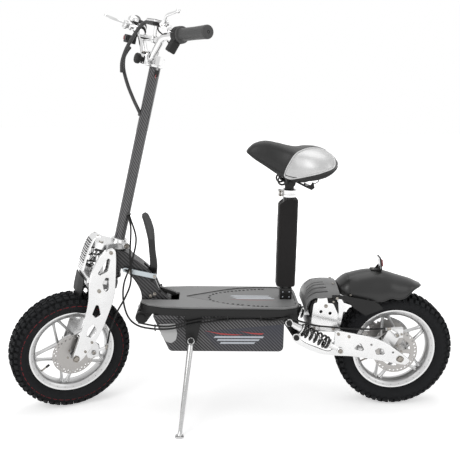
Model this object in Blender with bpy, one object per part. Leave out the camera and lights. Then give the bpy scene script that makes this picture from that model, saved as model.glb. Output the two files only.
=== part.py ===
"""Electric scooter with a seat, front steered to the left and resting on its kickstand.

Everything is in metres. The scooter faces -X, its left side faces -Y, it stands on
z = 0 and the origin is on the ground midway between the axles. Side-view outlines
are lists of (x, z). The whole steered front end is drawn in the steering frame: its
z axis is the steering axis, its x axis points back and its origin is where that axis
meets the ground.
"""
import math

import bmesh
import bpy
from mathutils import Matrix, Vector
from mathutils.geometry import tessellate_polygon

# Fits
GAP = 0.0003
RUNNING = 0.0004
PIN_PLAY = 0.0005

# Wheels
TYRE_RADIUS = 0.184
TYRE_HALF_WIDTH = 0.041
TREAD_HALF_WIDTH = 0.022
TREAD_DEPTH = 0.0055
KNOBS_ROUND = 28
RIM_RADIUS = 0.130
RIM_HALF_WIDTH = 0.026
RIM_LIP = 0.0031
RIM_DEPTH = 0.022
SPOKE_PAIRS = 5
SPOKE_WIDTH = 0.0085
SPOKE_HALF_DEPTH = 0.0117
HUB_RADIUS = 0.027
HUB_HALF_WIDTH = 0.040
AXLE_RADIUS = 0.006
SPACER_RADIUS = 0.010
AXLE_HEAD_RADIUS = 0.011
AXLE_HEAD = 0.007
DISC_THICKNESS = 0.003
FRONT_DISC_RADIUS = 0.065
REAR_DISC_RADIUS = 0.070
FRONT_DISC_HOLES = 8
REAR_DISC_SLOTS = 14

# Steering and fork
RAKE = math.radians(12.3)
STEERED_LEFT = math.radians(24.1)
STEERING_FOOT_X = -0.4657
FORK_OFFSET = 0.0835
STEERER_RADIUS = 0.016
HEAD_TUBE_WALL = 0.008
HEAD_TUBE_BOTTOM = 0.424
HEAD_TUBE_TOP = 0.514
CROWN_THICKNESS = 0.020
CROWN_BOSS = 0.031
LOWER_CROWN_BOTTOM = 0.385
LOWER_CROWN_TOP = 0.412
ROD_X = -0.066
ROD_Y = 0.033
ROD_RADIUS = 0.006
BRIDGE_SLEEVE_HEIGHT = 0.024
BRIDGE_SLEEVE_RADIUS = 0.011
FORK_SPRING_RADIUS = 0.0125
FORK_SPRING_WIRE = 0.002
FORK_SPRING_TURNS = 5
LEG_INNER_Y = 0.063
LEG_THICKNESS = 0.012
LEG_TOP = 0.528
COLUMN_RADIUS = 0.0165
COLUMN_WALL = 0.002
COLUMN_TOP = 1.064
HARNESS_RADIUS = 0.0055
CABLE_RADIUS = 0.00275
CABLE_ENTRY = Vector((-0.0300, 0.0040, 0.9450))
CABLE_ENTRY_FOOT = Vector((0.0, 0.0, 0.9050))
CABLE_EXIT = Vector((0.0140, -0.0260, 0.6060))
CABLE_EXIT_FOOT = Vector((0.0, 0.0, 0.6400))
FRONT_CABLE_END = Vector((0.0090, -0.0585, 0.2140))
FRONT_CABLE_WAY = Vector((-0.08, -0.05, -1.0)).normalized()

# Handlebar, in the steering frame
BAR_RADIUS = 0.0111
BAR_CLAMP = Vector((-0.025, 0.0, 1.088))
BAR_LOW_BEND = Vector((-0.026, 0.034, 1.090))
BAR_HIGH_BEND = Vector((-0.030, 0.095, 1.150))
BAR_SWEEP_START = Vector((-0.0175, 0.140, 1.160))
BAR_END = Vector((0.010, 0.290, 1.186))
CROSSBAR_RADIUS = 0.0085
CROSSBAR_AT = Vector((-0.0295, 0.084, 1.140))
KEY_TOP = Vector((-0.012, -0.052, 1.0710))
LEFT_LEVER_PIVOT = Vector((-0.0470, -0.128, 1.1850))
RIGHT_LEVER_PIVOT = Vector((-0.0700, 0.130, 1.1640))
LEFT_LEVER_TIP = Vector((-0.0480, -0.212, 1.2210))
RIGHT_LEVER_TIP = Vector((-0.1000, 0.246, 1.1780))
LEVER_CLAMP_INBOARD = 0.158
LEVER_BARREL_RADIUS = 0.0085
LEVER_FORK = 0.0105
LEVER_FORK_FLAT = 0.32
LEVER_PIN = 0.0022
BELL_INBOARD = 0.136
SWITCH_INBOARD = 0.1775
DISPLAY_AT = Vector((-0.0480, -0.0720, 1.1830))
DISPLAY_HALF_LENGTH = 0.022
DISPLAY_HALF_WIDTH = 0.036
GRIP_RADIUS = 0.0175
GRIP_LENGTH = 0.118
THROTTLE_HOUSING_WIDTH = 0.023

# Deck, box and seat
DECK_TOP = 0.347
DECK_PANEL_THICKNESS = 0.006
DECK_HALF_WIDTH = 0.1065
DECK_REAR_X = 0.200
DECK_FRONT_X = -0.285
DECK_EDGE_HEIGHT = 0.022
SLOT_HALF_WIDTH = 0.036
SLOT_REAR_X = -0.167
RAIL_WIDTH = 0.026
BOX_INSET = 0.0095
BOX_HALF_WIDTH = DECK_HALF_WIDTH - BOX_INSET
BOX_BOTTOM = 0.204
BOX_FRONT_X = -0.242
BOX_TOE_X = -0.193
BOX_REAR_X = 0.152
BOX_WALL = 0.003
SEAT_X = 0.163
SEAT_STUB_WIDTH = 0.037
SEAT_STUB_HEIGHT = 0.034
SEAT_TUBE_RADIUS = 0.0175
SEAT_TUBE_WALL = 0.003
SEAT_COLLAR_HEIGHT = 0.024
PAD_CLEARANCE = 0.004
PAD_SET_BACK = 0.028
PAD_LENGTH = 0.057
PAD_WIDTH = 0.050
SADDLE_CLAMP_HEIGHT = 0.712
POST_SHOWN = 0.022
POST_INSERTION = 0.190
RAIL_FRONT = Vector((SEAT_X - 0.0970, 0.0140, SADDLE_CLAMP_HEIGHT + 0.0760))
RAIL_REAR = Vector((SEAT_X + 0.0930, 0.0240, SADDLE_CLAMP_HEIGHT + 0.0400))
SADDLE_RAIL_RADIUS = 0.0038

# Fold hinge at the foot of the neck
HINGE_X = -0.281
HINGE_Z = 0.291
HINGE_RADIUS = 0.020
HINGE_PIN_RADIUS = 0.008
NECK_HALF_WIDTH = 0.030
CHEEK_THICKNESS = 0.008
FOLD_LEVER_HALF = 0.008
LEVER_PIVOT = Vector((-0.2500, 0.0, 0.4060))
LEVER_PIN_RADIUS = 0.004
LINK_Y = 0.0385
LINK_PIN = Vector((-0.2415, 0.0, 0.4225))
LINK_PIN_RADIUS = 0.003
LINK_FOOT = Vector((-0.3150, 0.0, 0.4380))
LINK_STUD_RADIUS = 0.0028
LATCH_PIVOT = Vector((-0.2260, 0.0, 0.3720))
LATCH_TIP = Vector((-0.1815, 0.0, 0.3560))
LATCH_PIN_RADIUS = 0.003

# Rear end
PIVOT_X = 0.190
PIVOT_Z = 0.252
PIVOT_PIN_RADIUS = 0.006
SWING_ARM_LENGTH = 0.321
ARM_INNER_Y = 0.095
ARM_THICKNESS = 0.008
SHOCK_Y = 0.0985
SHOCK_EYE = Vector((0.166, 0.0, 0.300))
SHOCK_TAIL = Vector((0.325, 0.0, 0.211))
SHOCK_PIN_RADIUS = 0.006
SHOCK_EYE_RADIUS = 0.0115
SHOCK_EYE_HALF_WIDTH = 0.008
SHOCK_SPRING_RADIUS = 0.0155
SHOCK_SPRING_WIRE = 0.0026
SHOCK_SPRING_TURNS = 4.5
MOTOR_X = 0.277
MOTOR_Z = 0.327
MOTOR_RADIUS = 0.048
MOTOR_HALF_LENGTH = 0.052
MOTOR_Y = -0.012
MOTOR_SHAFT_RADIUS = 0.005
CHAIN_Y = 0.058
CHAIN_WIDTH = 0.008
CHAIN_PITCH = 0.0122
SPROCKET_TEETH = 36
PINION_TEETH = 8
BASE_PLATE_LOW = 0.2620
BASE_PLATE_TOP = 0.2700
BRACKET_INNER_Y = 0.0700
BRACKET_OUTER_Y = 0.0740
COVER_SEAT = 0.3710
FENDER_TOP = 0.4385
FENDER_UNDER = 0.4089
SHOCK_BODY_END = 0.105
SHOCK_SEAT_FRONT = 0.046
SHOCK_SEAT_REAR = 0.139
REAR_CABLE_END = Vector((0.4740, -0.0680, 0.2690))
REAR_CABLE_WAY = Vector((0.95, 0.20, -0.12)).normalized()

# Kickstand
STAND_PIVOT = Vector((-0.128, -DECK_HALF_WIDTH - 0.0125, 0.245))
STAND_FOOT = Vector((-0.157, -DECK_HALF_WIDTH - 0.1395, 0.0))
STAND_STUD_RADIUS = 0.005
STAND_EYE_RADIUS = 0.011

# Places that follow from the sizes above
REAR_AXLE_X = PIVOT_X + SWING_ARM_LENGTH
WHEEL_LEAN = math.asin(math.sin(STEERED_LEFT) * math.sin(RAKE))
FRONT_AXLE_HEIGHT = TYRE_RADIUS * math.cos(WHEEL_LEAN) + TREAD_HALF_WIDTH * math.sin(WHEEL_LEAN)
STEERED_OFFSET = FORK_OFFSET * math.cos(STEERED_LEFT)
AXLE_ALONG = (FRONT_AXLE_HEIGHT - STEERED_OFFSET * math.sin(RAKE)) / math.cos(RAKE)
DECK_UNDER = DECK_TOP - DECK_PANEL_THICKNESS
RAIL_TOP = DECK_UNDER - GAP
RAIL_BOTTOM = RAIL_TOP - DECK_EDGE_HEIGHT
BOX_TOP = RAIL_BOTTOM - GAP
LEG_OUTER_Y = LEG_INNER_Y + LEG_THICKNESS
ARM_OUTER_Y = ARM_INNER_Y + ARM_THICKNESS
HEAD_TUBE_RADIUS = STEERER_RADIUS + RUNNING + HEAD_TUBE_WALL
UPPER_CROWN_BOTTOM = HEAD_TUBE_TOP + RUNNING
UPPER_CROWN_TOP = UPPER_CROWN_BOTTOM + CROWN_BOSS
DISC_Y = HUB_HALF_WIDTH + GAP + DISC_THICKNESS / 2
SEAT_TUBE_TOP = SADDLE_CLAMP_HEIGHT - POST_SHOWN
PAD_BOTTOM = DECK_TOP + SEAT_STUB_HEIGHT + PAD_CLEARANCE
PAD_TOP = SEAT_TUBE_TOP - PAD_SET_BACK


def material(name, colour, roughness, metallic=0.0):
    """A Principled finish, made once under its name."""
    made = bpy.data.materials.new(name)
    made.use_nodes = True
    shader = made.node_tree.nodes["Principled BSDF"]
    shader.inputs["Base Color"].default_value = (*colour, 1.0)
    shader.inputs["Roughness"].default_value = roughness
    shader.inputs["Metallic"].default_value = metallic
    return made


def clear_scene():
    for old in list(bpy.data.objects):
        bpy.data.objects.remove(old)


def empty(name, matrix, parent=None):
    """A frame that pieces hang on, such as a joint's axis."""
    made = bpy.data.objects.new(name, None)
    bpy.context.scene.collection.objects.link(made)
    made.parent = parent
    made.matrix_local = matrix
    bpy.context.view_layer.update()
    return made


def place(obj, parent=None, world=False):
    """Hangs a piece on an empty, read in its frame or, with world, left where it is."""
    if parent is not None:
        obj.parent = parent
        if world:
            obj.matrix_parent_inverse = parent.matrix_world.inverted()
    return obj


def solid(name, vertices, faces, smooth_angle=35):
    """A mesh object with its faces turned outwards."""
    mesh = bpy.data.meshes.new(name)
    work = bmesh.new()
    made = [work.verts.new(v) for v in vertices]
    for face in faces:
        work.faces.new([made[i] for i in face])
    bmesh.ops.recalc_face_normals(work, faces=work.faces)
    work.to_mesh(mesh)
    work.free()
    mesh.shade_smooth()
    mesh.set_sharp_from_angle(angle=math.radians(smooth_angle))
    obj = bpy.data.objects.new(name, mesh)
    bpy.context.scene.collection.objects.link(obj)
    return obj


def finish(obj, name, surface, parent=None, world=False):
    """Names a finished piece, gives it its material and hangs it on its parent."""
    obj.name = name
    obj.data.name = name
    obj.data.materials.clear()
    obj.data.materials.append(surface)
    return place(obj, parent, world)


def combine(base, others, operation):
    """Joins or cuts with Booleans, keeps the result as plain mesh and removes the others."""
    for other in others:
        step = base.modifiers.new(other.name, "BOOLEAN")
        step.object = other
        step.operation = operation
    bpy.context.view_layer.update()
    seen = base.evaluated_get(bpy.context.evaluated_depsgraph_get())
    mesh = bpy.data.meshes.new_from_object(seen)
    base.modifiers.clear()
    base.data = mesh
    for other in others:
        bpy.data.objects.remove(other)
    mesh.shade_smooth()
    mesh.set_sharp_from_angle(angle=math.radians(35))
    return base


def weld(base, *others):
    return combine(base, others, "UNION")


def cut(base, *others):
    return combine(base, others, "DIFFERENCE")


def rounded(points, radius, steps=3):
    """A 2D outline with its corners rounded; radius is one number or one a corner."""
    count = len(points)
    radii = [radius] * count if isinstance(radius, (int, float)) else radius
    out = []
    for i, corner in enumerate(points):
        here = Vector(corner)
        back = (Vector(points[i - 1]) - here).normalized()
        ahead = (Vector(points[(i + 1) % count]) - here).normalized()
        half = back.angle(ahead) / 2
        if radii[i] <= 0 or half > math.radians(87):
            out.append(tuple(here))
            continue
        reach = radii[i] / math.tan(half)
        centre = here + (back + ahead).normalized() * (radii[i] / math.sin(half))
        start = here + back * reach - centre
        end = here + ahead * reach - centre
        swing = start.angle_signed(end)
        for k in range(steps + 1):
            turn = -swing * k / steps
            x = start.x * math.cos(turn) - start.y * math.sin(turn)
            y = start.x * math.sin(turn) + start.y * math.cos(turn)
            out.append((centre.x + x, centre.y + y))
    return out


def circle(x, z, radius, sides=16, phase=0.0):
    turn = math.tau / sides
    return [
        (x + radius * math.cos(phase + i * turn), z + radius * math.sin(phase + i * turn))
        for i in range(sides)
    ]


def arc(x, z, radius, first, last, steps):
    """Points on a circle's stretch, angles in degrees."""
    angles = [math.radians(first + (last - first) * i / steps) for i in range(steps + 1)]
    return [(x + radius * math.cos(a), z + radius * math.sin(a)) for a in angles]


def prism(loops, low, high, axis="y"):
    """An outline, with any holes after it, pulled from low to high along an axis."""
    place_point = {
        "x": lambda p, h: (h, p[0], p[1]),
        "y": lambda p, h: (p[0], h, p[1]),
        "z": lambda p, h: (p[0], p[1], h),
    }[axis]
    flat = [p for loop in loops for p in loop]
    count = len(flat)
    caps = tessellate_polygon([[Vector((p[0], p[1], 0)) for p in loop] for loop in loops])
    faces = [tuple(t) for t in caps] + [tuple(i + count for i in t) for t in caps]
    start = 0
    for loop in loops:
        for i in range(len(loop)):
            a, b = start + i, start + (i + 1) % len(loop)
            faces.append((a, b, b + count, a + count))
        start += len(loop)
    vertices = [place_point(p, low) for p in flat] + [place_point(p, high) for p in flat]
    return solid("prism", vertices, faces)


def block(low, high):
    """A box between two corners."""
    outline = [(low[0], low[2]), (high[0], low[2]), (high[0], high[2]), (low[0], high[2])]
    return prism([outline], low[1], high[1])


def turned(profile, steps=32, closed=True, centre=(0.0, 0.0, 0.0)):
    """A ring, or with closed False a solid from pole to pole, turned about Y.

    The profile is a list of (radius, y).
    """
    vertices, rings = [], []
    for radius, along in profile:
        count = 1 if radius < 1e-7 else steps
        rings.append(list(range(len(vertices), len(vertices) + count)))
        for i in range(count):
            turn = math.tau * i / steps
            vertices.append(
                (
                    centre[0] + radius * math.cos(turn),
                    centre[1] + along,
                    centre[2] + radius * math.sin(turn),
                )
            )
    faces = []
    pairs = list(zip(rings, rings[1:] + rings[:1])) if closed else list(zip(rings, rings[1:]))
    for a, b in pairs:
        for i in range(steps):
            j = (i + 1) % steps
            face = [a[i % len(a)], a[j % len(a)], b[j % len(b)], b[i % len(b)]]
            face = list(dict.fromkeys(face))
            if len(face) > 2:
                faces.append(face)
    return solid("turned", vertices, faces)


def sweep(points, radii, sides=10, flat=1.0, side=None):
    """A round bar along points, one radius or one a point; flat squashes it sideways."""
    points = [Vector(p) for p in points]
    radii = [radii] * len(points) if isinstance(radii, (int, float)) else radii
    ahead = (points[1] - points[0]).normalized()
    across = Vector(side) if side else ahead.orthogonal()
    vertices = []
    for i, point in enumerate(points):
        before = points[max(i - 1, 0)]
        after = points[min(i + 1, len(points) - 1)]
        ahead = (after - before).normalized()
        across = (across - ahead * across.dot(ahead)).normalized()
        up = ahead.cross(across)
        for k in range(sides):
            turn = math.tau * k / sides
            vertices.append(
                point
                + across * (radii[i] * flat * math.cos(turn))
                + up * (radii[i] * math.sin(turn))
            )
    faces = [tuple(range(sides)), tuple(len(vertices) - sides + k for k in range(sides))]
    for i in range(len(points) - 1):
        for k in range(sides):
            a, b = i * sides + k, i * sides + (k + 1) % sides
            faces.append((a, b, b + sides, a + sides))
    return solid("sweep", vertices, faces)


def rod(start, end, radius, sides=12):
    return sweep([start, end], radius, sides)


def loft(rings):
    """Skins rings that have as many points each, and caps both ends."""
    count = len(rings[0])
    vertices = [p for ring in rings for p in ring]
    last = len(vertices) - count
    faces = [tuple(range(count)), tuple(range(last, last + count))]
    for i in range(len(rings) - 1):
        for k in range(count):
            a, b = i * count + k, i * count + (k + 1) % count
            faces.append((a, b, b + count, a + count))
    return solid("loft", vertices, faces)


def shell(rows, thickness, holes=()):
    """A sheet through rows of points, thickened inwards; holes are (row, column) cells left open."""
    across = len(rows[0])
    vertices = [p for row in rows for p in row]
    faces = []
    for r in range(len(rows) - 1):
        for c in range(across - 1):
            if (r, c) not in holes:
                a = r * across + c
                faces.append((a, a + 1, a + 1 + across, a + across))
    obj = solid("shell", vertices, faces)
    thick = obj.modifiers.new("thickness", "SOLIDIFY")
    thick.thickness = thickness
    thick.offset = -1.0
    thick.use_even_offset = True
    return combine(obj, [], "UNION")


def smooth_route(points, spacing):
    """Points at an even spacing along a smooth curve through the route's points."""
    points = [Vector(p) for p in points]
    ends = [points[0] * 2 - points[1], *points, points[-1] * 2 - points[-2]]
    fine = []
    for a, b, c, d in zip(ends, ends[1:], ends[2:], ends[3:]):
        for i in range(12):
            t = i / 12
            fine.append(
                0.5
                * (
                    2 * b
                    + (c - a) * t
                    + (2 * a - 5 * b + 4 * c - d) * t * t
                    + (3 * b - a - 3 * c + d) * t**3
                )
            )
    fine.append(points[-1])
    length = sum((q - p).length for p, q in zip(fine, fine[1:]))
    count = max(4, round(length / spacing))
    out, walked, k = [fine[0]], 0.0, 0
    for n in range(1, count):
        target = length * n / count
        while walked + (fine[k + 1] - fine[k]).length < target:
            walked += (fine[k + 1] - fine[k]).length
            k += 1
        share = (target - walked) / (fine[k + 1] - fine[k]).length
        out.append(fine[k].lerp(fine[k + 1], share))
    return [*out, fine[-1]]


def bent_tube(name, points, radius, resolution, surface, parent=None):
    """A round cord or wire as a curve with filled ends."""
    data = bpy.data.curves.new(name, "CURVE")
    data.dimensions = "3D"
    data.bevel_depth = radius
    data.bevel_resolution = resolution
    data.use_fill_caps = True
    spline = data.splines.new("POLY")
    spline.points.add(len(points) - 1)
    for slot, point in zip(spline.points, points):
        slot.co = (*point, 1.0)
    data.materials.append(surface)
    obj = bpy.data.objects.new(name, data)
    bpy.context.scene.collection.objects.link(obj)
    return place(obj, parent)


def cable(name, route, radius, surface, parent=None, diameters=3):
    """A cord that the scooter holds along its whole route, with a point every few diameters."""
    return bent_tube(name, smooth_route(route, 2 * diameters * radius), radius, 2, surface, parent)


def spring(name, start, end, radius, wire, turns, surface, parent=None, per_turn=8):
    """A coil spring from start to end, one unbroken wire, with close turns at both ends."""
    start, end = Vector(start), Vector(end)
    ahead = (end - start).normalized()
    across = ahead.orthogonal().normalized()
    up = ahead.cross(across)
    length = (end - start).length - 2 * wire - 2 * GAP
    count = round(turns * per_turn)
    close = 2 * wire + 0.0007
    points = []
    for i in range(count + 1):
        turn = i / per_turn
        middle = max(min(turn, turns) - 1, 0)
        middle = min(middle, turns - 2)
        ends = turn - middle
        along = close * ends + (length - 2 * close) * middle / (turns - 2)
        angle = math.tau * turn
        points.append(
            start
            + ahead * (wire + GAP + along)
            + across * (radius * math.cos(angle))
            + up * (radius * math.sin(angle))
        )
    nearest = min(
        (p - q).length
        for i, p in enumerate(points)
        for q in points[i + per_turn // 2 :]
    )
    print(f"{name}: least gap to itself {1000 * (nearest - 2 * wire):.2f} mm")
    return bent_tube(name, points, wire, 1, surface, parent)


def materials():
    """Every finish on the scooter."""
    return {
        "carbon": material("carbon_film", (0.045, 0.045, 0.048), 0.35, 0.1),
        "black_paint": material("black_paint", (0.03, 0.03, 0.032), 0.45),
        "black_plastic": material("black_plastic", (0.035, 0.035, 0.037), 0.55),
        "black_rubber": material("black_rubber", (0.025, 0.025, 0.026), 0.85),
        "tyre": material("tyre_rubber", (0.02, 0.02, 0.021), 0.9),
        "aluminium": material("polished_aluminium", (0.86, 0.87, 0.88), 0.25, 1.0),
        "cast": material("cast_aluminium", (0.66, 0.67, 0.68), 0.4, 1.0),
        "chrome": material("chrome", (0.9, 0.9, 0.91), 0.08, 1.0),
        "steel": material("brushed_steel", (0.55, 0.56, 0.57), 0.35, 1.0),
        "deck": material("deck_grip", (0.42, 0.42, 0.43), 0.7),
        "vinyl": material("saddle_vinyl", (0.03, 0.03, 0.032), 0.5),
        "foam": material("post_foam", (0.03, 0.029, 0.029), 0.95),
        "battery": material("battery_case", (0.08, 0.09, 0.1), 0.6),
        "spring": material("spring_black", (0.02, 0.02, 0.02), 0.3, 0.4),
    }


# Wheels, drawn about their own axle along Y


def tyre(name, surface, axis):
    """A tyre with a rounded carcass and two rows of tread blocks, set in turn left and right."""
    carcass = TYRE_RADIUS - TREAD_DEPTH
    bead = RIM_HALF_WIDTH - RIM_LIP - GAP
    half = [
        (RIM_RADIUS - 0.0075, bead),
        (RIM_RADIUS + 0.0012, bead),
        (RIM_RADIUS + 0.0160, TYRE_HALF_WIDTH),
        (carcass - 0.0110, TYRE_HALF_WIDTH - 0.0035),
        (carcass, TREAD_HALF_WIDTH),
    ]
    profile = [(r, -y) for r, y in half] + [(carcass, 0.0)] + [(r, y) for r, y in reversed(half)]
    obj = turned(profile, KNOBS_ROUND)
    work = bmesh.new()
    work.from_mesh(obj.data)
    blocks = []
    for face in work.faces:
        centre = face.calc_center_median()
        crown = math.hypot(centre.x, centre.z) > carcass * 0.98
        place_round = math.atan2(centre.z, centre.x) * KNOBS_ROUND / math.tau - 0.5
        if crown and abs(centre.y) < TREAD_HALF_WIDTH and (round(place_round) % 2 == 0) == (centre.y < 0):
            blocks.append(face)
    for face in blocks:
        centre = face.calc_center_median()
        out = Vector((centre.x, 0, centre.z)).normalized()
        grown = bmesh.ops.extrude_discrete_faces(work, faces=[face])["faces"][0]
        for vertex in grown.verts:
            vertex.co += out * TREAD_DEPTH - Vector((0, 0.0015 if vertex.co.y > 0 else -0.0015, 0))
    work.to_mesh(obj.data)
    work.free()
    obj.data.set_sharp_from_angle(angle=math.radians(35))
    return finish(obj, name, surface, axis)


def rim(name, surface, axis):
    """A cast rim: a dished band, a hub barrel and pairs of spokes that open outwards."""
    lip = RIM_HALF_WIDTH - RIM_LIP
    inner = RIM_RADIUS - RIM_DEPTH
    band = turned(
        [
            (RIM_RADIUS, -RIM_HALF_WIDTH),
            (RIM_RADIUS, -lip),
            (RIM_RADIUS - 0.008, -lip),
            (RIM_RADIUS - 0.008, lip),
            (RIM_RADIUS, lip),
            (RIM_RADIUS, RIM_HALF_WIDTH),
            (RIM_RADIUS - 0.010, RIM_HALF_WIDTH),
            (inner, RIM_HALF_WIDTH - 0.013),
            (inner, 0.013 - RIM_HALF_WIDTH),
            (RIM_RADIUS - 0.010, -RIM_HALF_WIDTH),
        ],
        KNOBS_ROUND,
    )
    bore = AXLE_RADIUS + RUNNING
    hub = turned(
        [
            (bore, -HUB_HALF_WIDTH),
            (HUB_RADIUS - 0.003, -HUB_HALF_WIDTH),
            (HUB_RADIUS, 0.0),
            (HUB_RADIUS - 0.003, HUB_HALF_WIDTH),
            (bore, HUB_HALF_WIDTH),
        ],
        3 * SPOKE_PAIRS,
    )
    pairs = [spoke_pair(math.tau * (i + 0.25) / SPOKE_PAIRS, inner) for i in range(SPOKE_PAIRS)]
    return finish(weld(band, hub, *pairs), name, surface, axis)


def spoke_pair(angle, inner):
    """Two spokes that leave the hub together and part towards the band."""
    root, tip = HUB_RADIUS - 0.004, inner + 0.004
    apart = inner * math.sin(math.radians(13))
    half = [
        (root, SPOKE_WIDTH * 1.2),
        (tip, apart + SPOKE_WIDTH / 2),
        (tip, apart - SPOKE_WIDTH / 2),
    ]
    outline = half + [(root + 0.016, 0.0)] + [(u, -v) for u, v in reversed(half)]
    turn = Matrix.Rotation(angle, 2)
    return prism([[tuple(turn @ Vector(p)) for p in outline]], -SPOKE_HALF_DEPTH, SPOKE_HALF_DEPTH)


def brake_disc(name, radius, openings, surface, axis):
    """A brake disc on the hub's left face, with openings round its rim."""
    loops = [circle(0, 0, radius, 28), circle(0, 0, SPACER_RADIUS + 0.002, 10)]
    low = -DISC_Y - DISC_THICKNESS / 2
    return finish(prism(loops + openings, low, low + DISC_THICKNESS), name, surface, axis)


def drilled_holes(radius, count):
    """Two staggered rows of round holes near a disc's rim."""
    holes = []
    for row, inset in enumerate((0.0055, 0.0125)):
        for i in range(count):
            angle = math.tau * (i + 0.5 * row) / count
            reach = radius - inset
            holes.append(circle(reach * math.cos(angle), reach * math.sin(angle), 0.0024, 6))
    return holes


def slotted_holes(radius, count):
    """One row of slots that run outwards near a disc's rim."""
    slots = []
    for i in range(count):
        turn = Matrix.Rotation(math.tau * i / count, 2)
        slot = [(radius - 0.0145, -0.0028), (radius - 0.0050, -0.0038)]
        slot += [(radius - 0.0050, 0.0038), (radius - 0.0145, 0.0028)]
        slots.append([tuple(turn @ Vector(p)) for p in slot])
    return slots


def through_axle(name, half_length, spacer_end, surface, axis):
    """An axle bolt with a head each side, and spacers that hold the hub in the middle."""
    head = half_length + GAP
    profile = [
        (0.0, -head - AXLE_HEAD),
        (AXLE_HEAD_RADIUS, -head - AXLE_HEAD),
        (AXLE_HEAD_RADIUS, -head),
        (AXLE_RADIUS, -head),
        (AXLE_RADIUS, -spacer_end),
        (SPACER_RADIUS, -spacer_end),
        (SPACER_RADIUS, -HUB_HALF_WIDTH - GAP),
        (AXLE_RADIUS, -HUB_HALF_WIDTH - GAP),
    ]
    profile += [(r, -y) for r, y in reversed(profile)]
    return finish(turned(profile, 10, closed=False), name, surface, axis)


# Frame, battery box and seat post


def deck_outline(inset=0.0):
    """Plan outline of the deck: long straight sides, a tapered nose and a blunt tail."""
    wide = DECK_HALF_WIDTH - inset
    nose = DECK_FRONT_X + inset
    tail = DECK_REAR_X - inset
    half = [
        (nose, 0.050),
        (nose + 0.022, 0.078 - inset / 2),
        (nose + 0.070, wide - 0.008),
        (nose + 0.150, wide),
        (tail - 0.045, wide),
        (tail - 0.010, wide - 0.014),
        (tail, wide - 0.032),
    ]
    return half + [(x, -y) for x, y in reversed(half)]


def hinge_cheek(side):
    """One ear of the fold hinge, with the round knuckle that shows beside the neck."""
    box_front = BOX_FRONT_X - GAP
    outline = arc(HINGE_X, HINGE_Z, HINGE_RADIUS, 100, 320, 8)
    outline += [
        (box_front, RAIL_BOTTOM - 0.006),
        (box_front, RAIL_BOTTOM),
        (BOX_FRONT_X + 0.036, RAIL_BOTTOM),
        (BOX_FRONT_X + 0.036, RAIL_TOP),
        (HINGE_X + 0.014, RAIL_TOP),
    ]
    inner = side * SLOT_HALF_WIDTH
    outer = side * (SLOT_HALF_WIDTH + CHEEK_THICKNESS)
    return prism([outline], min(inner, outer), max(inner, outer))


def pivot_plate(side):
    """Rear plate under the deck's tail that carries the swing arm's pin."""
    outline = [(BOX_REAR_X + 0.003, RAIL_TOP - 0.003), (DECK_REAR_X - 0.006, RAIL_TOP - 0.003)]
    outline += [(PIVOT_X + 0.014, PIVOT_Z)]
    outline += arc(PIVOT_X, PIVOT_Z, 0.013, -20, -160, 6)
    outline += [(BOX_REAR_X + 0.003, PIVOT_Z + 0.030)]
    inner, outer = side * 0.055, side * 0.062
    return prism([outline], min(inner, outer), max(inner, outer))


def stand_bracket():
    """Plate beside the box, hung from the left rail, with the stud the kickstand turns on."""
    outline = rounded(
        [
            (STAND_PIVOT.x - 0.020, RAIL_BOTTOM + 0.003),
            (STAND_PIVOT.x - 0.015, STAND_PIVOT.z - 0.012),
            (STAND_PIVOT.x + 0.015, STAND_PIVOT.z - 0.012),
            (STAND_PIVOT.x + 0.034, RAIL_BOTTOM + 0.003),
        ],
        [0, 0.007, 0.007, 0],
    )
    plate = prism([outline], -DECK_HALF_WIDTH + 0.0005, -BOX_HALF_WIDTH - GAP)
    axis = stand_axis()
    stud = rod(STAND_PIVOT - axis * 0.0145, STAND_PIVOT + axis * 0.011, STAND_STUD_RADIUS, 12)
    head = rod(STAND_PIVOT + axis * 0.0085, STAND_PIVOT + axis * 0.013, 0.009, 6)
    boss = rod(STAND_PIVOT - axis * 0.018, STAND_PIVOT - axis * 0.0085, 0.010, 12)
    return weld(plate, boss, stud, head)


def stand_axis():
    """The kickstand's pivot axis, square to its leg and to the way it swings."""
    leg = (STAND_FOOT - STAND_PIVOT).normalized()
    return Vector((1, 0, 0)).cross(leg).normalized() * -1


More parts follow.
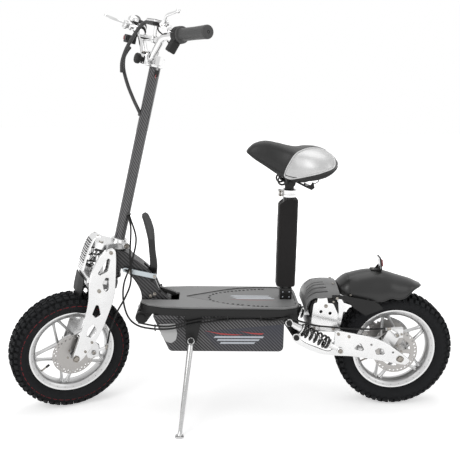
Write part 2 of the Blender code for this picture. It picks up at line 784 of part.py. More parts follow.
def chassis(finishes):
    """Welded frame: deck rails, hinge ears with their pin, rear pivot plates and stand bracket."""
    opening = rounded(
        [
            (DECK_FRONT_X + 0.045, -(DECK_HALF_WIDTH - RAIL_WIDTH)),
            (BOX_REAR_X - 0.006, -(DECK_HALF_WIDTH - RAIL_WIDTH)),
            (BOX_REAR_X - 0.006, DECK_HALF_WIDTH - RAIL_WIDTH),
            (DECK_FRONT_X + 0.045, DECK_HALF_WIDTH - RAIL_WIDTH),
        ],
        0.012,
        2,
    )
    rails = prism([deck_outline(), opening], RAIL_BOTTOM, RAIL_TOP, "z")
    slot = block(
        (DECK_FRONT_X - 0.05, -SLOT_HALF_WIDTH, RAIL_BOTTOM - 0.01),
        (DECK_FRONT_X + 0.06, SLOT_HALF_WIDTH, RAIL_TOP + 0.01),
    )
    rails = cut(rails, slot)
    beam = block(
        (SLOT_REAR_X + 0.018, -(DECK_HALF_WIDTH - 0.02), RAIL_BOTTOM + 0.001),
        (SLOT_REAR_X + 0.030, DECK_HALF_WIDTH - 0.02, RAIL_TOP - 0.001),
    )
    pin_end = SLOT_HALF_WIDTH + CHEEK_THICKNESS
    pin = turned(
        [
            (0.0, -pin_end - 0.004),
            (0.012, -pin_end - 0.004),
            (0.012, -pin_end + 0.001),
            (HINGE_PIN_RADIUS, -pin_end + 0.001),
            (HINGE_PIN_RADIUS, pin_end - 0.001),
            (0.012, pin_end - 0.001),
            (0.012, pin_end + 0.004),
            (0.0, pin_end + 0.004),
        ],
        12,
        closed=False,
        centre=(HINGE_X, 0, HINGE_Z),
    )
    end = ARM_OUTER_Y + GAP
    pivot = turned(
        [
            (0.0, -end - 0.004),
            (0.009, -end - 0.004),
            (0.009, -end),
            (PIVOT_PIN_RADIUS, -end),
            (PIVOT_PIN_RADIUS, -ARM_INNER_Y + GAP),
            (0.011, -ARM_INNER_Y + GAP),
            (0.011, ARM_INNER_Y - GAP),
            (PIVOT_PIN_RADIUS, ARM_INNER_Y - GAP),
            (PIVOT_PIN_RADIUS, end),
            (0.009, end),
            (0.009, end + 0.004),
            (0.0, end + 0.004),
        ],
        10,
        closed=False,
        centre=(PIVOT_X, 0, PIVOT_Z),
    )
    parts = [beam, hinge_cheek(-1), hinge_cheek(1), pin, pivot_plate(-1), pivot_plate(1), pivot]
    body = weld(rails, *parts, *shock_lugs(), stand_bracket())
    return finish(body, "chassis", finishes["black_paint"])


def deck_panel(finishes):
    """Tread plate with the opening the neck folds into and a pointed groove round its middle."""
    inset = 0.003
    outline = deck_outline(inset)
    front = DECK_FRONT_X + inset
    half = SLOT_HALF_WIDTH + GAP
    rear = SLOT_REAR_X + 0.006
    notch = block((front - 0.02, -half, DECK_UNDER - 0.01), (rear, half, DECK_TOP + 0.01))
    plate = prism([outline], DECK_UNDER, DECK_TOP, "z")
    groove_depth = 0.0016
    grooves = []
    for side in (-1, 1):
        inner = [(x, side * y) for x, y in tread_curve(0.0)]
        outer = [(x, side * y) for x, y in tread_curve(0.003)]
        grooves.append(
            prism([inner + outer[::-1]], DECK_TOP - groove_depth, DECK_TOP + 0.002, "z")
        )
    stub = SEAT_STUB_WIDTH / 2 + GAP
    hole = block((SEAT_X - stub, -stub, DECK_UNDER - 0.01), (SEAT_X + stub, stub, DECK_TOP + 0.01))
    return finish(cut(plate, notch, hole, *grooves), "deck_panel", finishes["deck"])


def tread_curve(widen):
    """Half of the lens-shaped groove: it starts on the centre line and runs to the rear."""
    start, end, swell = SLOT_REAR_X + 0.022, SEAT_X - 0.035, 0.088
    steps = 9
    return [
        (
            start + (end - start) * i / steps,
            0.004 + widen + swell * math.sin(math.pi * 0.62 * i / steps),
        )
        for i in range(steps + 1)
    ]


def box_outline(inset=0.0):
    """Side outline of the battery box, with its sloping front."""
    return [
        (BOX_TOE_X + inset, BOX_BOTTOM + inset),
        (BOX_REAR_X - inset, BOX_BOTTOM + inset),
        (BOX_REAR_X - inset, BOX_TOP),
        (BOX_FRONT_X + inset, BOX_TOP),
        (BOX_FRONT_X + inset, BOX_TOP - 0.006),
    ]


def battery_box(finishes):
    """Open-topped box under the deck, recessed in front where the neck folds down."""
    radii = [0.014, 0.014, 0, 0, 0]
    outer = prism([rounded(box_outline(), radii)], -BOX_HALF_WIDTH, BOX_HALF_WIDTH)
    inside = BOX_HALF_WIDTH - BOX_WALL
    inner = [(x, z if z < BOX_TOP else BOX_TOP + 0.01) for x, z in box_outline(BOX_WALL)]
    cavity = prism([rounded(inner, [0.011, 0.011, 0, 0, 0])], -inside, inside)
    bay_low = HINGE_Z - 0.026
    bay_rear = SLOT_REAR_X + 0.018
    bay = block((-0.30, -SLOT_HALF_WIDTH, bay_low), (bay_rear, SLOT_HALF_WIDTH, BOX_TOP + 0.02))
    wall = BOX_WALL
    around = block(
        (-0.31, -SLOT_HALF_WIDTH - wall, bay_low - wall),
        (bay_rear + wall, SLOT_HALF_WIDTH + wall, BOX_TOP + 0.03),
    )
    cavity = cut(cavity, around)
    return finish(cut(outer, cavity, bay), "battery_box", finishes["carbon"])


def battery_pack(finishes):
    """Three batteries in a row against the left wall of the box, with a strap round them."""
    low = BOX_BOTTOM + BOX_WALL + GAP
    left = -BOX_HALF_WIDTH + BOX_WALL + 0.001
    width, height, length = 0.150, 0.092, 0.090
    first, joint = -0.140, 0.002
    outline = [(first, low), (first + 3 * length, low), (first + 3 * length, low + height)]
    for i in (2, 1):
        edge = first + i * length
        outline += [(edge + joint, low + height), (edge, low + height - 0.012), (edge - joint, low + height)]
    outline.append((first, low + height))
    pack = prism([outline], left, left + width)
    strap = block(
        (first + 0.030, left + 0.070, low + 0.010),
        (first + 3 * length - 0.030, left + 0.085, low + height + 0.0015),
    )
    return finish(weld(pack, strap), "battery_pack", finishes["battery"])


def seat_tube(finishes):
    """Square foot, the tube that the seat post slides in, and the clamp at its top."""
    half = SEAT_STUB_WIDTH / 2
    bottom = RAIL_TOP + GAP
    outline = rounded([(-half, -half), (half, -half), (half, half), (-half, half)], 0.003, 1)
    foot = prism([[(x + SEAT_X, y) for x, y in outline]], bottom, DECK_TOP + SEAT_STUB_HEIGHT, "z")
    tube = prism([circle(SEAT_X, 0, SEAT_TUBE_RADIUS, 14)], bottom + 0.002, SEAT_TUBE_TOP, "z")
    low = SEAT_TUBE_TOP - SEAT_COLLAR_HEIGHT
    ring = prism([circle(SEAT_X, 0, SEAT_TUBE_RADIUS + 0.006, 14)], low, SEAT_TUBE_TOP - 0.001, "z")
    ears = block((SEAT_X - 0.036, -0.008, low + 0.002), (SEAT_X - 0.015, 0.008, SEAT_TUBE_TOP - 0.003))
    bolt_z = low + SEAT_COLLAR_HEIGHT / 2
    bolt = rod((SEAT_X - 0.030, -0.016, bolt_z), (SEAT_X - 0.030, 0.013, bolt_z), 0.005, 8)
    bore = prism(
        [circle(SEAT_X, 0, SEAT_TUBE_RADIUS - SEAT_TUBE_WALL, 14)], bottom + 0.012, SEAT_TUBE_TOP + 0.1, "z"
    )
    body = weld(foot, tube, ring, ears, bolt)
    return finish(cut(body, bore), "seat_tube", finishes["black_paint"])


def post_pad(finishes):
    """Foam sleeve on the tube, its front top edge cut at a slant."""
    half, wide = PAD_LENGTH / 2, PAD_WIDTH / 2
    outline = rounded([(-half, -wide), (half, -wide), (half, wide), (-half, wide)], 0.009, 3)
    body = prism([[(x + SEAT_X - 0.002, y) for x, y in outline]], PAD_BOTTOM, PAD_TOP, "z")
    bore = prism(
        [circle(SEAT_X, 0, SEAT_TUBE_RADIUS + GAP, 14)], PAD_BOTTOM - 0.01, PAD_TOP + 0.01, "z"
    )
    slant = prism(
        [
            [
                (SEAT_X - 0.04, PAD_TOP - 0.024),
                (SEAT_X - 0.04, PAD_TOP + 0.01),
                (SEAT_X + 0.004, PAD_TOP + 0.01),
            ]
        ],
        -0.04,
        0.04,
    )
    return finish(cut(body, bore, slant), "post_pad", finishes["foam"])


def shock_lugs():
    """Cross bar under the tail, hung from both rails; its ends are the pins of the shock eyes."""
    end = SHOCK_Y + SHOCK_EYE_HALF_WIDTH
    x, z = SHOCK_EYE.x, SHOCK_EYE.z
    bar = turned(
        [
            (0.0, -end - 0.005),
            (0.009, -end - 0.005),
            (0.009, -end - GAP),
            (SHOCK_PIN_RADIUS, -end - GAP),
            (SHOCK_PIN_RADIUS, -SHOCK_Y + SHOCK_EYE_HALF_WIDTH + GAP),
            (0.010, -SHOCK_Y + SHOCK_EYE_HALF_WIDTH + GAP),
            (0.010, SHOCK_Y - SHOCK_EYE_HALF_WIDTH - GAP),
            (SHOCK_PIN_RADIUS, SHOCK_Y - SHOCK_EYE_HALF_WIDTH - GAP),
            (SHOCK_PIN_RADIUS, end + GAP),
            (0.009, end + GAP),
            (0.009, end + 0.005),
            (0.0, end + 0.005),
        ],
        10,
        closed=False,
        centre=(x, 0, z),
    )
    pieces = []
    for side in (-1, 1):
        outline = rounded(
            [
                (x - 0.0125, z - 0.008),
                (x + 0.010, z - 0.010),
                (x + 0.030, RAIL_BOTTOM - 0.006),
                (x + 0.033, RAIL_BOTTOM + 0.002),
                (x - 0.0125, RAIL_BOTTOM + 0.002),
            ],
            [0.003, 0.003, 0.002, 0, 0],
            1,
        )
        inner, outer = side * 0.066, side * 0.088
        pieces.append(prism([outline], min(inner, outer), max(inner, outer)))
    return [bar, *pieces]


# Fold hinge, lever and latch


def neck(finishes, hinge, head):
    """Curved gooseneck between the fold hinge and the head tube."""
    outline = [
        (-0.3660, 0.4300),
        (-0.3440, 0.4420),
        (-0.3230, 0.4280),
        (-0.3000, 0.4010),
        (-0.2830, 0.3680),
        (HINGE_X - 0.006, HINGE_Z + 0.040),
    ]
    ear = HINGE_RADIUS - 0.001
    outline += arc(HINGE_X, HINGE_Z, ear, 165, 345, 7)
    outline += [
        (HINGE_X + 0.025, HINGE_Z + 0.036),
        (-0.252, 0.348),
        (-0.192, 0.340),
        (-0.200, 0.352),
        (-0.225, 0.373),
        (-0.240, 0.410),
        (-0.264, 0.438),
        (-0.310, 0.476),
        (-0.3245, 0.4920),
        (-0.354, 0.4985),
        (-0.372, 0.500),
    ]
    body = prism([outline], -NECK_HALF_WIDTH, NECK_HALF_WIDTH)
    tube = head_tube(head)
    body = weld(body, tube)
    bore = head_cylinder(head, STEERER_RADIUS + RUNNING, HEAD_TUBE_BOTTOM - 0.05, HEAD_TUBE_TOP + 0.05)
    room = FOLD_LEVER_HALF + 0.002
    pocket = prism(
        [
            [
                (-0.276, 0.392),
                (-0.262, 0.378),
                (-0.2360, 0.3620),
                (-0.2100, 0.3580),
                (-0.180, 0.3580),
                (-0.180, 0.420),
                (-0.235, 0.470),
                (-0.276, 0.470),
            ]
        ],
        -room,
        room,
    )
    hole = prism([circle(HINGE_X, HINGE_Z, HINGE_PIN_RADIUS + RUNNING, 12)], -0.05, 0.05)
    body = cut(body, bore, pocket, hole)
    lever_pin = cross_pin(LEVER_PIVOT, -NECK_HALF_WIDTH - 0.003, NECK_HALF_WIDTH + 0.003, LEVER_PIN_RADIUS, 8)
    latch_pin = cross_pin(LATCH_PIVOT, -NECK_HALF_WIDTH - 0.001, NECK_HALF_WIDTH + 0.001, LATCH_PIN_RADIUS)
    stud = cross_pin(LINK_FOOT, -LINK_Y - 0.006, 0.005 - NECK_HALF_WIDTH, LINK_STUD_RADIUS)
    return finish(weld(body, lever_pin, latch_pin, stud), "neck", finishes["carbon"], hinge, world=True)


def cross_pin(at, low, high, radius, sides=10):
    """A pin across the scooter through a point of a side view."""
    return rod((at.x, low, at.z), (at.x, high, at.z), radius, sides)


def head_cylinder(head, radius, low, high, sides=14):
    """A cylinder on the steering axis, in world coordinates."""
    matrix = head.matrix_world
    return rod(matrix @ Vector((0, 0, low)), matrix @ Vector((0, 0, high)), radius, sides)


def head_tube(head):
    """The tube the steerer turns in, flared at each end for its bearing."""
    flare = 0.003
    stations = [
        (HEAD_TUBE_BOTTOM, flare),
        (HEAD_TUBE_BOTTOM + 0.009, flare),
        (HEAD_TUBE_BOTTOM + 0.013, 0.0),
        (HEAD_TUBE_TOP - 0.013, 0.0),
        (HEAD_TUBE_TOP - 0.009, flare),
        (HEAD_TUBE_TOP, flare),
    ]
    points = [head.matrix_world @ Vector((0, 0, along)) for along, _ in stations]
    return sweep(points, [HEAD_TUBE_RADIUS + more for _, more in stations], 14)


def fold_lever(finishes, pivot):
    """Hand lever that frees the fold: forged blade with a moulded grip."""
    blade = [
        (-0.2600, 0.398),
        (-0.2500, 0.3945),
        (-0.2400, 0.398),
        (-0.2355, 0.425),
        (-0.2350, 0.453),
        (-0.2400, 0.492),
        (-0.2440, 0.540),
        (-0.2640, 0.540),
        (-0.2610, 0.497),
        (-0.2580, 0.455),
        (-0.2610, 0.425),
    ]
    blade = rounded(blade, [0.003, 0, 0.003, 0, 0, 0, 0, 0, 0, 0, 0], 2)
    hole = circle(LEVER_PIVOT.x, LEVER_PIVOT.z, LEVER_PIN_RADIUS + RUNNING, 8)
    plate = prism([blade, hole], -FOLD_LEVER_HALF, FOLD_LEVER_HALF)
    ends = [(-0.2545, 0.5350), (-0.2570, 0.5560), (-0.2640, 0.5820), (-0.2715, 0.6020), (-0.2745, 0.6080)]
    radii = [0.0125, 0.0130, 0.0115, 0.0100, 0.0055]
    grip = sweep([(x, 0, z) for x, z in ends], radii, 10, flat=0.95, side=(0, 1, 0))
    pin_out = cross_pin(LINK_PIN, -LINK_Y - 0.006, 0.0, LINK_PIN_RADIUS)
    return finish(weld(plate, grip, pin_out), "fold_lever", finishes["black_rubber"], pivot, world=True)


def lever_link(finishes, pivot):
    """Bright link beside the neck, pinned to the lever and slotted on the neck's stud."""
    along = (LINK_PIN - LINK_FOOT).normalized()
    low, high = -LINK_Y - 0.0035, -LINK_Y + 0.0035
    bar = prism([stadium(LINK_FOOT - along * 0.0165, LINK_PIN, 0.0075, 4)], low, high)
    slot_radius = LINK_STUD_RADIUS + PIN_PLAY + GAP
    slot = prism([stadium(LINK_FOOT - along * 0.0150, LINK_FOOT, slot_radius, 3)], low - 0.002, high + 0.002)
    hole = prism([circle(LINK_PIN.x, LINK_PIN.z, LINK_PIN_RADIUS + PIN_PLAY, 10)], low - 0.002, high + 0.002)
    return finish(cut(bar, slot, hole), "lever_link", finishes["aluminium"], pivot, world=True)


def stadium(start, end, radius, steps=5):
    """Outline of a slot with round ends between two points of a side view."""
    angle = math.degrees(math.atan2(end.z - start.z, end.x - start.x))
    first = arc(start.x, start.z, radius, angle + 90, angle + 270, steps)
    return first + arc(end.x, end.z, radius, angle - 90, angle + 90, steps)


def latch_bar(finishes, pivot):
    """Hook bar that drops from the neck into the deck's opening."""
    outline = stadium(LATCH_PIVOT, LATCH_TIP, 0.0060, 4)
    hole = circle(LATCH_PIVOT.x, LATCH_PIVOT.z, LATCH_PIN_RADIUS + RUNNING, 10)
    half = FOLD_LEVER_HALF - 0.001
    body = prism([outline, hole], -half, half)
    return finish(body, "latch_bar", finishes["black_paint"], pivot, world=True)


# Steered front end, in the steering frame


def plan_plate(outline, low, high):
    return prism([outline], low, high, "z")


def fork_crown(finishes, steering):
    """Upper and lower crowns on the steerer, with the rods that the fork slides on."""
    rear, side = 0.024, ROD_Y + 0.015
    outline = rounded(
        [
            (rear, -0.016),
            (rear, 0.016),
            (0.000, 0.026),
            (ROD_X + 0.008, side),
            (ROD_X - 0.011, side - 0.004),
            (ROD_X - 0.0185, 0.014),
            (ROD_X - 0.0185, -0.014),
            (ROD_X - 0.011, -side + 0.004),
            (ROD_X + 0.008, -side),
            (0.000, -0.026),
        ],
        [0.008, 0.008, 0, 0.008, 0, 0, 0, 0, 0.008, 0],
        1,
    )
    upper = plan_plate(outline, UPPER_CROWN_BOTTOM, UPPER_CROWN_BOTTOM + CROWN_THICKNESS)
    boss = prism([circle(0, 0, 0.024, 14)], UPPER_CROWN_BOTTOM + 0.002, UPPER_CROWN_TOP, "z")
    eye_high = UPPER_CROWN_BOTTOM + 0.016
    eye = rod((0.014, -0.037, eye_high), (0.014, 0.037, eye_high), 0.010, 10)
    rear_low = 0.021
    low_outline = rounded(
        [
            (rear_low, -0.014),
            (rear_low, 0.014),
            (0.0, 0.022),
            (ROD_X + 0.006, side - 0.003),
            (ROD_X - 0.010, side - 0.006),
            (ROD_X - 0.010, -side + 0.006),
            (ROD_X + 0.006, -side + 0.003),
            (0.0, -0.022),
        ],
        [0.006, 0.006, 0, 0.006, 0, 0, 0.006, 0],
        1,
    )
    lower = plan_plate(low_outline, LOWER_CROWN_BOTTOM, LOWER_CROWN_TOP - 0.001)
    lower_boss = prism(
        [circle(0, 0, 0.021, 14)], LOWER_CROWN_BOTTOM + 0.002, HEAD_TUBE_BOTTOM - RUNNING, "z"
    )
    steerer = prism(
        [circle(0, 0, STEERER_RADIUS, 14)], LOWER_CROWN_BOTTOM + 0.004, UPPER_CROWN_TOP - 0.004, "z"
    )
    spigot = prism(
        [circle(0, 0, COLUMN_RADIUS - COLUMN_WALL - GAP, 10)],
        UPPER_CROWN_TOP - 0.004,
        UPPER_CROWN_TOP + 0.045,
        "z",
    )
    rods = [
        prism(
            [circle(ROD_X, side_y, ROD_RADIUS, 10)],
            LOWER_CROWN_BOTTOM + 0.004,
            UPPER_CROWN_BOTTOM + CROWN_THICKNESS + 0.004,
            "z",
        )
        for side_y in (-ROD_Y, ROD_Y)
    ]
    body = weld(upper, boss, eye, lower, lower_boss, steerer, spigot, *rods)
    return finish(body, "fork_crown", finishes["cast"], steering)


def column(finishes, steering):
    """The tall tube between the crown and the handlebar, with cable openings at both ends."""
    bottom = UPPER_CROWN_TOP + GAP
    inner = COLUMN_RADIUS - COLUMN_WALL
    tube = prism([circle(0, 0, COLUMN_RADIUS, 20), circle(0, 0, inner, 16)], bottom, COLUMN_TOP, "z")
    entry = rod(CABLE_ENTRY, CABLE_ENTRY_FOOT, HARNESS_RADIUS + 3 * GAP, 12)
    leave = rod(CABLE_EXIT, CABLE_EXIT_FOOT, 2 * CABLE_RADIUS + 4 * GAP, 12)
    return finish(cut(tube, entry, leave), "column", finishes["carbon"], steering)


def entry_run():
    """The harness's last stretch, straight through its hole in the column."""
    way = (CABLE_ENTRY_FOOT - CABLE_ENTRY).normalized()
    return [CABLE_ENTRY + way * along for along in (0.009, 0.018, 0.027)]


def exit_run(side):
    """The first stretch of one of the two cables that leave the column side by side."""
    way = (CABLE_EXIT - CABLE_EXIT_FOOT).normalized()
    beside = way.cross(Vector((0, 0, 1))).normalized() * (side * (CABLE_RADIUS + 1.5 * GAP))
    return [CABLE_EXIT_FOOT + way * along + beside for along in (0.021, 0.030, 0.039)]


def bar_path(side):
    """The handlebar's bends from the clamp to one end."""
    mirror = Matrix.Diagonal((1, side, 1))
    low, high = mirror @ BAR_LOW_BEND, mirror @ BAR_HIGH_BEND
    sweep_start, end = mirror @ BAR_SWEEP_START, mirror @ BAR_END
    out = [BAR_CLAMP]
    corners = [BAR_CLAMP, low, high, sweep_start, end]
    for before, corner, after in zip(corners, corners[1:], corners[2:]):
        back = (before - corner).normalized()
        ahead = (after - corner).normalized()
        reach = min(0.016, 0.45 * (before - corner).length, 0.45 * (after - corner).length)
        for t in (0.0, 0.5, 1.0):
            out.append(
                (corner + back * reach) * (1 - t) ** 2
                + corner * (2 * t * (1 - t))
                + (corner + ahead * reach) * t**2
            )
    return [*out, end]


def bar_frame(side, inboard):
    """A point on the bar, a distance in from its tip, and the way out along the bar there."""
    mirror = Matrix.Diagonal((1, side, 1))
    end, bend, high = mirror @ BAR_END, mirror @ BAR_SWEEP_START, mirror @ BAR_HIGH_BEND
    straight = (end - bend).length
    if inboard <= straight:
        way = (end - bend).normalized()
        return end - way * inboard, way
    way = (bend - high).normalized()
    return bend - way * (inboard - straight), way


def bar_point(side, inboard):
    return bar_frame(side, inboard)[0]


def lever_frame(side, hinge):
    """Where a brake lever's clamp sits, and the ways out along the bar, to the pivot and its pin."""
    clamp_at, ahead = bar_frame(side, LEVER_CLAMP_INBOARD)
    reach = (hinge - clamp_at).normalized()
    return clamp_at, ahead, reach, reach.cross(ahead).normalized()


def perch(side, hinge):
    """Clamp round the bar with a fork that holds a brake lever's pin."""
    clamp_at, ahead, reach, pin_way = lever_frame(side, hinge)
    back = hinge - reach * (LEVER_BARREL_RADIUS + 0.0075)
    pieces = [
        sweep([clamp_at - ahead * 0.009, clamp_at + ahead * 0.009], BAR_RADIUS + 0.0055, 10),
        sweep([clamp_at, back], [0.0100, 0.0080], 6),
        rod(back - pin_way * LEVER_FORK, back + pin_way * LEVER_FORK, 0.0070, 6),
        rod(hinge - pin_way * LEVER_FORK, hinge + pin_way * LEVER_FORK, LEVER_PIN, 6),
    ]
    for level in (-1, 1):
        near, far = pin_way * level * LEVER_FORK / 2, pin_way * level * LEVER_FORK
        pieces.append(rod(hinge + near, hinge + far, LEVER_BARREL_RADIUS, 8))
        middle = (near + far) / 2
        pieces.append(
            sweep([back + middle, hinge + middle], LEVER_BARREL_RADIUS - 0.001, 6, LEVER_FORK_FLAT, pin_way)
        )
    return pieces


def handlebar(finishes, steering):
    """Bent bar with its cross tube, stem clamp, key switch and both brake levers' clamps."""
    left = bar_path(-1)
    tube = sweep([*reversed(left), *bar_path(1)[1:]], BAR_RADIUS, 10)
    across = rod((CROSSBAR_AT.x, -CROSSBAR_AT.y, CROSSBAR_AT.z), tuple(CROSSBAR_AT), CROSSBAR_RADIUS, 10)
    plug_radius = COLUMN_RADIUS - COLUMN_WALL - GAP
    plug = prism([circle(0, 0, plug_radius, 12)], COLUMN_TOP - 0.050, COLUMN_TOP + 0.006, "z")
    outline = rounded([(-0.043, -0.022), (0.020, -0.020), (0.020, 0.020), (-0.043, 0.022)], 0.008, 2)
    stem = prism([outline], COLUMN_TOP + GAP, COLUMN_TOP + 0.030, "z")
    cap = rod((BAR_CLAMP.x, -0.023, BAR_CLAMP.z), (BAR_CLAMP.x, 0.023, BAR_CLAMP.z), 0.0185, 10)
    down = Vector((0, 0, -1))
    switch_top = KEY_TOP - down * 0.026
    bracket = rod(switch_top + Vector((0, 0.034, -0.004)), switch_top - Vector((0, 0, 0.006)), 0.007, 8)
    barrel = rod(switch_top, KEY_TOP, 0.0115, 12)
    pieces = [across, plug, stem, cap, bracket, barrel]
    pieces += perch(-1, LEFT_LEVER_PIVOT) + perch(1, RIGHT_LEVER_PIVOT)
    return finish(weld(tube, *pieces), "handlebar", finishes["chrome"], steering)


def ignition_key(finishes, axis):
    """Key in the switch below the bar, with a ring and a spare key on it."""
    top = KEY_TOP - Vector((0, 0, GAP))
    blade = rod(top, top - Vector((0, 0, 0.010)), 0.003, 8)
    bow = block(
        (top.x - 0.009, top.y - 0.0015, top.z - 0.030), (top.x + 0.009, top.y + 0.0015, top.z - 0.009)
    )
    eye = rod((top.x, top.y - 0.01, top.z - 0.025), (top.x, top.y + 0.01, top.z - 0.025), 0.0025, 8)
    return finish(cut(weld(blade, bow), eye), "ignition_key", finishes["black_plastic"], axis, world=True)


def grip_shape(side, outer_radius):
    """A ribbed hand grip with a collar inboard and a rounded end cap."""
    inner_end, tip = bar_point(side, GRIP_LENGTH), bar_point(side, -0.004)
    ahead = (tip - inner_end).normalized()
    length = (tip - inner_end).length
    stations = [(0.0, 1.30), (0.004, 1.30), (0.0045, 1.0)]
    stations += [(length * 0.5, 0.96), (length - 0.004, 1.0), (length, 0.86)]
    body = sweep([inner_end + ahead * a for a, _ in stations], [outer_radius * r for _, r in stations], 12)
    bore = rod(inner_end - ahead * 0.01, bar_point(side, -GAP * 2), BAR_RADIUS + GAP * 2, 10)
    return cut(body, bore)


def right_grip(finishes, steering):
    return finish(grip_shape(1, GRIP_RADIUS), "right_grip", finishes["black_rubber"], steering)


def throttle_grip(finishes, axis):
    return finish(grip_shape(-1, GRIP_RADIUS), "throttle_grip", finishes["black_rubber"], axis, world=True)


def throttle_housing(finishes, steering):
    """Clamp beside the twist grip with the sender hanging below it."""
    outer = bar_point(-1, GRIP_LENGTH + GAP)
    ahead = (outer - bar_point(-1, GRIP_LENGTH + 0.02)).normalized()
    inner = outer - ahead * THROTTLE_HOUSING_WIDTH
    stations = [inner, inner + ahead * 0.002, outer - ahead * 0.002, outer]
    ring = sweep(stations, [0.0215, 0.0235, 0.0235, 0.0215], 12)
    middle = (inner + outer) / 2
    drop = Vector((-0.30, 0.12, -1.0)).normalized()
    below = [middle + drop * 0.008, middle + drop * 0.030, middle + drop * 0.050]
    sender = sweep(below, [0.0115, 0.0125, 0.0110], 8)
    body = weld(ring, sender)
    bore = rod(inner - ahead * 0.01, outer + ahead * 0.01, BAR_RADIUS + GAP * 3, 10)
    return finish(cut(body, bore), "throttle_housing", finishes["black_plastic"], steering)


def brake_lever(name, hinge, side, tip, finishes, axis):
    """A forged lever blade with a round tip, turning in its clamp's fork."""
    _, ahead, reach, pin_way = lever_frame(side, hinge)
    middle = hinge + (tip - hinge) * 0.35 + reach * 0.010
    late = hinge + (tip - hinge) * 0.75 + reach * 0.004
    points = smooth_route([hinge + ahead * 0.004, middle, late, tip], 0.020)
    last = len(points) - 1
    blade = sweep(points, [0.0042 - 0.0006 * i / last for i in range(last + 1)], 6)
    half = pin_way * (LEVER_FORK / 2 - RUNNING)
    barrel = rod(hinge - half, hinge + half, LEVER_BARREL_RADIUS, 8)
    bore = rod(hinge - pin_way * 0.02, hinge + pin_way * 0.02, LEVER_PIN + PIN_PLAY, 8)
    return finish(cut(weld(barrel, blade, ball(tip, 0.0062)), bore), name, finishes["chrome"], axis)


def ball(centre, radius, steps=8):
    """A small sphere turned about Y."""
    half = [
        (radius * math.sin(math.pi * i / 5), -radius * math.cos(math.pi * i / 5)) for i in range(6)
    ]
    half[0], half[-1] = (0.0, -radius), (0.0, radius)
    return turned(half, steps, closed=False, centre=tuple(centre))


def display(finishes, steering):
    """Meter box above the crossbar, on a post clamped to it."""
    centre = DISPLAY_AT
    long, wide = DISPLAY_HALF_LENGTH, DISPLAY_HALF_WIDTH
    outline = rounded([(-long, -wide), (long, -wide), (long, wide), (-long, wide)], 0.007, 2)
    outline = [(x + centre.x, y + centre.y) for x, y in outline]
    case = prism([outline], centre.z - 0.008, centre.z + 0.008, "z")
    foot = Vector((CROSSBAR_AT.x, -0.036, CROSSBAR_AT.z))
    half, through = Vector((0, 0.006, 0)), Vector((0, 0.020, 0))
    clamp = rod(foot - half, foot + half, CROSSBAR_RADIUS + 0.004, 10)
    post = rod(foot + Vector((-0.003, 0, 0.009)), centre + Vector((0.006, 0.014, -0.004)), 0.0055, 8)
    hole = rod(foot - through, foot + through, CROSSBAR_RADIUS + GAP, 10)
    return finish(weld(cut(weld(clamp, post), hole), case), "display", finishes["black_plastic"], steering)


def bar_ring(side, inboard, half_width, wall=0.0045):
    """A ring clamp round the bar, still solid, and the bore that opens it."""
    at, ahead = bar_frame(side, inboard)
    ring = sweep([at - ahead * half_width, at + ahead * half_width], BAR_RADIUS + wall, 10)
    bore = sweep([at - ahead * 0.03, at + ahead * 0.03], BAR_RADIUS + GAP * 3, 10)
    return ring, bore


def switch_block(finishes, steering):
    """Light and horn switch hung from a ring on the right of the bar."""
    at = bar_point(1, SWITCH_INBOARD)
    centre = at + Vector((-0.032, -0.012, -0.030))
    outline = rounded([(-0.015, -0.017), (0.015, -0.017), (0.015, 0.017), (-0.015, 0.017)], 0.004, 2)
    outline = [(x + centre.x, y + centre.y) for x, y in outline]
    case = prism([outline], centre.z - 0.012, centre.z + 0.012, "z")
    ring, bore = bar_ring(1, SWITCH_INBOARD, 0.0045)
    arm = rod(at, centre + Vector((0.008, 0, 0.004)), 0.0065, 8)
    body = weld(cut(weld(ring, arm), bore), case)
    return finish(body, "switch_block", finishes["black_plastic"], steering)


def bell(finishes, steering):
    """Domed bell on its own ring beside the right brake lever."""
    at = bar_point(1, BELL_INBOARD)
    base = at + Vector((-0.026, 0.001, 0.016))
    dome = [(0.0, 0.0), (0.0165, 0.0), (0.0165, 0.006), (0.0120, 0.0130), (0.0065, 0.0165), (0.0, 0.0175)]
    cup = turned(dome, 14, closed=False)
    cup.data.transform(Matrix.Translation(base) @ Matrix.Rotation(math.pi / 2, 4, "X"))
    ring, bore = bar_ring(1, BELL_INBOARD, 0.0045)
    arm = rod(at, base + Vector((0, 0, 0.003)), 0.0050, 8)
    return finish(weld(cut(weld(ring, arm), bore), cup), "bell", finishes["chrome"], steering)


# The sliding part of the fork, in the steering frame


def leg_outline():
    """Side outline of a fork plate: its foot follows the axle, its head the top of the fork."""
    foot = [(-0.0095, 0.005), (0.0025, -0.012), (0.0185, -0.002), (0.0325, 0.024), (0.0515, 0.065)]
    foot_rear = [(x - FORK_OFFSET, z + AXLE_ALONG) for x, z in foot[1:]]
    front = [(-0.0095, 0.005), (-0.0055, 0.044), (-0.0015, 0.083), (0.0015, 0.125)]
    foot_front = [(x - FORK_OFFSET, z + AXLE_ALONG) for x, z in front]
    head_rear = [(-0.021, -0.254), (-0.013, -0.210), (-0.007, -0.166), (-0.007, -0.128)]
    head_rear += [(-0.011, -0.100), (-0.016, -0.064), (-0.023, -0.028), (-0.033, -0.002)]
    head_front = [(-0.047, 0.0), (-0.073, -0.018), (-0.085, -0.046), (-0.089, -0.079)]
    head_front += [(-0.091, -0.107), (-0.087, -0.135), (-0.082, -0.171)]
    rear = [(x, z + LEG_TOP) for x, z in head_rear]
    front_top = [(x, z + LEG_TOP) for x, z in head_front]
    return foot_rear + rear + front_top + foot_front[::-1]


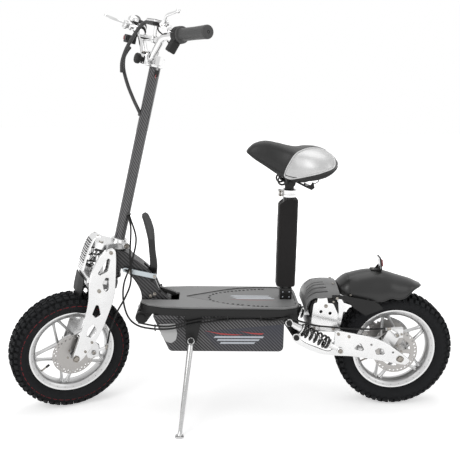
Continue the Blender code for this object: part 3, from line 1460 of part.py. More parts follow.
def leg_cuts():
    """Windows in a fork plate: triangle, small slot, trapezoid and the slot above the axle."""
    upper = [
        [(-0.049, -0.034), (-0.069, -0.073), (-0.060, -0.081), (-0.041, -0.068)],
        [(-0.045, -0.112), (-0.034, -0.134), (-0.027, -0.130), (-0.031, -0.111)],
        [(-0.055, -0.178), (-0.062, -0.208), (-0.054, -0.227), (-0.034, -0.216)],
    ]
    cuts = [rounded([(x, z + LEG_TOP) for x, z in loop], 0.0025, 1) for loop in upper]
    slot = [(0.0325, 0.118), (0.0175, 0.097), (0.0175, 0.075), (0.0315, 0.071), (0.0455, 0.094)]
    cuts.append(rounded([(x - FORK_OFFSET, z + AXLE_ALONG) for x, z in slot], 0.004, 1))
    cuts.append(circle(-FORK_OFFSET, AXLE_ALONG, AXLE_RADIUS + GAP, 10))
    return cuts


def fork_leg(name, side, finishes, slide):
    """One polished fork plate, its outer edges bevelled."""
    inner, outer = side * LEG_INNER_Y, side * LEG_OUTER_Y
    plate = prism([leg_outline(), *leg_cuts()], min(inner, outer), max(inner, outer))
    return finish(plate, name, finishes["aluminium"], slide)


def fork_bridge(finishes, slide):
    """Casting between the plates that slides on the crown's rods."""
    low, high = LOWER_CROWN_TOP, LOWER_CROWN_TOP + BRIDGE_SLEEVE_HEIGHT
    reach = LEG_INNER_Y - GAP
    bar = prism(
        [
            rounded(
                [
                    (ROD_X - 0.0275, -reach),
                    (ROD_X + 0.014, -reach),
                    (ROD_X + 0.014, reach),
                    (ROD_X - 0.0275, reach),
                ],
                0.003,
                1,
            )
        ],
        low,
        high - 0.006,
        "z",
    )
    rear_bar = block((ROD_X + 0.010, -reach, low), (ROD_X + 0.036, -0.030, high - 0.010))
    rear_bar2 = block((ROD_X + 0.010, 0.030, low), (ROD_X + 0.036, reach, high - 0.010))
    sleeves = [prism([circle(ROD_X, y, BRIDGE_SLEEVE_RADIUS, 12)], low, high, "z") for y in (-ROD_Y, ROD_Y)]
    bores = [
        prism([circle(ROD_X, y, ROD_RADIUS + RUNNING, 10)], low - 0.01, high + 0.01, "z")
        for y in (-ROD_Y, ROD_Y)
    ]
    body = weld(bar, rear_bar, rear_bar2, *sleeves)
    return finish(cut(body, *bores), "fork_bridge", finishes["cast"], slide)


def fork_spring(name, side, finishes, steering):
    """One of the two coils between the bridge and the upper crown."""
    low = LOWER_CROWN_TOP + BRIDGE_SLEEVE_HEIGHT
    return spring(
        name,
        (ROD_X, side * ROD_Y, low),
        (ROD_X, side * ROD_Y, UPPER_CROWN_BOTTOM),
        FORK_SPRING_RADIUS,
        FORK_SPRING_WIRE,
        FORK_SPRING_TURNS,
        finishes["spring"],
        steering,
    )


def front_cover(finishes, steering):
    """Louvred shield in front of the springs, bent over the crown."""
    path = [
        (ROD_X - 0.002, 0.5485),
        (ROD_X - 0.012, 0.5475),
        (ROD_X - 0.0205, 0.5400),
        (ROD_X - 0.0260, 0.5270),
        (ROD_X - 0.0285, 0.5210),
        (ROD_X - 0.0305, 0.5090),
        (ROD_X - 0.0320, 0.5020),
        (ROD_X - 0.0335, 0.4910),
        (ROD_X - 0.0345, 0.4840),
        (ROD_X - 0.0355, 0.4730),
        (ROD_X - 0.0360, 0.4660),
        (ROD_X - 0.0368, 0.4550),
        (ROD_X - 0.0375, 0.4380),
    ]
    widths = [-0.0245, -0.0190, 0.0190, 0.0245]
    drops = [0.0040, 0.0, 0.0, 0.0040]
    rows = []
    for i, (x, z) in enumerate(path):
        after = Vector(path[min(i + 1, len(path) - 1)]) - Vector(path[max(i - 1, 0)])
        inward = Vector((-after.y, after.x)).normalized()
        inward = inward if inward.x > 0 or (abs(inward.x) < 0.3 and inward.y < 0) else -inward
        rows.append(
            [(x + inward.x * d, y, z + inward.y * d) for y, d in zip(widths, drops)]
        )
    louvres = {(row, 1) for row in (4, 6, 8, 10)}
    obj = shell(rows, 0.0018, louvres)
    return finish(obj, "front_cover", finishes["aluminium"], steering)


def front_mudguard(finishes, slide):
    """Short curved guard over the front tyre, hung on the bridge."""
    x = ROD_X - 0.0275 - GAP
    rows = []
    for z in (0.4175, 0.3950, 0.3720, 0.3580):
        across = (-0.046, -0.024, 0.0, 0.024, 0.046)
        rows.append([(x - 0.0050 + 0.1 * abs(y) ** 1.25, y, z) for y in across])
    obj = shell(rows, 0.0025)
    tab = block((x - 0.0060, -0.012, 0.4125), (x, 0.012, 0.4170))
    return finish(weld(obj, tab), "front_mudguard", finishes["black_plastic"], slide)


def caliper_shape(axle, out, disc_radius, cable_end, cable_way):
    """A disc caliper: a hoop over the disc's rim, and the arm whose tip stops the cable."""
    out = Vector(out).normalized()
    along = Vector((-out.z, 0, out.x))
    outer = -DISC_Y - DISC_THICKNESS / 2 - 0.0012
    inner = -DISC_Y + DISC_THICKNESS / 2 + 0.0012
    seat = 0.010
    section = [
        (outer - 0.013, -0.012),
        (outer, -0.012),
        (outer, seat),
        (inner, seat),
        (inner, -0.008),
        (inner + 0.005, -0.008),
        (inner + 0.005, seat + 0.007),
        (outer - 0.008, seat + 0.012),
        (outer - 0.013, seat + 0.007),
    ]
    hoop = prism([section], -0.021, 0.021, "x")
    middle = Vector(axle) + out * (disc_radius - 0.008)
    frame = Matrix((along, (0, 1, 0), out)).transposed().to_4x4()
    hoop.data.transform(Matrix.Translation(middle) @ frame)
    face = Vector((0, outer - 0.013, 0))
    cap = rod(middle + face + Vector((0, 0.002, 0)), middle + face - Vector((0, 0.006, 0)), 0.011, 12)
    stop = rod(cable_end, cable_end + cable_way * 0.012, CABLE_RADIUS + 0.0018, 8)
    start = middle + face - Vector((0, 0.003, 0))
    arm = sweep([start, cable_end + cable_way * 0.006], [0.0058, 0.0036], 6)
    return [hoop, cap, arm, stop]


def front_caliper(finishes, slide):
    """Front brake caliper behind the left plate, on a bracket bolted to it."""
    axle = Vector((-FORK_OFFSET, 0, AXLE_ALONG))
    pieces = caliper_shape(axle, (1.0, 0, 0.30), FRONT_DISC_RADIUS, FRONT_CABLE_END, FRONT_CABLE_WAY)
    bracket = prism(
        [[(-0.064, 0.205), (-0.043, 0.170), (-0.010, 0.180), (-0.018, 0.215), (-0.045, 0.236)]],
        -LEG_INNER_Y + GAP,
        -LEG_INNER_Y + 0.0055,
    )
    return finish(weld(*pieces, bracket), "front_caliper", finishes["cast"], slide)


# Rear end


def arm_point(x, z, share):
    """A place on the arm: share 0 stays with the pivot, share 1 moves with the axle."""
    base_x, base_z = PIVOT_X + 0.321, 0.184
    return (x + share * (REAR_AXLE_X - base_x), z + share * (TYRE_RADIUS - base_z))


def arm_outline():
    """Side outline of a swing arm plate, open in front where the shock lies."""
    points = [
        (0.1800, 0.2440, 0),
        (0.1900, 0.2330, 0),
        (0.2120, 0.2205, 0),
        (0.2400, 0.2080, 0.15),
        (0.2760, 0.1970, 0.25),
        (0.3660, 0.1915, 0.6),
        (0.4390, 0.1800, 0.8),
        (0.5170, 0.1660, 1),
        (0.5310, 0.1670, 1),
        (0.5410, 0.1780, 1),
        (0.5050, 0.2080, 1),
        (0.4620, 0.2370, 0.85),
        (0.4160, 0.2550, 0.7),
        (0.3260, 0.2735, 0.4),
        (0.3130, 0.2745, 0.35),
        (0.3060, 0.2620, 0.35),
        (0.3060, 0.2320, 0.35),
        (0.3000, 0.2130, 0.3),
        (0.2840, 0.2090, 0.25),
        (0.2220, 0.2330, 0),
        (0.2030, 0.2470, 0),
        (0.2010, 0.2580, 0),
        (0.1900, 0.2645, 0),
        (0.1790, 0.2580, 0),
    ]
    return [arm_point(*p) for p in points]


def arm_cuts():
    """Openings in a swing arm plate: small triangle, hexagon, axle slot and pivot bore."""
    corners = ((0.364, 0.216), (0.402, 0.209), (0.386, 0.236))
    triangle = rounded([arm_point(*corner, 0.6) for corner in corners], 0.003, 1)
    corners = ((0.438, 0.198), (0.463, 0.199), (0.457, 0.216), (0.443, 0.219), (0.432, 0.212))
    hexagon = [arm_point(*corner, 0.8) for corner in corners]
    axle = circle(REAR_AXLE_X, TYRE_RADIUS, AXLE_RADIUS + GAP, 10)
    pivot = circle(PIVOT_X, PIVOT_Z, PIVOT_PIN_RADIUS + RUNNING, 10)
    return [triangle, hexagon, axle, pivot]


def swing_arm(finishes, pivot):
    """Both side plates, the motor's base plate and side bracket, and the fender stay."""
    plates = []
    for side in (-1, 1):
        inner, outer = side * ARM_INNER_Y, side * ARM_OUTER_Y
        plates.append(prism([arm_outline(), *arm_cuts()], min(inner, outer), max(inner, outer)))
    base_low, base_high = BASE_PLATE_LOW, BASE_PLATE_TOP
    narrow = SHOCK_Y - SHOCK_SPRING_RADIUS - SHOCK_SPRING_WIRE - 0.003
    wide = ARM_INNER_Y + 0.001
    base = prism(
        [
            [
                (0.228, -narrow),
                (0.308, -narrow),
                (0.308, -wide),
                (0.327, -wide),
                (0.327, wide),
                (0.308, wide),
                (0.308, narrow),
                (0.228, narrow),
            ]
        ],
        base_low,
        base_high,
        "z",
    )
    stay = prism(
        [
            [
                (-0.036, base_low),
                (0.036, base_low),
                (0.030, FENDER_UNDER - 0.010),
                (-0.030, FENDER_UNDER - 0.010),
            ]
        ],
        0.3290,
        0.3330,
        "x",
    )
    foot = block((0.3200, -0.036, base_low), (0.3330, 0.036, base_high))
    stay_top = prism(
        [
            [
                (0.3290, FENDER_UNDER - 0.012),
                (0.3330, FENDER_UNDER - 0.012),
                (0.3490, FENDER_UNDER + 0.0050),
                (0.3490, FENDER_UNDER + 0.0090),
                (0.3290, FENDER_UNDER),
            ]
        ],
        -0.010,
        0.010,
    )
    chain_room = block(
        (0.298, CHAIN_Y - CHAIN_WIDTH, base_low - 0.01), (0.340, CHAIN_Y + CHAIN_WIDTH, base_high + 0.01)
    )
    base = cut(base, chain_room)
    bodies = [plates[1], base, motor_bracket(-1), motor_bracket(1), stay, foot, stay_top]
    for side in (-1, 1):
        bodies.append(shock_boss(side))
    return finish(weld(plates[0], *bodies), "swing_arm", finishes["aluminium"], pivot, world=True)


def motor_bracket(side):
    """Upright beside the motor with a tab that carries the hood; the left one shows its two holes."""
    outline = rounded(
        [
            (0.234, BASE_PLATE_LOW),
            (0.318, BASE_PLATE_LOW),
            (0.318, 0.318),
            (0.302, 0.352),
            (0.286, 0.353),
            (0.282, COVER_SEAT),
            (0.254, COVER_SEAT),
            (0.252, 0.354),
            (0.242, 0.354),
        ],
        [0, 0, 0.004, 0.006, 0, 0.002, 0.002, 0, 0.004],
        1,
    )
    holes = [circle(0.2655, 0.325, 0.0045, 8), circle(0.2935, 0.320, 0.0045, 8)] if side < 0 else []
    inner, outer = side * BRACKET_INNER_Y, side * BRACKET_OUTER_Y
    return prism([outline, *holes], min(inner, outer), max(inner, outer))


def shock_boss(side):
    """The stud on the arm that the shock's lower eye turns on."""
    x, z = SHOCK_TAIL.x, SHOCK_TAIL.z
    outer = SHOCK_Y + SHOCK_EYE_HALF_WIDTH + 0.004
    return rod((x, side * (ARM_INNER_Y + 0.002), z), (x, side * outer, z), SHOCK_PIN_RADIUS, 10)


def motor(finishes, pivot):
    """Brushed motor on the base plate, its shaft end bearing housing on the right."""
    half = MOTOR_HALF_LENGTH
    centre = (MOTOR_X, MOTOR_Y, MOTOR_Z)
    body = turned(
        [
            (0.0, -half - 0.004),
            (0.014, -half - 0.004),
            (0.014, -half),
            (MOTOR_RADIUS - 0.004, -half),
            (MOTOR_RADIUS, -half + 0.006),
            (MOTOR_RADIUS - 0.0015, -half + 0.014),
            (MOTOR_RADIUS - 0.0015, half - 0.014),
            (MOTOR_RADIUS, half - 0.006),
            (MOTOR_RADIUS - 0.004, half),
            (MOTOR_SHAFT_RADIUS + RUNNING, half),
            (MOTOR_SHAFT_RADIUS + RUNNING, half - 0.010),
            (0.0, half - 0.010),
        ],
        20,
        closed=False,
        centre=centre,
    )
    foot = block(
        (MOTOR_X - 0.030, -0.050, 0.2700 + GAP), (MOTOR_X + 0.030, 0.026, MOTOR_Z - MOTOR_RADIUS + 0.012)
    )
    return finish(weld(body, foot), "motor", finishes["black_paint"], pivot, world=True)


def tooth_wheel(teeth, bore, low, high, centre=(0.0, 0.0)):
    """A flat chain wheel; its tooth tips stay just inside the chain's side plates."""
    pitch_radius = CHAIN_PITCH / (2 * math.sin(math.pi / teeth))
    outline = []
    for i in range(teeth):
        for share, reach in ((-0.34, -0.0026), (0.0, 0.0018)):
            angle = math.tau * (i + share) / teeth
            outline.append(
                (
                    centre[0] + (pitch_radius + reach) * math.cos(angle),
                    centre[1] + (pitch_radius + reach) * math.sin(angle),
                )
            )
    return prism([outline, circle(centre[0], centre[1], bore, 10)], low, high)


def rear_sprocket(finishes, axis):
    """Large chain wheel on the hub's right face, on a spacer ring out to the chain line."""
    wheel = tooth_wheel(SPROCKET_TEETH, SPACER_RADIUS + 0.002, CHAIN_Y - 0.0012, CHAIN_Y + 0.0012)
    ring = turned(
        [
            (SPACER_RADIUS + 0.002, HUB_HALF_WIDTH + GAP),
            (HUB_RADIUS, HUB_HALF_WIDTH + GAP),
            (HUB_RADIUS, CHAIN_Y),
            (SPACER_RADIUS + 0.002, CHAIN_Y),
        ],
        14,
    )
    return finish(weld(wheel, ring), "rear_sprocket", finishes["steel"], axis)


def motor_pinion(finishes, axis):
    """Small chain wheel on the motor's shaft."""
    wheel = tooth_wheel(
        PINION_TEETH, 0.0030, CHAIN_Y - 0.0012, CHAIN_Y + 0.0012, (MOTOR_X, MOTOR_Z)
    )
    shaft_start = MOTOR_Y + MOTOR_HALF_LENGTH - 0.010 + GAP
    shaft_end = CHAIN_Y + 0.005
    shaft = rod((MOTOR_X, shaft_start, MOTOR_Z), (MOTOR_X, shaft_end, MOTOR_Z), MOTOR_SHAFT_RADIUS, 12)
    return finish(weld(wheel, shaft), "motor_pinion", finishes["steel"], axis, world=True)


def chain(finishes, pivot):
    """Drive chain as a closed channel round both wheels, its sides beside the teeth."""
    big = CHAIN_PITCH / (2 * math.sin(math.pi / SPROCKET_TEETH))
    small = CHAIN_PITCH / (2 * math.sin(math.pi / PINION_TEETH))
    front, rear = Vector((MOTOR_X, MOTOR_Z)), Vector((REAR_AXLE_X, TYRE_RADIUS))

    def loop(reach):
        """The belt line round both wheels, a distance outside their pitch circles."""
        span = rear - front
        heading = math.atan2(span.y, span.x)
        lean = math.acos((small - big) / span.length)
        points = []
        for k in range(6):
            angle = heading + lean + (math.tau - 2 * lean) * k / 5
            points.append(front + Vector((math.cos(angle), math.sin(angle))) * (small + reach))
        for k in range(17):
            angle = heading - lean + 2 * lean * k / 16
            points.append(rear + Vector((math.cos(angle), math.sin(angle))) * (big + reach))
        return [tuple(p) for p in points]

    low, high = CHAIN_Y - CHAIN_WIDTH / 2, CHAIN_Y + CHAIN_WIDTH / 2
    band = prism([loop(0.0046), loop(-0.0036)], low, high)
    channel = prism([loop(0.0030), loop(-0.0060)], CHAIN_Y - 0.0020, CHAIN_Y + 0.0020)
    return finish(cut(band, channel), "chain", finishes["steel"], pivot, world=True)


def motor_cover(finishes, pivot):
    """Louvred hood over the motor, arched across and rolled down in front."""
    top = [
        (0.2120, 0.3400),
        (0.2150, 0.3660),
        (0.2260, 0.3850),
        (0.2420, 0.3980),
        (0.2500, 0.4010),
        (0.2860, 0.4045),
        (0.2960, 0.4040),
        (0.3170, 0.4020),
    ]
    shares = [-1.0, -0.90, -0.62, -0.46, -0.30, -0.14, 0.14, 0.30, 0.46, 0.62, 0.90, 1.0]
    rows = []
    for i, (x, z) in enumerate(top):
        drop = 0.012 + 0.020 * min(i, 4) / 4
        half = 0.074 + 0.006 * min(i, 4) / 4
        rows.append([(x + 0.006 * abs(s) ** 3, half * s, z - drop * abs(s) ** 2.6) for s in shares])
    louvres = {(row, column) for row in (2, 5) for column in (2, 4, 6, 8)}
    obj = shell(rows, 0.0025, louvres)
    return finish(obj, "motor_cover", finishes["black_plastic"], pivot, world=True)


def rear_fender(finishes, pivot):
    """Bulbous mudguard over the rear wheel, with a side wing that meets the motor hood."""
    stations = [
        (0.3200, 0.4060, 0.4035, 0.0350),
        (0.3300, 0.4150, 0.3900, 0.0480),
        (0.3600, 0.4290, 0.3720, 0.0600),
        (0.4100, FENDER_TOP, 0.3570, 0.0660),
        (0.4520, FENDER_TOP - 0.0005, 0.3560, 0.0655),
        (0.4800, 0.4320, 0.3660, 0.0640),
        (0.5060, 0.4240, 0.3620, 0.0610),
        (0.5300, 0.4170, 0.3680, 0.0550),
        (0.5550, 0.4090, 0.3880, 0.0450),
        (0.5840, 0.3960, 0.3945, 0.0200),
    ]
    angles = [-90, -70, -46, -22, 0, 22, 46, 70, 90]
    rows = []
    for x, top, low, half in stations:
        rows.append(
            [
                (
                    x,
                    half * math.sin(math.radians(a)),
                    low + (top - low) * math.cos(math.radians(a)) ** 0.8 if abs(a) < 90 else low,
                )
                for a in angles
            ]
        )
    obj = shell(rows, 0.0030)
    return finish(obj, "rear_fender", finishes["black_plastic"], pivot, world=True)


def tail_reflector(finishes, pivot):
    """Reflector on a leaning bracket on the fender."""
    foot = block((0.4250, -0.014, FENDER_TOP + GAP), (0.4620, 0.014, FENDER_TOP + 0.004))
    plate = prism(
        [[(0.4560, 0.4400), (0.4590, 0.4400), (0.4520, 0.4830), (0.4490, 0.4830)]], -0.020, 0.020
    )
    lens = prism(
        [rounded([(0.4545, 0.4500), (0.4660, 0.4500), (0.4620, 0.4730), (0.4505, 0.4730)], 0.003, 1)],
        -0.017,
        0.017,
    )
    return finish(weld(foot, plate, lens), "tail_reflector", finishes["black_plastic"], pivot, world=True)


def rear_caliper(finishes, pivot):
    """Rear brake caliper above the axle, on a bracket from the left arm."""
    axle = Vector((REAR_AXLE_X, 0, TYRE_RADIUS))
    pieces = caliper_shape(axle, (-0.05, 0, 1.0), REAR_DISC_RADIUS, REAR_CABLE_END, REAR_CABLE_WAY)
    bracket = prism(
        [[(0.452, 0.206), (0.492, 0.190), (0.515, 0.236), (0.500, 0.262), (0.480, 0.262)]],
        -0.0620,
        -0.0570,
    )
    tab_outline = [(0.452, 0.206), (0.478, 0.196), (0.488, 0.220), (0.462, 0.232)]
    tab = prism([tab_outline], -ARM_INNER_Y + GAP, -0.0570)
    return finish(weld(*pieces, bracket, tab), "rear_caliper", finishes["cast"], pivot, world=True)


def shock_direction():
    return (SHOCK_TAIL - SHOCK_EYE).normalized()


def shock_at(side, along):
    """A point on one shock's axis, a distance from its front eye."""
    base = Vector((SHOCK_EYE.x, side * SHOCK_Y, SHOCK_EYE.z))
    return base + shock_direction() * along


def shock_body(name, side, finishes, axis):
    """Front half of a shock: eye, spring seat and damper tube."""
    eye = rod(
        (SHOCK_EYE.x, side * SHOCK_Y - SHOCK_EYE_HALF_WIDTH, SHOCK_EYE.z),
        (SHOCK_EYE.x, side * SHOCK_Y + SHOCK_EYE_HALF_WIDTH, SHOCK_EYE.z),
        SHOCK_EYE_RADIUS,
        12,
    )
    neck_bar = sweep([shock_at(side, 0.006), shock_at(side, SHOCK_SEAT_FRONT)], [0.007, 0.010], 8)
    seat = sweep([shock_at(side, SHOCK_SEAT_FRONT - 0.004), shock_at(side, SHOCK_SEAT_FRONT)], 0.0165, 10)
    tube = sweep([shock_at(side, SHOCK_SEAT_FRONT - 0.002), shock_at(side, SHOCK_BODY_END)], 0.0100, 10)
    body = weld(eye, neck_bar, seat, tube)
    bore = rod(
        (SHOCK_EYE.x, side * SHOCK_Y - 0.02, SHOCK_EYE.z),
        (SHOCK_EYE.x, side * SHOCK_Y + 0.02, SHOCK_EYE.z),
        SHOCK_PIN_RADIUS + RUNNING,
        10,
    )
    socket = sweep([shock_at(side, 0.060), shock_at(side, SHOCK_BODY_END + 0.01)], 0.0045 + RUNNING, 8)
    return finish(cut(body, bore, socket), name, finishes["aluminium"], axis, world=True)


def shock_rod(name, side, finishes, axis):
    """Rear half of a shock: damper rod, spring seat and the eye on the arm."""
    total = (SHOCK_TAIL - SHOCK_EYE).length
    stem = sweep([shock_at(side, 0.075), shock_at(side, total - 0.008)], 0.0045, 8)
    seat = sweep([shock_at(side, SHOCK_SEAT_REAR), shock_at(side, SHOCK_SEAT_REAR + 0.004)], 0.0165, 10)
    heel = sweep([shock_at(side, SHOCK_SEAT_REAR + 0.002), shock_at(side, total - 0.006)], [0.010, 0.007], 8)
    eye_inner = ARM_OUTER_Y + GAP
    eye_outer = SHOCK_Y + SHOCK_EYE_HALF_WIDTH + 0.003
    eye = rod(
        (SHOCK_TAIL.x, side * eye_inner, SHOCK_TAIL.z),
        (SHOCK_TAIL.x, side * eye_outer, SHOCK_TAIL.z),
        SHOCK_EYE_RADIUS - 0.001,
        12,
    )
    body = weld(stem, seat, heel, eye)
    inner_relief = block(
        (SHOCK_TAIL.x - 0.03, min(side * 0.05, side * eye_inner), SHOCK_TAIL.z - 0.03),
        (SHOCK_TAIL.x + 0.03, max(side * 0.05, side * eye_inner), SHOCK_TAIL.z + 0.03),
    )
    bore = rod(
        (SHOCK_TAIL.x, side * 0.05, SHOCK_TAIL.z),
        (SHOCK_TAIL.x, side * 0.15, SHOCK_TAIL.z),
        SHOCK_PIN_RADIUS + PIN_PLAY,
        10,
    )
    return finish(cut(body, inner_relief, bore), name, finishes["chrome"], axis, world=True)


def shock_spring(name, side, finishes, pivot):
    obj = spring(
        name,
        shock_at(side, SHOCK_SEAT_FRONT),
        shock_at(side, SHOCK_SEAT_REAR),
        SHOCK_SPRING_RADIUS,
        SHOCK_SPRING_WIRE,
        SHOCK_SPRING_TURNS,
        finishes["spring"],
    )
    return place(obj, pivot, world=True)


# Kickstand, seat and saddle


def kickstand(finishes, axis_empty):
    """Side stand: an eye on the bracket's stud, a tapered leg and a flat foot."""
    axis = stand_axis()
    leg = (STAND_FOOT - STAND_PIVOT).normalized()
    eye = rod(STAND_PIVOT - axis * 0.0075, STAND_PIVOT + axis * 0.0080, STAND_EYE_RADIUS, 12)
    length = (STAND_FOOT - STAND_PIVOT).length
    points = [STAND_PIVOT + leg * share * length for share in (0.02, 0.30, 0.75, 0.955)]
    blade = sweep(points, [0.0085, 0.0070, 0.0060, 0.0055], 8)
    foot_centre = STAND_FOOT + Vector((0, 0, 0.0035))
    foot = prism(
        [
            rounded(
                [
                    (foot_centre.x - 0.024, foot_centre.y - 0.010),
                    (foot_centre.x + 0.024, foot_centre.y - 0.010),
                    (foot_centre.x + 0.018, foot_centre.y + 0.011),
                    (foot_centre.x - 0.018, foot_centre.y + 0.011),
                ],
                0.006,
                2,
            )
        ],
        0.0,
        0.006,
        "z",
    )
    ankle = sweep([points[-1], STAND_FOOT + Vector((0, 0, 0.003))], [0.0055, 0.0075], 8)
    below = block((-0.3, -0.5, -0.05), (0.1, -0.1, 0.0))
    body = cut(weld(blade, eye, ankle, foot), below)
    bore = rod(STAND_PIVOT - axis * 0.02, STAND_PIVOT + axis * 0.02, STAND_STUD_RADIUS + RUNNING, 12)
    return finish(cut(body, bore), "kickstand", finishes["chrome"], axis_empty, world=True)


def seat_post(finishes, slide):
    """Sliding post with the saddle's clamp and rails on top."""
    radius = SEAT_TUBE_RADIUS - SEAT_TUBE_WALL - RUNNING
    foot = SEAT_TUBE_TOP - POST_INSERTION
    post = prism([circle(SEAT_X, 0, radius, 14)], foot, SADDLE_CLAMP_HEIGHT - 0.006, "z")
    clamp = rod((SEAT_X, -0.020, SADDLE_CLAMP_HEIGHT), (SEAT_X, 0.020, SADDLE_CLAMP_HEIGHT), 0.0165, 12)
    rails = [saddle_rail(side, SADDLE_RAIL_RADIUS) for side in (-1, 1)]
    return finish(weld(post, clamp, *rails), "seat_post", finishes["black_paint"], slide, world=True)


def saddle_rail(side, radius):
    """One rail of the saddle, held in the post's clamp, both ends turned up into the seat's base."""
    mirror = Matrix.Diagonal((1, side, 1))
    route = [
        RAIL_FRONT,
        Vector((SEAT_X - 0.068, 0.0150, SADDLE_CLAMP_HEIGHT + 0.028)),
        Vector((SEAT_X - 0.040, 0.0165, SADDLE_CLAMP_HEIGHT + 0.005)),
        Vector((SEAT_X + 0.045, 0.0190, SADDLE_CLAMP_HEIGHT + 0.004)),
        RAIL_REAR,
    ]
    return sweep([mirror @ p for p in route], radius, 6, side=(0, 1, 0))


def saddle(finishes, slide):
    """Padded saddle: long nose, waisted middle and a broad, crowned rear.

    Its stations are (back from the post, top and underside above the clamp, half width).
    """
    stations = [
        (-0.1320, 0.091, 0.088, 0.010),
        (-0.1240, 0.102, 0.082, 0.020),
        (-0.1070, 0.115, 0.073, 0.028),
        (-0.0780, 0.122, 0.059, 0.034),
        (-0.0450, 0.118, 0.042, 0.041),
        (-0.0150, 0.111, 0.029, 0.054),
        (0.0130, 0.106, 0.024, 0.076),
        (0.0430, 0.107, 0.023, 0.096),
        (0.0730, 0.105, 0.026, 0.105),
        (0.1010, 0.097, 0.034, 0.101),
        (0.1230, 0.085, 0.046, 0.082),
        (0.1360, 0.069, 0.058, 0.045),
    ]
    section = [
        (0.00, 1.00), (0.30, 0.985), (0.60, 0.90), (0.85, 0.70), (1.00, 0.40), (0.97, 0.16), (0.80, 0.02),
        (0.40, 0.0), (0.0, 0.0),
    ]
    around = section + [(-y, z) for y, z in reversed(section[1:-1])]
    rings = []
    for x, top, low, half in stations:
        rings.append(
            [(SEAT_X + x, half * y, SADDLE_CLAMP_HEIGHT + low + (top - low) * z) for y, z in around]
        )
    body = loft(rings)
    dip = [(-0.013, 0.1115), (0.037, 0.1100), (0.087, 0.1050), (0.137, 0.0930)]
    groove = sweep(
        [(SEAT_X + x, 0, SADDLE_CLAMP_HEIGHT + z) for x, z in dip], [0.002, 0.005, 0.006, 0.006], 8
    )
    sockets = []
    for side in (-1, 1):
        rail = saddle_rail(side, SADDLE_RAIL_RADIUS + 1.3 * GAP)
        for face_end in (0, -1):
            stretch_end(rail, face_end, GAP)
        sockets.append(rail)
    return finish(cut(body, groove, *sockets), "saddle", finishes["vinyl"], slide, world=True)


def stretch_end(bar, end, more):
    """Moves one end ring of a swept bar outwards along the bar."""
    sides = 6
    points = [v.co for v in bar.data.vertices]
    rings = [points[i : i + sides] for i in range(0, len(points), sides)]
    ring, beside = (rings[0], rings[1]) if end == 0 else (rings[-1], rings[-2])
    middle = sum(ring, Vector()) / sides
    way = (middle - sum(beside, Vector()) / sides).normalized()
    for point in ring:
        point += way * more


# Cables, along their real routes


def cable_harnesses(finishes, steering):
    """Wrapped bundles from both sides of the bar, side by side into the column."""
    right = [
        (-0.054, 0.097, 1.1020),
        (-0.0620, 0.094, 1.088),
        (-0.070, 0.084, 1.068),
        (-0.071, 0.060, 1.036),
        (-0.059, 0.033, 0.997),
        (-0.041, 0.012, 0.962),
        *entry_run(),
    ]
    left = [
        (-0.055, DISPLAY_AT.y + DISPLAY_HALF_WIDTH + GAP, DISPLAY_AT.z),
        (-0.055, DISPLAY_AT.y + DISPLAY_HALF_WIDTH + 0.023, DISPLAY_AT.z),
        (-0.067, 0.002, 1.166),
        (-0.078, 0.020, 1.128),
        (-0.083, 0.040, 1.092),
        (-0.084, 0.050, 1.058),
        (-0.0805, 0.046, 1.030),
    ]
    for name, route in (("harness_right", right), ("harness_left", left)):
        cable(name, route, HARNESS_RADIUS, finishes["black_plastic"], steering, 2)


def front_brake_cable(finishes, steering):
    """From the column's rear, past the neck's left side, down to the front caliper."""
    route = [
        *exit_run(1),
        (0.0140, -0.0400, 0.5850),
        (0.0215, -0.0580, 0.5150),
        (0.0360, -0.0760, 0.4380),
        (0.0320, -0.0690, 0.3820),
        (0.020, -0.054, 0.320),
        (0.011, -0.055, 0.265),
        FRONT_CABLE_END - FRONT_CABLE_WAY * 0.014,
        FRONT_CABLE_END - FRONT_CABLE_WAY * GAP,
    ]
    return cable("front_brake_cable", route, CABLE_RADIUS, finishes["black_plastic"], steering)


def rear_brake_cable(finishes, steering):
    """From the column round the neck, along the box's left side and back to the rear caliper."""
    beside_box = -BOX_HALF_WIDTH
    route = [
        *(steering.matrix_world @ p for p in exit_run(-1)),
        (-0.2960, -0.0380, 0.5380),
        (-0.3080, -0.0560, 0.4720),
        (-0.3300, -0.0680, 0.4100),
        (-0.3320, -0.0800, 0.3600),
        (-0.3180, -0.0900, 0.3120),
        (-0.2880, beside_box - 0.0010, 0.2860),
        (-0.2400, beside_box - 0.0050, 0.2770),
        (-0.1900, beside_box - 0.0110, 0.2800),
        (-0.1440, beside_box - 0.0160, 0.2920),
        (-0.0880, beside_box - 0.0145, 0.3025),
        (-0.0200, beside_box - 0.0070, 0.3085),
        (0.0500, beside_box - 0.0040, 0.3105),
        (0.1100, beside_box - 0.0060, 0.3070),
        (0.1600, beside_box - 0.0170, 0.3180),
        (0.1980, -0.1240, 0.3120),
        (0.2430, -0.1200, 0.2980),
        (0.3000, -0.1080, 0.2880),
        (0.3520, -0.0980, 0.2800),
        (0.4330, -0.0800, 0.2720),
        REAR_CABLE_END - REAR_CABLE_WAY * 0.012,
        REAR_CABLE_END - REAR_CABLE_WAY * GAP,
    ]
    return cable("rear_brake_cable", route, CABLE_RADIUS, finishes["black_plastic"])


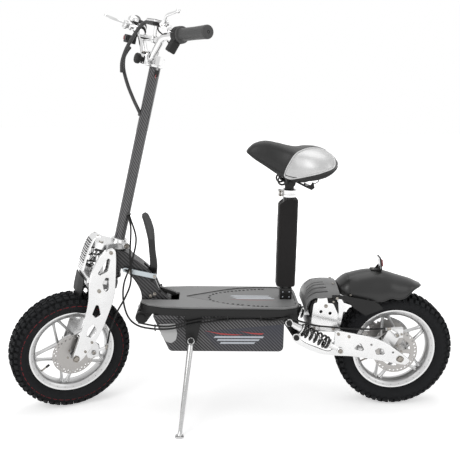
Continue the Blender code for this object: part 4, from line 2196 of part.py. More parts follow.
def build():
    clear_scene()
    finishes = materials()
    head = empty(
        "head_frame", Matrix.Translation((STEERING_FOOT_X, 0, 0)) @ Matrix.Rotation(RAKE, 4, "Y")
    )
    steering = empty("steering_axis", Matrix.Rotation(STEERED_LEFT, 4, "Z"), head)
    fork_slide = empty("fork_slide", Matrix.Identity(4), steering)
    front_axis = empty("front_wheel_axis", Matrix.Translation((-FORK_OFFSET, 0, AXLE_ALONG)), fork_slide)
    fold_hinge = empty("fold_hinge", Matrix.Translation((HINGE_X, 0, HINGE_Z)))
    lever_axis = empty("fold_lever_axis", Matrix.Translation(LEVER_PIVOT))
    link_axis = empty("lever_link_axis", Matrix.Translation(LINK_PIN))
    latch_axis = empty("latch_axis", Matrix.Translation(LATCH_PIVOT))
    swing_pivot = empty("swing_pivot", Matrix.Translation((PIVOT_X, 0, PIVOT_Z)))
    rear_axis = empty("rear_wheel_axis", Matrix.Translation((REAR_AXLE_X, 0, TYRE_RADIUS)))
    pinion_axis = empty("motor_axis", Matrix.Translation((MOTOR_X, 0, MOTOR_Z)))
    shock_axis = empty("shock_axis", Matrix.Translation(SHOCK_EYE))
    stand_pivot = empty("stand_axis", Matrix.Translation(STAND_PIVOT))
    seat_slide = empty("seat_slide", Matrix.Translation((SEAT_X, 0, SEAT_TUBE_TOP)))
    key_axis = empty("key_axis", Matrix.Translation(KEY_TOP), steering)
    throttle_axis = empty("throttle_axis", Matrix.Translation(bar_point(-1, 0.0)), steering)
    left_lever_axis = empty("left_lever_axis", Matrix.Translation(LEFT_LEVER_PIVOT), steering)
    right_lever_axis = empty("right_lever_axis", Matrix.Translation(RIGHT_LEVER_PIVOT), steering)

    chassis(finishes)
    deck_panel(finishes)
    battery_box(finishes)
    battery_pack(finishes)
    seat_tube(finishes)
    post_pad(finishes)

    neck(finishes, fold_hinge, head)
    fold_lever(finishes, lever_axis)
    lever_link(finishes, link_axis)
    latch_bar(finishes, latch_axis)

    fork_crown(finishes, steering)
    column(finishes, steering)
    handlebar(finishes, steering)
    right_grip(finishes, steering)
    display(finishes, steering)
    switch_block(finishes, steering)
    bell(finishes, steering)
    throttle_housing(finishes, steering)
    front_cover(finishes, steering)
    for name, side in (("fork_spring_left", -1), ("fork_spring_right", 1)):
        fork_spring(name, side, finishes, steering)

    hang = {"throttle": throttle_axis, "key": key_axis}
    for_steering(finishes, steering, hang, left_lever_axis, right_lever_axis)

    fork_leg("fork_leg_left", -1, finishes, fork_slide)
    fork_leg("fork_leg_right", 1, finishes, fork_slide)
    fork_bridge(finishes, fork_slide)
    front_mudguard(finishes, fork_slide)
    front_caliper(finishes, fork_slide)
    end = LEG_INNER_Y - GAP
    axle = through_axle("front_axle", LEG_OUTER_Y, end, finishes["steel"], None)
    axle.parent = empty("front_axle_place", Matrix.Translation((-FORK_OFFSET, 0, AXLE_ALONG)), fork_slide)
    tyre("front_tyre", finishes["tyre"], front_axis)
    rim("front_rim", finishes["cast"], front_axis)
    holes = drilled_holes(FRONT_DISC_RADIUS, FRONT_DISC_HOLES)
    brake_disc("front_disc", FRONT_DISC_RADIUS, holes, finishes["steel"], front_axis)

    swing_arm(finishes, swing_pivot)
    axle = through_axle("rear_axle", ARM_OUTER_Y, ARM_INNER_Y - GAP, finishes["steel"], None)
    axle.parent = empty("rear_axle_place", Matrix.Translation((REAR_AXLE_X, 0, TYRE_RADIUS)))
    motor(finishes, swing_pivot)
    motor_cover(finishes, swing_pivot)
    rear_fender(finishes, swing_pivot)
    tail_reflector(finishes, swing_pivot)
    rear_caliper(finishes, swing_pivot)
    chain(finishes, swing_pivot)
    tyre("rear_tyre", finishes["tyre"], rear_axis)
    rim("rear_rim", finishes["cast"], rear_axis)
    slots = slotted_holes(REAR_DISC_RADIUS, REAR_DISC_SLOTS)
    brake_disc("rear_disc", REAR_DISC_RADIUS, slots, finishes["steel"], rear_axis)
    rear_sprocket(finishes, rear_axis)
    motor_pinion(finishes, pinion_axis)
    for name, side in (("left", -1), ("right", 1)):
        shock_body(f"shock_body_{name}", side, finishes, shock_axis)
        shock_rod(f"shock_rod_{name}", side, finishes, shock_axis)
        shock_spring(f"shock_spring_{name}", side, finishes, shock_axis)

    kickstand(finishes, stand_pivot)
    seat_post(finishes, seat_slide)
    saddle(finishes, seat_slide)

    cable_harnesses(finishes, steering)
    front_brake_cable(finishes, steering)
    rear_brake_cable(finishes, steering)


def for_steering(finishes, steering, hang, left_axis, right_axis):
    """The small pieces that turn on the handlebar."""
    brake = (
        ("brake_lever_left", LEFT_LEVER_PIVOT, -1, LEFT_LEVER_TIP, left_axis),
        ("brake_lever_right", RIGHT_LEVER_PIVOT, 1, RIGHT_LEVER_TIP, right_axis),
    )
    for name, hinge, side, tip, axis in brake:
        to_steering(brake_lever(name, hinge, side, tip, finishes, None), axis)
    to_steering(throttle_grip(finishes, None), hang["throttle"])
    to_steering(ignition_key(finishes, None), hang["key"])


def to_steering(obj, axis):
    """Hangs a piece drawn in the steering frame on an axis that lies in it."""
    obj.data.transform(Matrix.Translation(-axis.matrix_local.translation))
    obj.parent = axis


build()
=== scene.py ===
"""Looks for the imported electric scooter: finer pieces and node materials round the CAD frame.

Everything is in metres in the row frame: the scooter faces -X, its left side faces -Y
and the ground is z = 0. Pieces of the steered front end are drawn in the steering frame
(z is the steering axis) and placed with STEER; pieces of a wheel are drawn about its axle.
"""

import math

import bmesh
import bpy
from mathutils import Matrix, Vector
from mathutils.geometry import tessellate_polygon


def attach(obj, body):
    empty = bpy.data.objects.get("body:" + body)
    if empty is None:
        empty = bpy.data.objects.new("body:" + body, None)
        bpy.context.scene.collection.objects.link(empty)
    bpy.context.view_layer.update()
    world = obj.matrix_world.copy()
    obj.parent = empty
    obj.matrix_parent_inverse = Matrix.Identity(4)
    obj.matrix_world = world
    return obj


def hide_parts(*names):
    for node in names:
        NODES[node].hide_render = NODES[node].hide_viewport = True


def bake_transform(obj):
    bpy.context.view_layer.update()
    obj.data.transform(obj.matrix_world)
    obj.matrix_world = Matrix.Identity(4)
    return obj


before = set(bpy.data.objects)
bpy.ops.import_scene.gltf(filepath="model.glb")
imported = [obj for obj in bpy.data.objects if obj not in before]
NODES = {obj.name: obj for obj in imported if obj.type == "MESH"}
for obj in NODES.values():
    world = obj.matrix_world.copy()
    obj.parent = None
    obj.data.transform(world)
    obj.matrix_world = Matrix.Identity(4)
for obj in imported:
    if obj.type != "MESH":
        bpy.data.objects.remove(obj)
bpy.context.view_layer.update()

# Frames of the front end and of both wheels

RAKE = math.radians(12.3)
TURNED = math.radians(24.1)
STEER_FOOT_X = -0.4657
FORK_OFFSET = 0.0835
TYRE_R = 0.184
TREAD_HALF = 0.022
LEAN = math.asin(math.sin(TURNED) * math.sin(RAKE))
AXLE_HIGH = TYRE_R * math.cos(LEAN) + TREAD_HALF * math.sin(LEAN)
AXLE_ALONG = (AXLE_HIGH - FORK_OFFSET * math.cos(TURNED) * math.sin(RAKE)) / math.cos(RAKE)
REAR_X = 0.511
HEAD = Matrix.Translation((STEER_FOOT_X, 0, 0)) @ Matrix.Rotation(RAKE, 4, "Y")
STEER = HEAD @ Matrix.Rotation(TURNED, 4, "Z")
FRONT = STEER @ Matrix.Translation((-FORK_OFFSET, 0, AXLE_ALONG))
REAR = Matrix.Translation((REAR_X, 0, TYRE_R))
AXLES = {"front_wheel": FRONT, "fork": FRONT, "rear_wheel": REAR, "swing": REAR}

# Places and sizes that several pieces share

SIDES = (-1, 1)
DISC_Y = 0.0418
HUB_END = 0.0403
ROD_X, ROD_Y = -0.066, 0.033
CROWN_LOW = 0.5144
SEAT_X, CLAMP_Z = 0.163, 0.712
CABLE_R, FERRULE_R = 0.00275, 0.0034
CHAIN_PITCH = 0.0122
MOTOR_X, MOTOR_Z = 0.277, 0.327
ENTRY, ENTRY_FOOT = Vector((-0.03, 0.004, 0.945)), Vector((0.0, 0.0, 0.905))
EXIT_FOOT = Vector((0.0, 0.0, 0.64))
EXIT_WAY = Vector((0.014, -0.026, -0.034)).normalized()
SHARP = 34

# Light of the studio

FLOOR_GLOW = 0.5
WORLD_LIGHT = 0.42


# Node materials


class Tree:
    """Short calls that add and link nodes in one node tree."""

    def __init__(self, tree):
        self.tree = tree

    def feed(self, socket, value):
        """Links a socket to an output, or sets it to a number, a vector or a colour."""
        if hasattr(value, "is_output"):
            self.tree.links.new(value, socket)
        else:
            socket.default_value = (*value, 1) if socket.type == "RGBA" else value

    def add(self, kind, inputs, **settings):
        """A node with its settings, each input fed by its name or number."""
        node = self.tree.nodes.new("ShaderNode" + kind)
        for key, value in settings.items():
            setattr(node, key, value)
        for key, value in inputs.items():
            self.feed(node.inputs[key], value)
        return node

    def math(self, operation, *values):
        return self.add("Math", dict(enumerate(values)), operation=operation).outputs[0]

    def times(self, first, second):
        return self.math("MULTIPLY", first, second)

    def plus(self, first, second):
        return self.math("ADD", first, second)

    def between(self, value, low, high, start=0.0, end=1.0):
        """Maps a value's range from start to end onto low to high."""
        ranges = {"From Min": start, "From Max": end, "To Min": low, "To Max": high}
        return self.add("MapRange", {"Value": value, **ranges}).outputs[0]

    def mix(self, share, first, second):
        return self.add("Mix", {0: share, 6: first, 7: second}, data_type="RGBA").outputs[2]

    def seen_directly(self):
        """1 for camera, glossy and transmission rays: they have to find a white studio."""
        rays = self.add("LightPath", {}).outputs
        seen = self.math("MAXIMUM", rays["Is Camera Ray"], rays["Is Glossy Ray"])
        return self.math("MAXIMUM", seen, rays["Is Transmission Ray"])


SHADER_INPUTS = {
    "metal": "Metallic",
    "coat": "Coat Weight",
    "coat_rough": "Coat Roughness",
    "sheen": "Sheen Weight",
    "specular": "Specular IOR Level",
    "anisotropic": "Anisotropic",
}


class Nodes(Tree):
    """A material's tree, with short calls for the nodes that the finishes share."""

    def __init__(self, name, **values):
        self.material = bpy.data.materials.new(name)
        self.material.use_nodes = True
        super().__init__(self.material.node_tree)
        self.shader = self.tree.nodes["Principled BSDF"]
        self.place = self.tree.nodes.new("ShaderNodeTexCoord").outputs["Object"]
        self.set(**values)

    def set(self, **values):
        for key, value in values.items():
            self.shader.inputs[SHADER_INPUTS[key]].default_value = value

    def stretched(self, scale):
        return self.add("Mapping", {"Vector": self.place, "Scale": scale}).outputs[0]

    def noise(self, scale, detail, rough, vector=None):
        inputs = {"Scale": scale, "Detail": detail, "Roughness": rough}
        return self.add("TexNoise", {"Vector": vector or self.place, **inputs}).outputs["Fac"]

    def voronoi(self, scale, feature="F1"):
        inputs = {"Vector": self.place, "Scale": scale}
        return self.add("TexVoronoi", inputs, feature=feature).outputs["Distance"]

    def split(self):
        """The x, y and z of a place on the object."""
        return self.add("SeparateXYZ", {"Vector": self.place}).outputs

    def from_axle(self):
        """Distance from the Y axis."""
        x, _, z = self.split()
        return self.math("SQRT", self.plus(self.times(x, x), self.times(z, z)))

    def colour(self, share, dark, light):
        """The base colour, from dark to light by a share; one number is a grey."""
        dark, light = ((c,) * 3 if isinstance(c, float) else c for c in (dark, light))
        self.feed(self.shader.inputs["Base Color"], self.mix(share, dark, light))

    def rough(self, source):
        self.feed(self.shader.inputs["Roughness"], source)

    def bump(self, height, strength, distance, after=None):
        """A bump on the shader, on top of the one before it if there is one."""
        node = self.add("Bump", {"Height": height, "Strength": strength, "Distance": distance})
        if after is not None:
            self.feed(node.inputs["Normal"], after)
        self.feed(self.shader.inputs["Normal"], node.outputs[0])
        return node.outputs[0]


def metal(name, dark, light, low, high, grain, depth):
    """A metal with a fine grain, soft smudges and slightly varied gloss."""
    n = Nodes(name, metal=1.0)
    lines = n.noise(6.0, 4.0, 0.6, n.stretched(grain if isinstance(grain, tuple) else (grain,) * 3))
    smudge = n.noise(14.0, 4.0, 0.6)
    n.colour(n.between(n.times(lines, smudge), 0.0, 1.6), dark, light)
    n.rough(n.between(n.plus(n.times(lines, 0.5), n.times(smudge, 0.5)), low, high))
    n.bump(lines, depth, 0.0004)
    return n.material


def paint(name, dark, light, low, high, scale, depth, **more):
    """A paint or moulded plastic with a fine texture and faint dust."""
    n = Nodes(name, **more)
    broad = n.noise(9.0, 5.0, 0.6)
    n.colour(n.between(broad, 0.1, 1.0), dark, light)
    n.rough(n.between(broad, low, high))
    n.bump(n.noise(scale, 2.0, 0.5), depth, 0.0004)
    return n.material


def weave(n, u, v, cell):
    """Twill 2/2: 1 where the warp shows and 0 where the weft does, with each yarn's rounding, used
    for bump and for painted shade.
    """
    cu, cv = n.math("DIVIDE", u, cell), n.math("DIVIDE", v, cell)
    step = n.math("FLOORED_MODULO", n.plus(n.math("FLOOR", cu), n.math("FLOOR", cv)), 4.0)
    warp = n.math("LESS_THAN", step, 1.5)
    across = n.times(n.math("PINGPONG", cu, 0.5), warp)
    along = n.times(n.math("PINGPONG", cv, 0.5), n.math("SUBTRACT", 1.0, warp))
    return warp, n.times(n.plus(across, along), 2.0)


FILM = {"coat": 0.3, "coat_rough": 0.24, "specular": 0.18}


def carbon(n, u, v, cell, yarn_sheen_colour=(0.2, 0.196, 0.202), patch=None):
    """Dark woven film with painted sheen and shade on its yarns; patch is a mask and a colour for a
    printed area.
    """
    warp, yarn = weave(n, u, v, cell)
    # Painted sheen and shade: the warp shows lighter than the weft and each yarn lighter along its
    # middle; the noise varies the tone at random.
    tone = n.times(n.between(warp, 0.12, 1.0), n.between(yarn, 0.5, 1.0))
    tone = n.times(tone, n.between(n.noise(7.0, 4.0, 0.6), 0.75, 1.2))
    film = n.mix(tone, (0.007, 0.007, 0.0075), yarn_sheen_colour)
    if patch:
        film = n.mix(patch[0], film, patch[1])
    n.feed(n.shader.inputs["Base Color"], film)
    n.rough(n.between(yarn, 0.5, 0.32))
    n.bump(yarn, 0.25, 0.0004)
    return n.material


def carbon_flat():
    """The film on flat pieces seen from the side, drawn in x and z."""
    n = Nodes("carbon_film", **FILM)
    x, y, z = n.split()
    return carbon(n, n.plus(x, y), n.plus(z, y), 0.003, (0.105, 0.103, 0.106))


def carbon_box():
    """The film on the battery box, with a plain blue-grey printed area on each side."""
    n = Nodes("carbon_box_film", **FILM)
    x, y, z = n.split()
    top = n.math("SUBTRACT", 0.292, n.times(n.math("SUBTRACT", 0.15, x), 0.1))
    front = n.plus(-0.111, n.times(n.math("SUBTRACT", 0.3, z), 0.66))
    inside = n.times(n.math("GREATER_THAN", x, front), n.math("LESS_THAN", z, top))
    fade = n.between(n.times(n.math("SUBTRACT", z, 0.21), 12.0), 0.25, 0.85)
    mask = n.times(inside, n.math("MINIMUM", fade, 0.86))
    return carbon(n, n.plus(x, y), n.plus(z, y), 0.0026, patch=(mask, (0.05, 0.053, 0.072)))


def carbon_tube(radius):
    """The glossier film round the column: round it and along it."""
    n = Nodes("carbon_tube_film", coat=0.75, coat_rough=0.12, specular=0.18)
    x, y, z = n.split()
    return carbon(n, n.times(n.math("ARCTAN2", y, x), radius), z, 0.0024)


def tyre_rubber(name, ring=False):
    """Black rubber, dusty on the sidewall; ring adds the red dashes moulded round it."""
    n = Nodes(name, specular=0.18)
    radius = n.from_axle()
    dust = n.noise(38.0, 5.0, 0.65)
    base = n.mix(n.between(dust, 0.0, 1.0), (0.006, 0.0062, 0.0068), (0.022, 0.023, 0.025))
    if ring:
        x, _, z = n.split()
        turn = n.times(n.math("ARCTAN2", z, x), 48.0 / math.tau)
        dash = n.math("GREATER_THAN", n.math("PINGPONG", turn, 0.5), 0.13)
        off = n.math("ABSOLUTE", n.math("SUBTRACT", radius, 0.157))
        base = n.mix(n.times(dash, n.math("LESS_THAN", off, 0.0007)), base, (0.26, 0.022, 0.03))
    n.feed(n.shader.inputs["Base Color"], base)
    n.rough(n.between(dust, 0.62, 0.9))
    grain = n.bump(n.noise(1400.0, 2.0, 0.5), 0.15, 0.0004)
    rings = n.math("SINE", n.times(radius, 1700.0))
    n.bump(n.times(rings, n.math("LESS_THAN", radius, 0.147)), 0.25, 0.0005, grain)
    return n.material


def disc_steel():
    """Steel turned on a lathe: fine rings and smoother and duller patches."""
    n = Nodes("disc_steel", metal=1.0, anisotropic=0.4)
    along = n.add("CombineXYZ", {"X": n.times(n.from_axle(), 2200.0), "Y": 0.0, "Z": 0.0})
    rings = n.noise(1.0, 3.0, 0.6, along.outputs[0])
    n.colour(n.between(rings, 0.0, 1.0), (0.3, 0.29, 0.28), (0.5, 0.485, 0.47))
    n.rough(n.between(n.noise(22.0, 3.0, 0.5), 0.26, 0.44))
    n.bump(rings, 0.12, 0.0003)
    return n.material


def leather(name, dark, light, low, high, scale, depth, **more):
    """Vinyl with a pebbled grain and broad noise in its tone and gloss."""
    n = Nodes(name, **more)
    pebble = n.voronoi(scale, "SMOOTH_F1")
    cloud = n.noise(11.0, 4.0, 0.6)
    n.colour(n.between(n.times(pebble, cloud), 0.0, 2.2), dark, light)
    n.rough(n.between(cloud, low, high))
    n.bump(pebble, depth, 0.0005)
    return n.material


def foam():
    """Black foam sleeve: open pores, a soft sheen and slight fading."""
    n = Nodes("post_foam", sheen=0.25, specular=0.2)
    broad = n.noise(18.0, 4.0, 0.6)
    n.colour(n.between(broad, 0.0, 1.0), (0.011, 0.0105, 0.0105), (0.024, 0.022, 0.022))
    n.rough(n.between(broad, 0.82, 0.96))
    n.bump(n.voronoi(900.0), 0.5, 0.0006)
    return n.material


def deck_coat(name, dark, light):
    """Sprayed grip coat: a sand-like grain over grey that is partly painted reflection, worn
    lighter in patches.
    """
    n = Nodes(name, specular=0.4)
    grain = n.noise(1500.0, 2.0, 0.6)
    wear = n.noise(6.0, 5.0, 0.6)
    n.colour(n.plus(n.times(wear, 0.7), n.times(grain, 0.3)), dark, light)
    n.rough(n.between(wear, 0.42, 0.62))
    n.bump(grain, 0.35, 0.0005)
    return n.material


def glossy(name, colour, low, high):
    """A lens, enamel or moulded gloss with faint handling marks."""
    n = Nodes(name, coat=0.6, coat_rough=0.08)
    marks = n.noise(60.0, 4.0, 0.6)
    n.colour(n.between(marks, 0.0, 1.0), tuple(c * 0.82 for c in colour), colour)
    n.rough(n.between(marks, low, high))
    n.bump(n.noise(500.0, 2.0, 0.5), 0.05, 0.0003)
    return n.material


# Finishes by key: name, darkest and lightest tone, lowest and highest roughness, grain, depth
PAINTS = {
    "black_paint": ("black_powder_coat", 0.006, 0.014, 0.3, 0.46, 1200.0, 0.18, 0.28),
    "black_plastic": ("black_plastic", 0.01, 0.02, 0.42, 0.6, 1600.0, 0.2, 0.28),
    "fender": ("satin_fender_plastic", 0.01, 0.02, 0.26, 0.38, 1500.0, 0.12, 0.45),
    "cover": ("grey_black_cover", 0.15, 0.22, 0.28, 0.42, 1300.0, 0.2, 0.5),
    "rubber": ("grip_rubber", 0.045, 0.085, 0.42, 0.6, 900.0, 0.3, 0.4),
    "sleeve": ("cable_sleeve", 0.03, 0.09, 0.4, 0.6, 1400.0, 0.25, 0.3),
    "cable": ("cable_sheath", 0.006, 0.012, 0.32, 0.46, 1800.0, 0.1, 0.25),
    "guard": ("guard_plastic", 0.003, 0.007, 0.42, 0.56, 1200.0, 0.1, 0.12),
    "plate": ("pale_panel", 0.5, 0.62, 0.34, 0.46, 700.0, 0.05, 0.5),
    "battery": ("battery_case", 0.05, 0.09, 0.4, 0.6, 800.0, 0.15, 0.5),
}
METALS = {
    "polished": ("polished_aluminium", 0.63, 0.88, 0.18, 0.34, (30.0, 30.0, 260.0), 0.04),
    "cast": ("cast_aluminium", 0.56, 0.84, 0.24, 0.4, 90.0, 0.15),
    "rim": ("rim_silver", 0.48, 0.68, 0.28, 0.42, 120.0, 0.1),
    "lip": ("rim_lip", 0.62, 0.84, 0.12, 0.24, 60.0, 0.04),
    "chrome": ("chrome", 0.62, 0.8, 0.04, 0.11, (20.0, 20.0, 40.0), 0.02),
    "steel": ("steel", 0.26, 0.44, 0.26, 0.42, 80.0, 0.12),
    "zinc": ("zinc_bolts", (0.2, 0.185, 0.165), (0.46, 0.43, 0.39), 0.18, 0.32, 60.0, 0.06),
    "link": ("plated_link", (0.34, 0.38, 0.4), (0.54, 0.58, 0.6), 0.3, 0.44, 60.0, 0.08),
    "stand": ("stand_chrome", 0.42, 0.66, 0.07, 0.16, (20.0, 20.0, 60.0), 0.04),
}
M = {
    **{key: paint(*values[:-1], specular=values[-1]) for key, values in PAINTS.items()},
    **{key: metal(*values) for key, values in METALS.items()},
    "gloss_black": paint(
        "black_gloss_plastic", 0.005, 0.011, 0.2, 0.34, 500.0, 0.05, coat=0.1, specular=0.3
    ),
    "spring": paint(
        "spring_enamel", 0.004, 0.009, 0.14, 0.26, 700.0, 0.06, coat=0.2, specular=0.35
    ),
    "carbon": carbon_flat(),
    "carbon_box": carbon_box(),
    "carbon_tube": carbon_tube(0.0165),
    "tyre": tyre_rubber("tyre_rubber"),
    "tyre_ring": tyre_rubber("tyre_rubber_red_ring", True),
    "disc": disc_steel(),
    # The deck's two greys are much lighter than its glossy black finish: partly painted reflection
    # of the studio.
    "deck": deck_coat("deck_grip", 0.22, 0.34),
    "deck_mat_painted_reflection": deck_coat("deck_mat_painted_reflection", 0.19, 0.3),
    "vinyl": leather(
        "saddle_vinyl", 0.01, 0.024, 0.36, 0.5, 620.0, 0.35, sheen=0.05, specular=0.35
    ),
    "silver_vinyl": leather("saddle_silver", 0.5, 0.68, 0.36, 0.48, 700.0, 0.15, metal=0.45),
    "piping": leather("saddle_piping", 0.74, 0.88, 0.3, 0.45, 900.0, 0.15),
    "foam": foam(),
    "red": glossy("red_print", (0.55, 0.03, 0.028), 0.25, 0.4),
    "white": glossy("white_print", (0.62, 0.66, 0.72), 0.25, 0.4),
    "lens": glossy("red_lens", (0.3, 0.012, 0.016), 0.12, 0.22),
    "glass": glossy("display_window", (0.035, 0.05, 0.045), 0.05, 0.12),
}


# Shapes: each is (points, faces) in its drawing frame


def mm(*points):
    """Points given in millimetres."""
    return [tuple(value / 1000 for value in point) for point in points]


def smoothed(line, steps_between, ring=False):
    """Points on a smooth curve through a line of points, or round a ring of them."""
    line = [Vector(p) for p in line]
    if ring:
        ends = [line[-1], *line, line[0], line[1]]
    else:
        ends = [line[0] * 2 - line[1], *line, line[-1] * 2 - line[-2]]
    out = []
    for a, b, c, d in zip(ends, ends[1:], ends[2:], ends[3:]):
        steps = steps_between(b, c)
        for i in range(steps):
            t = i / steps
            square = (2 * a - 5 * b + 4 * c - d) * t * t
            out.append(0.5 * (2 * b + (c - a) * t + square + (3 * b - a - 3 * c + d) * t**3))
    return out if ring else [*out, line[-1].copy()]


def route(points, spacing=0.003, closed=False):
    """Points about a spacing apart on a smooth curve through the given ones."""
    return smoothed(points, lambda b, c: max(1, round((c - b).length / spacing)), closed)


def finer(rows, across, along, closed=False):
    """A grid of points made finer each way on smooth curves."""
    rows = [smoothed(row, lambda b, c: across, closed) for row in rows]
    columns = [smoothed(column, lambda b, c: along) for column in zip(*rows)]
    return [list(row) for row in zip(*columns)]


def smooth_loop(points, spacing=0.003):
    """A closed flat outline made into one smooth curve."""
    return [(p.x, p.y) for p in route([(x, z, 0.0) for x, z in points], spacing, True)]


def moved(points, x, z):
    return [(a + x, b + z) for a, b in points]


def rounded(points, radius, steps=5):
    """A 2D outline with its corners rounded; radius is one number or one a corner."""
    count = len(points)
    radii = [radius] * count if isinstance(radius, (int, float)) else radius
    out = []
    for i, corner in enumerate(points):
        here = Vector(corner)
        back = (Vector(points[i - 1]) - here).normalized()
        ahead = (Vector(points[(i + 1) % count]) - here).normalized()
        half = back.angle(ahead) / 2
        if radii[i] <= 0 or half > math.radians(87):
            out.append(tuple(here))
            continue
        reach = radii[i] / math.tan(half)
        centre = here + (back + ahead).normalized() * (radii[i] / math.sin(half))
        start = here + back * reach - centre
        end = here + ahead * reach - centre
        swing = start.angle_signed(end)
        for k in range(steps + 1):
            turn = -swing * k / steps
            x = start.x * math.cos(turn) - start.y * math.sin(turn)
            y = start.x * math.sin(turn) + start.y * math.cos(turn)
            out.append((centre.x + x, centre.y + y))
    return out


def circle(x, z, radius, sides=32):
    step = math.tau / sides
    turns = [i * step for i in range(sides)]
    return [(x + radius * math.cos(turn), z + radius * math.sin(turn)) for turn in turns]


def arc(x, z, radius, first, last, steps):
    """Points on a circle's stretch, angles in degrees."""
    angles = [math.radians(first + (last - first) * i / steps) for i in range(steps + 1)]
    return [(x + radius * math.cos(a), z + radius * math.sin(a)) for a in angles]


def oblong(half_u, half_v, radius, u=0.0, v=0.0, steps=5):
    """A rectangle with rounded corners."""
    corners = [(-half_u, -half_v), (half_u, -half_v), (half_u, half_v), (-half_u, half_v)]
    return moved(rounded(corners, radius, steps), u, v)


def both_sides(half):
    """Half an outline and its mirror image, starting with the mirror of the first point."""
    back = [(x, -y) for x, y in reversed(half)]
    return back[-1:] + half + back[:-1]


def slot_outline(start, end, radius, steps):
    """A slot with round ends between two points of a flat view."""
    angle = math.degrees(math.atan2(end[1] - start[1], end[0] - start[0]))
    first = arc(start[0], start[1], radius, angle + 90, angle + 270, steps)
    return first + arc(end[0], end[1], radius, angle - 90, angle + 90, steps)


def signed_area(loop):
    return sum(a[0] * b[1] - b[0] * a[1] for a, b in zip(loop, loop[1:] + loop[:1])) / 2


def shifted(loop, by):
    """A loop moved to its left, mitred at its corners."""
    out = []
    for i, corner in enumerate(loop):
        here = Vector(corner)
        into = (here - Vector(loop[i - 1])).normalized()
        away = (Vector(loop[(i + 1) % len(loop)]) - here).normalized()
        first, second = Vector((-into.y, into.x)), Vector((-away.y, away.x))
        move = (first + second) * (by / max(1.0 + first.dot(second), 0.45))
        out.append((here.x + move.x, here.y + move.y))
    return out


PULLED = {
    "x": lambda p, h: (h, p[0], p[1]),
    "y": lambda p, h: (p[0], h, p[1]),
    "z": lambda p, h: (p[0], p[1], h),
}


def plate(loops, low, high, axis="y", edge=0.0007, steps=2):
    """An outline, with any holes after it, pulled from low to high, its edges rounded over."""
    edge = min(edge, 0.49 * (high - low))
    levels = []
    for k in range(steps + 1):
        angle = math.pi / 2 * k / steps
        levels.append((edge * (1 - math.sin(angle)), low + edge * (1 - math.cos(angle))))
    levels += [(inset, low + high - level) for inset, level in reversed(levels)]
    points, faces = [], []
    caps = [[], []]
    for number, loop in enumerate(loops):
        loop = [tuple(p) for p in loop]
        if (signed_area(loop) > 0) != (number == 0):
            loop.reverse()
        start, size = len(points), len(loop)
        rings = [shifted(loop, inset) for inset, _ in levels]
        for ring, (_, level) in zip(rings, levels):
            points += [PULLED[axis](p, level) for p in ring]
        for r in range(len(levels) - 1):
            for i in range(size):
                a, b = start + r * size + i, start + r * size + (i + 1) % size
                faces.append((a, b, b + size, a + size))
        caps[0].append((rings[0], start))
        caps[1].append((rings[-1], start + (len(levels) - 1) * size))
    for cap in caps:
        numbers = [first + i for ring, first in cap for i in range(len(ring))]
        flat = [[Vector((*p, 0.0)) for p in ring] for ring, _ in cap]
        faces += [tuple(numbers[i] for i in three) for three in tessellate_polygon(flat)]
    return points, faces


def side_plate(loops, side, near, far, edge, steps):
    """A plate drawn in side view, between two distances out from the middle."""
    return plate(loops, *sorted((side * near, side * far)), "y", edge, steps)


def lathe(profile, steps=64, closed=False):
    """A profile of (radius, y) turned about the Y axis, closed into a ring or left with poles."""
    points, rings = [], []
    for radius, along in profile:
        count = 1 if radius < 1e-7 else steps
        rings.append(range(len(points), len(points) + count))
        for i in range(count):
            turn = math.tau * i / steps
            points.append((radius * math.cos(turn), along, radius * math.sin(turn)))
    faces = []
    following = [*rings[1:], rings[0]] if closed else rings[1:]
    for a, b in zip(rings, following):
        for i in range(steps):
            j = (i + 1) % steps
            face = (a[i % len(a)], a[j % len(a)], b[j % len(b)], b[i % len(b)])
            face = tuple(dict.fromkeys(face))
            if len(face) > 2:
                faces.append(face)
    return points, faces


def drum(radius, low, high, edge=0.0006, steps=32):
    """A cylinder on the Y axis with rounded edges."""
    edge = min(edge, 0.49 * (high - low), 0.9 * radius)
    corner = [(edge * math.sin(a), edge * (1 - math.cos(a))) for a in (0.0, 0.55, 1.1, math.pi / 2)]
    below = [(radius - edge + out, low + up) for out, up in corner]
    above = [(radius - edge + out, high - up) for out, up in reversed(corner)]
    return lathe([(0.0, low), *below, *above, (0.0, high)], steps)


def collar(outer, inner, low, high, edge=0.0006, steps=40):
    """A ring on the Y axis with bevelled edges."""
    start = [(inner, low + edge), (inner + edge, low), (outer - edge, low), (outer, low + edge)]
    end = [(outer, high - edge), (outer - edge, high), (inner + edge, high), (inner, high - edge)]
    return lathe(start + end, steps, True)


def loft(rings, closed=False):
    """Joins rings that have as many points each, into a ring of rings or with capped ends."""
    count, total = len(rings[0]), len(rings)
    points = [Vector(p) for ring in rings for p in ring]
    faces = []
    for i in range(total if closed else total - 1):
        row, beside = i * count, (i + 1) % total * count
        for k in range(count):
            j = (k + 1) % count
            faces.append((row + k, row + j, beside + j, beside + k))
    if not closed:
        faces += [tuple(range(count)), tuple(range(len(points) - count, len(points)))]
    return points, faces


# How a bar's end narrows: share of the dome's height, share of the bar's radius
DOME = ((0.4, 0.94), (0.8, 0.75), (1.0, 0.35))


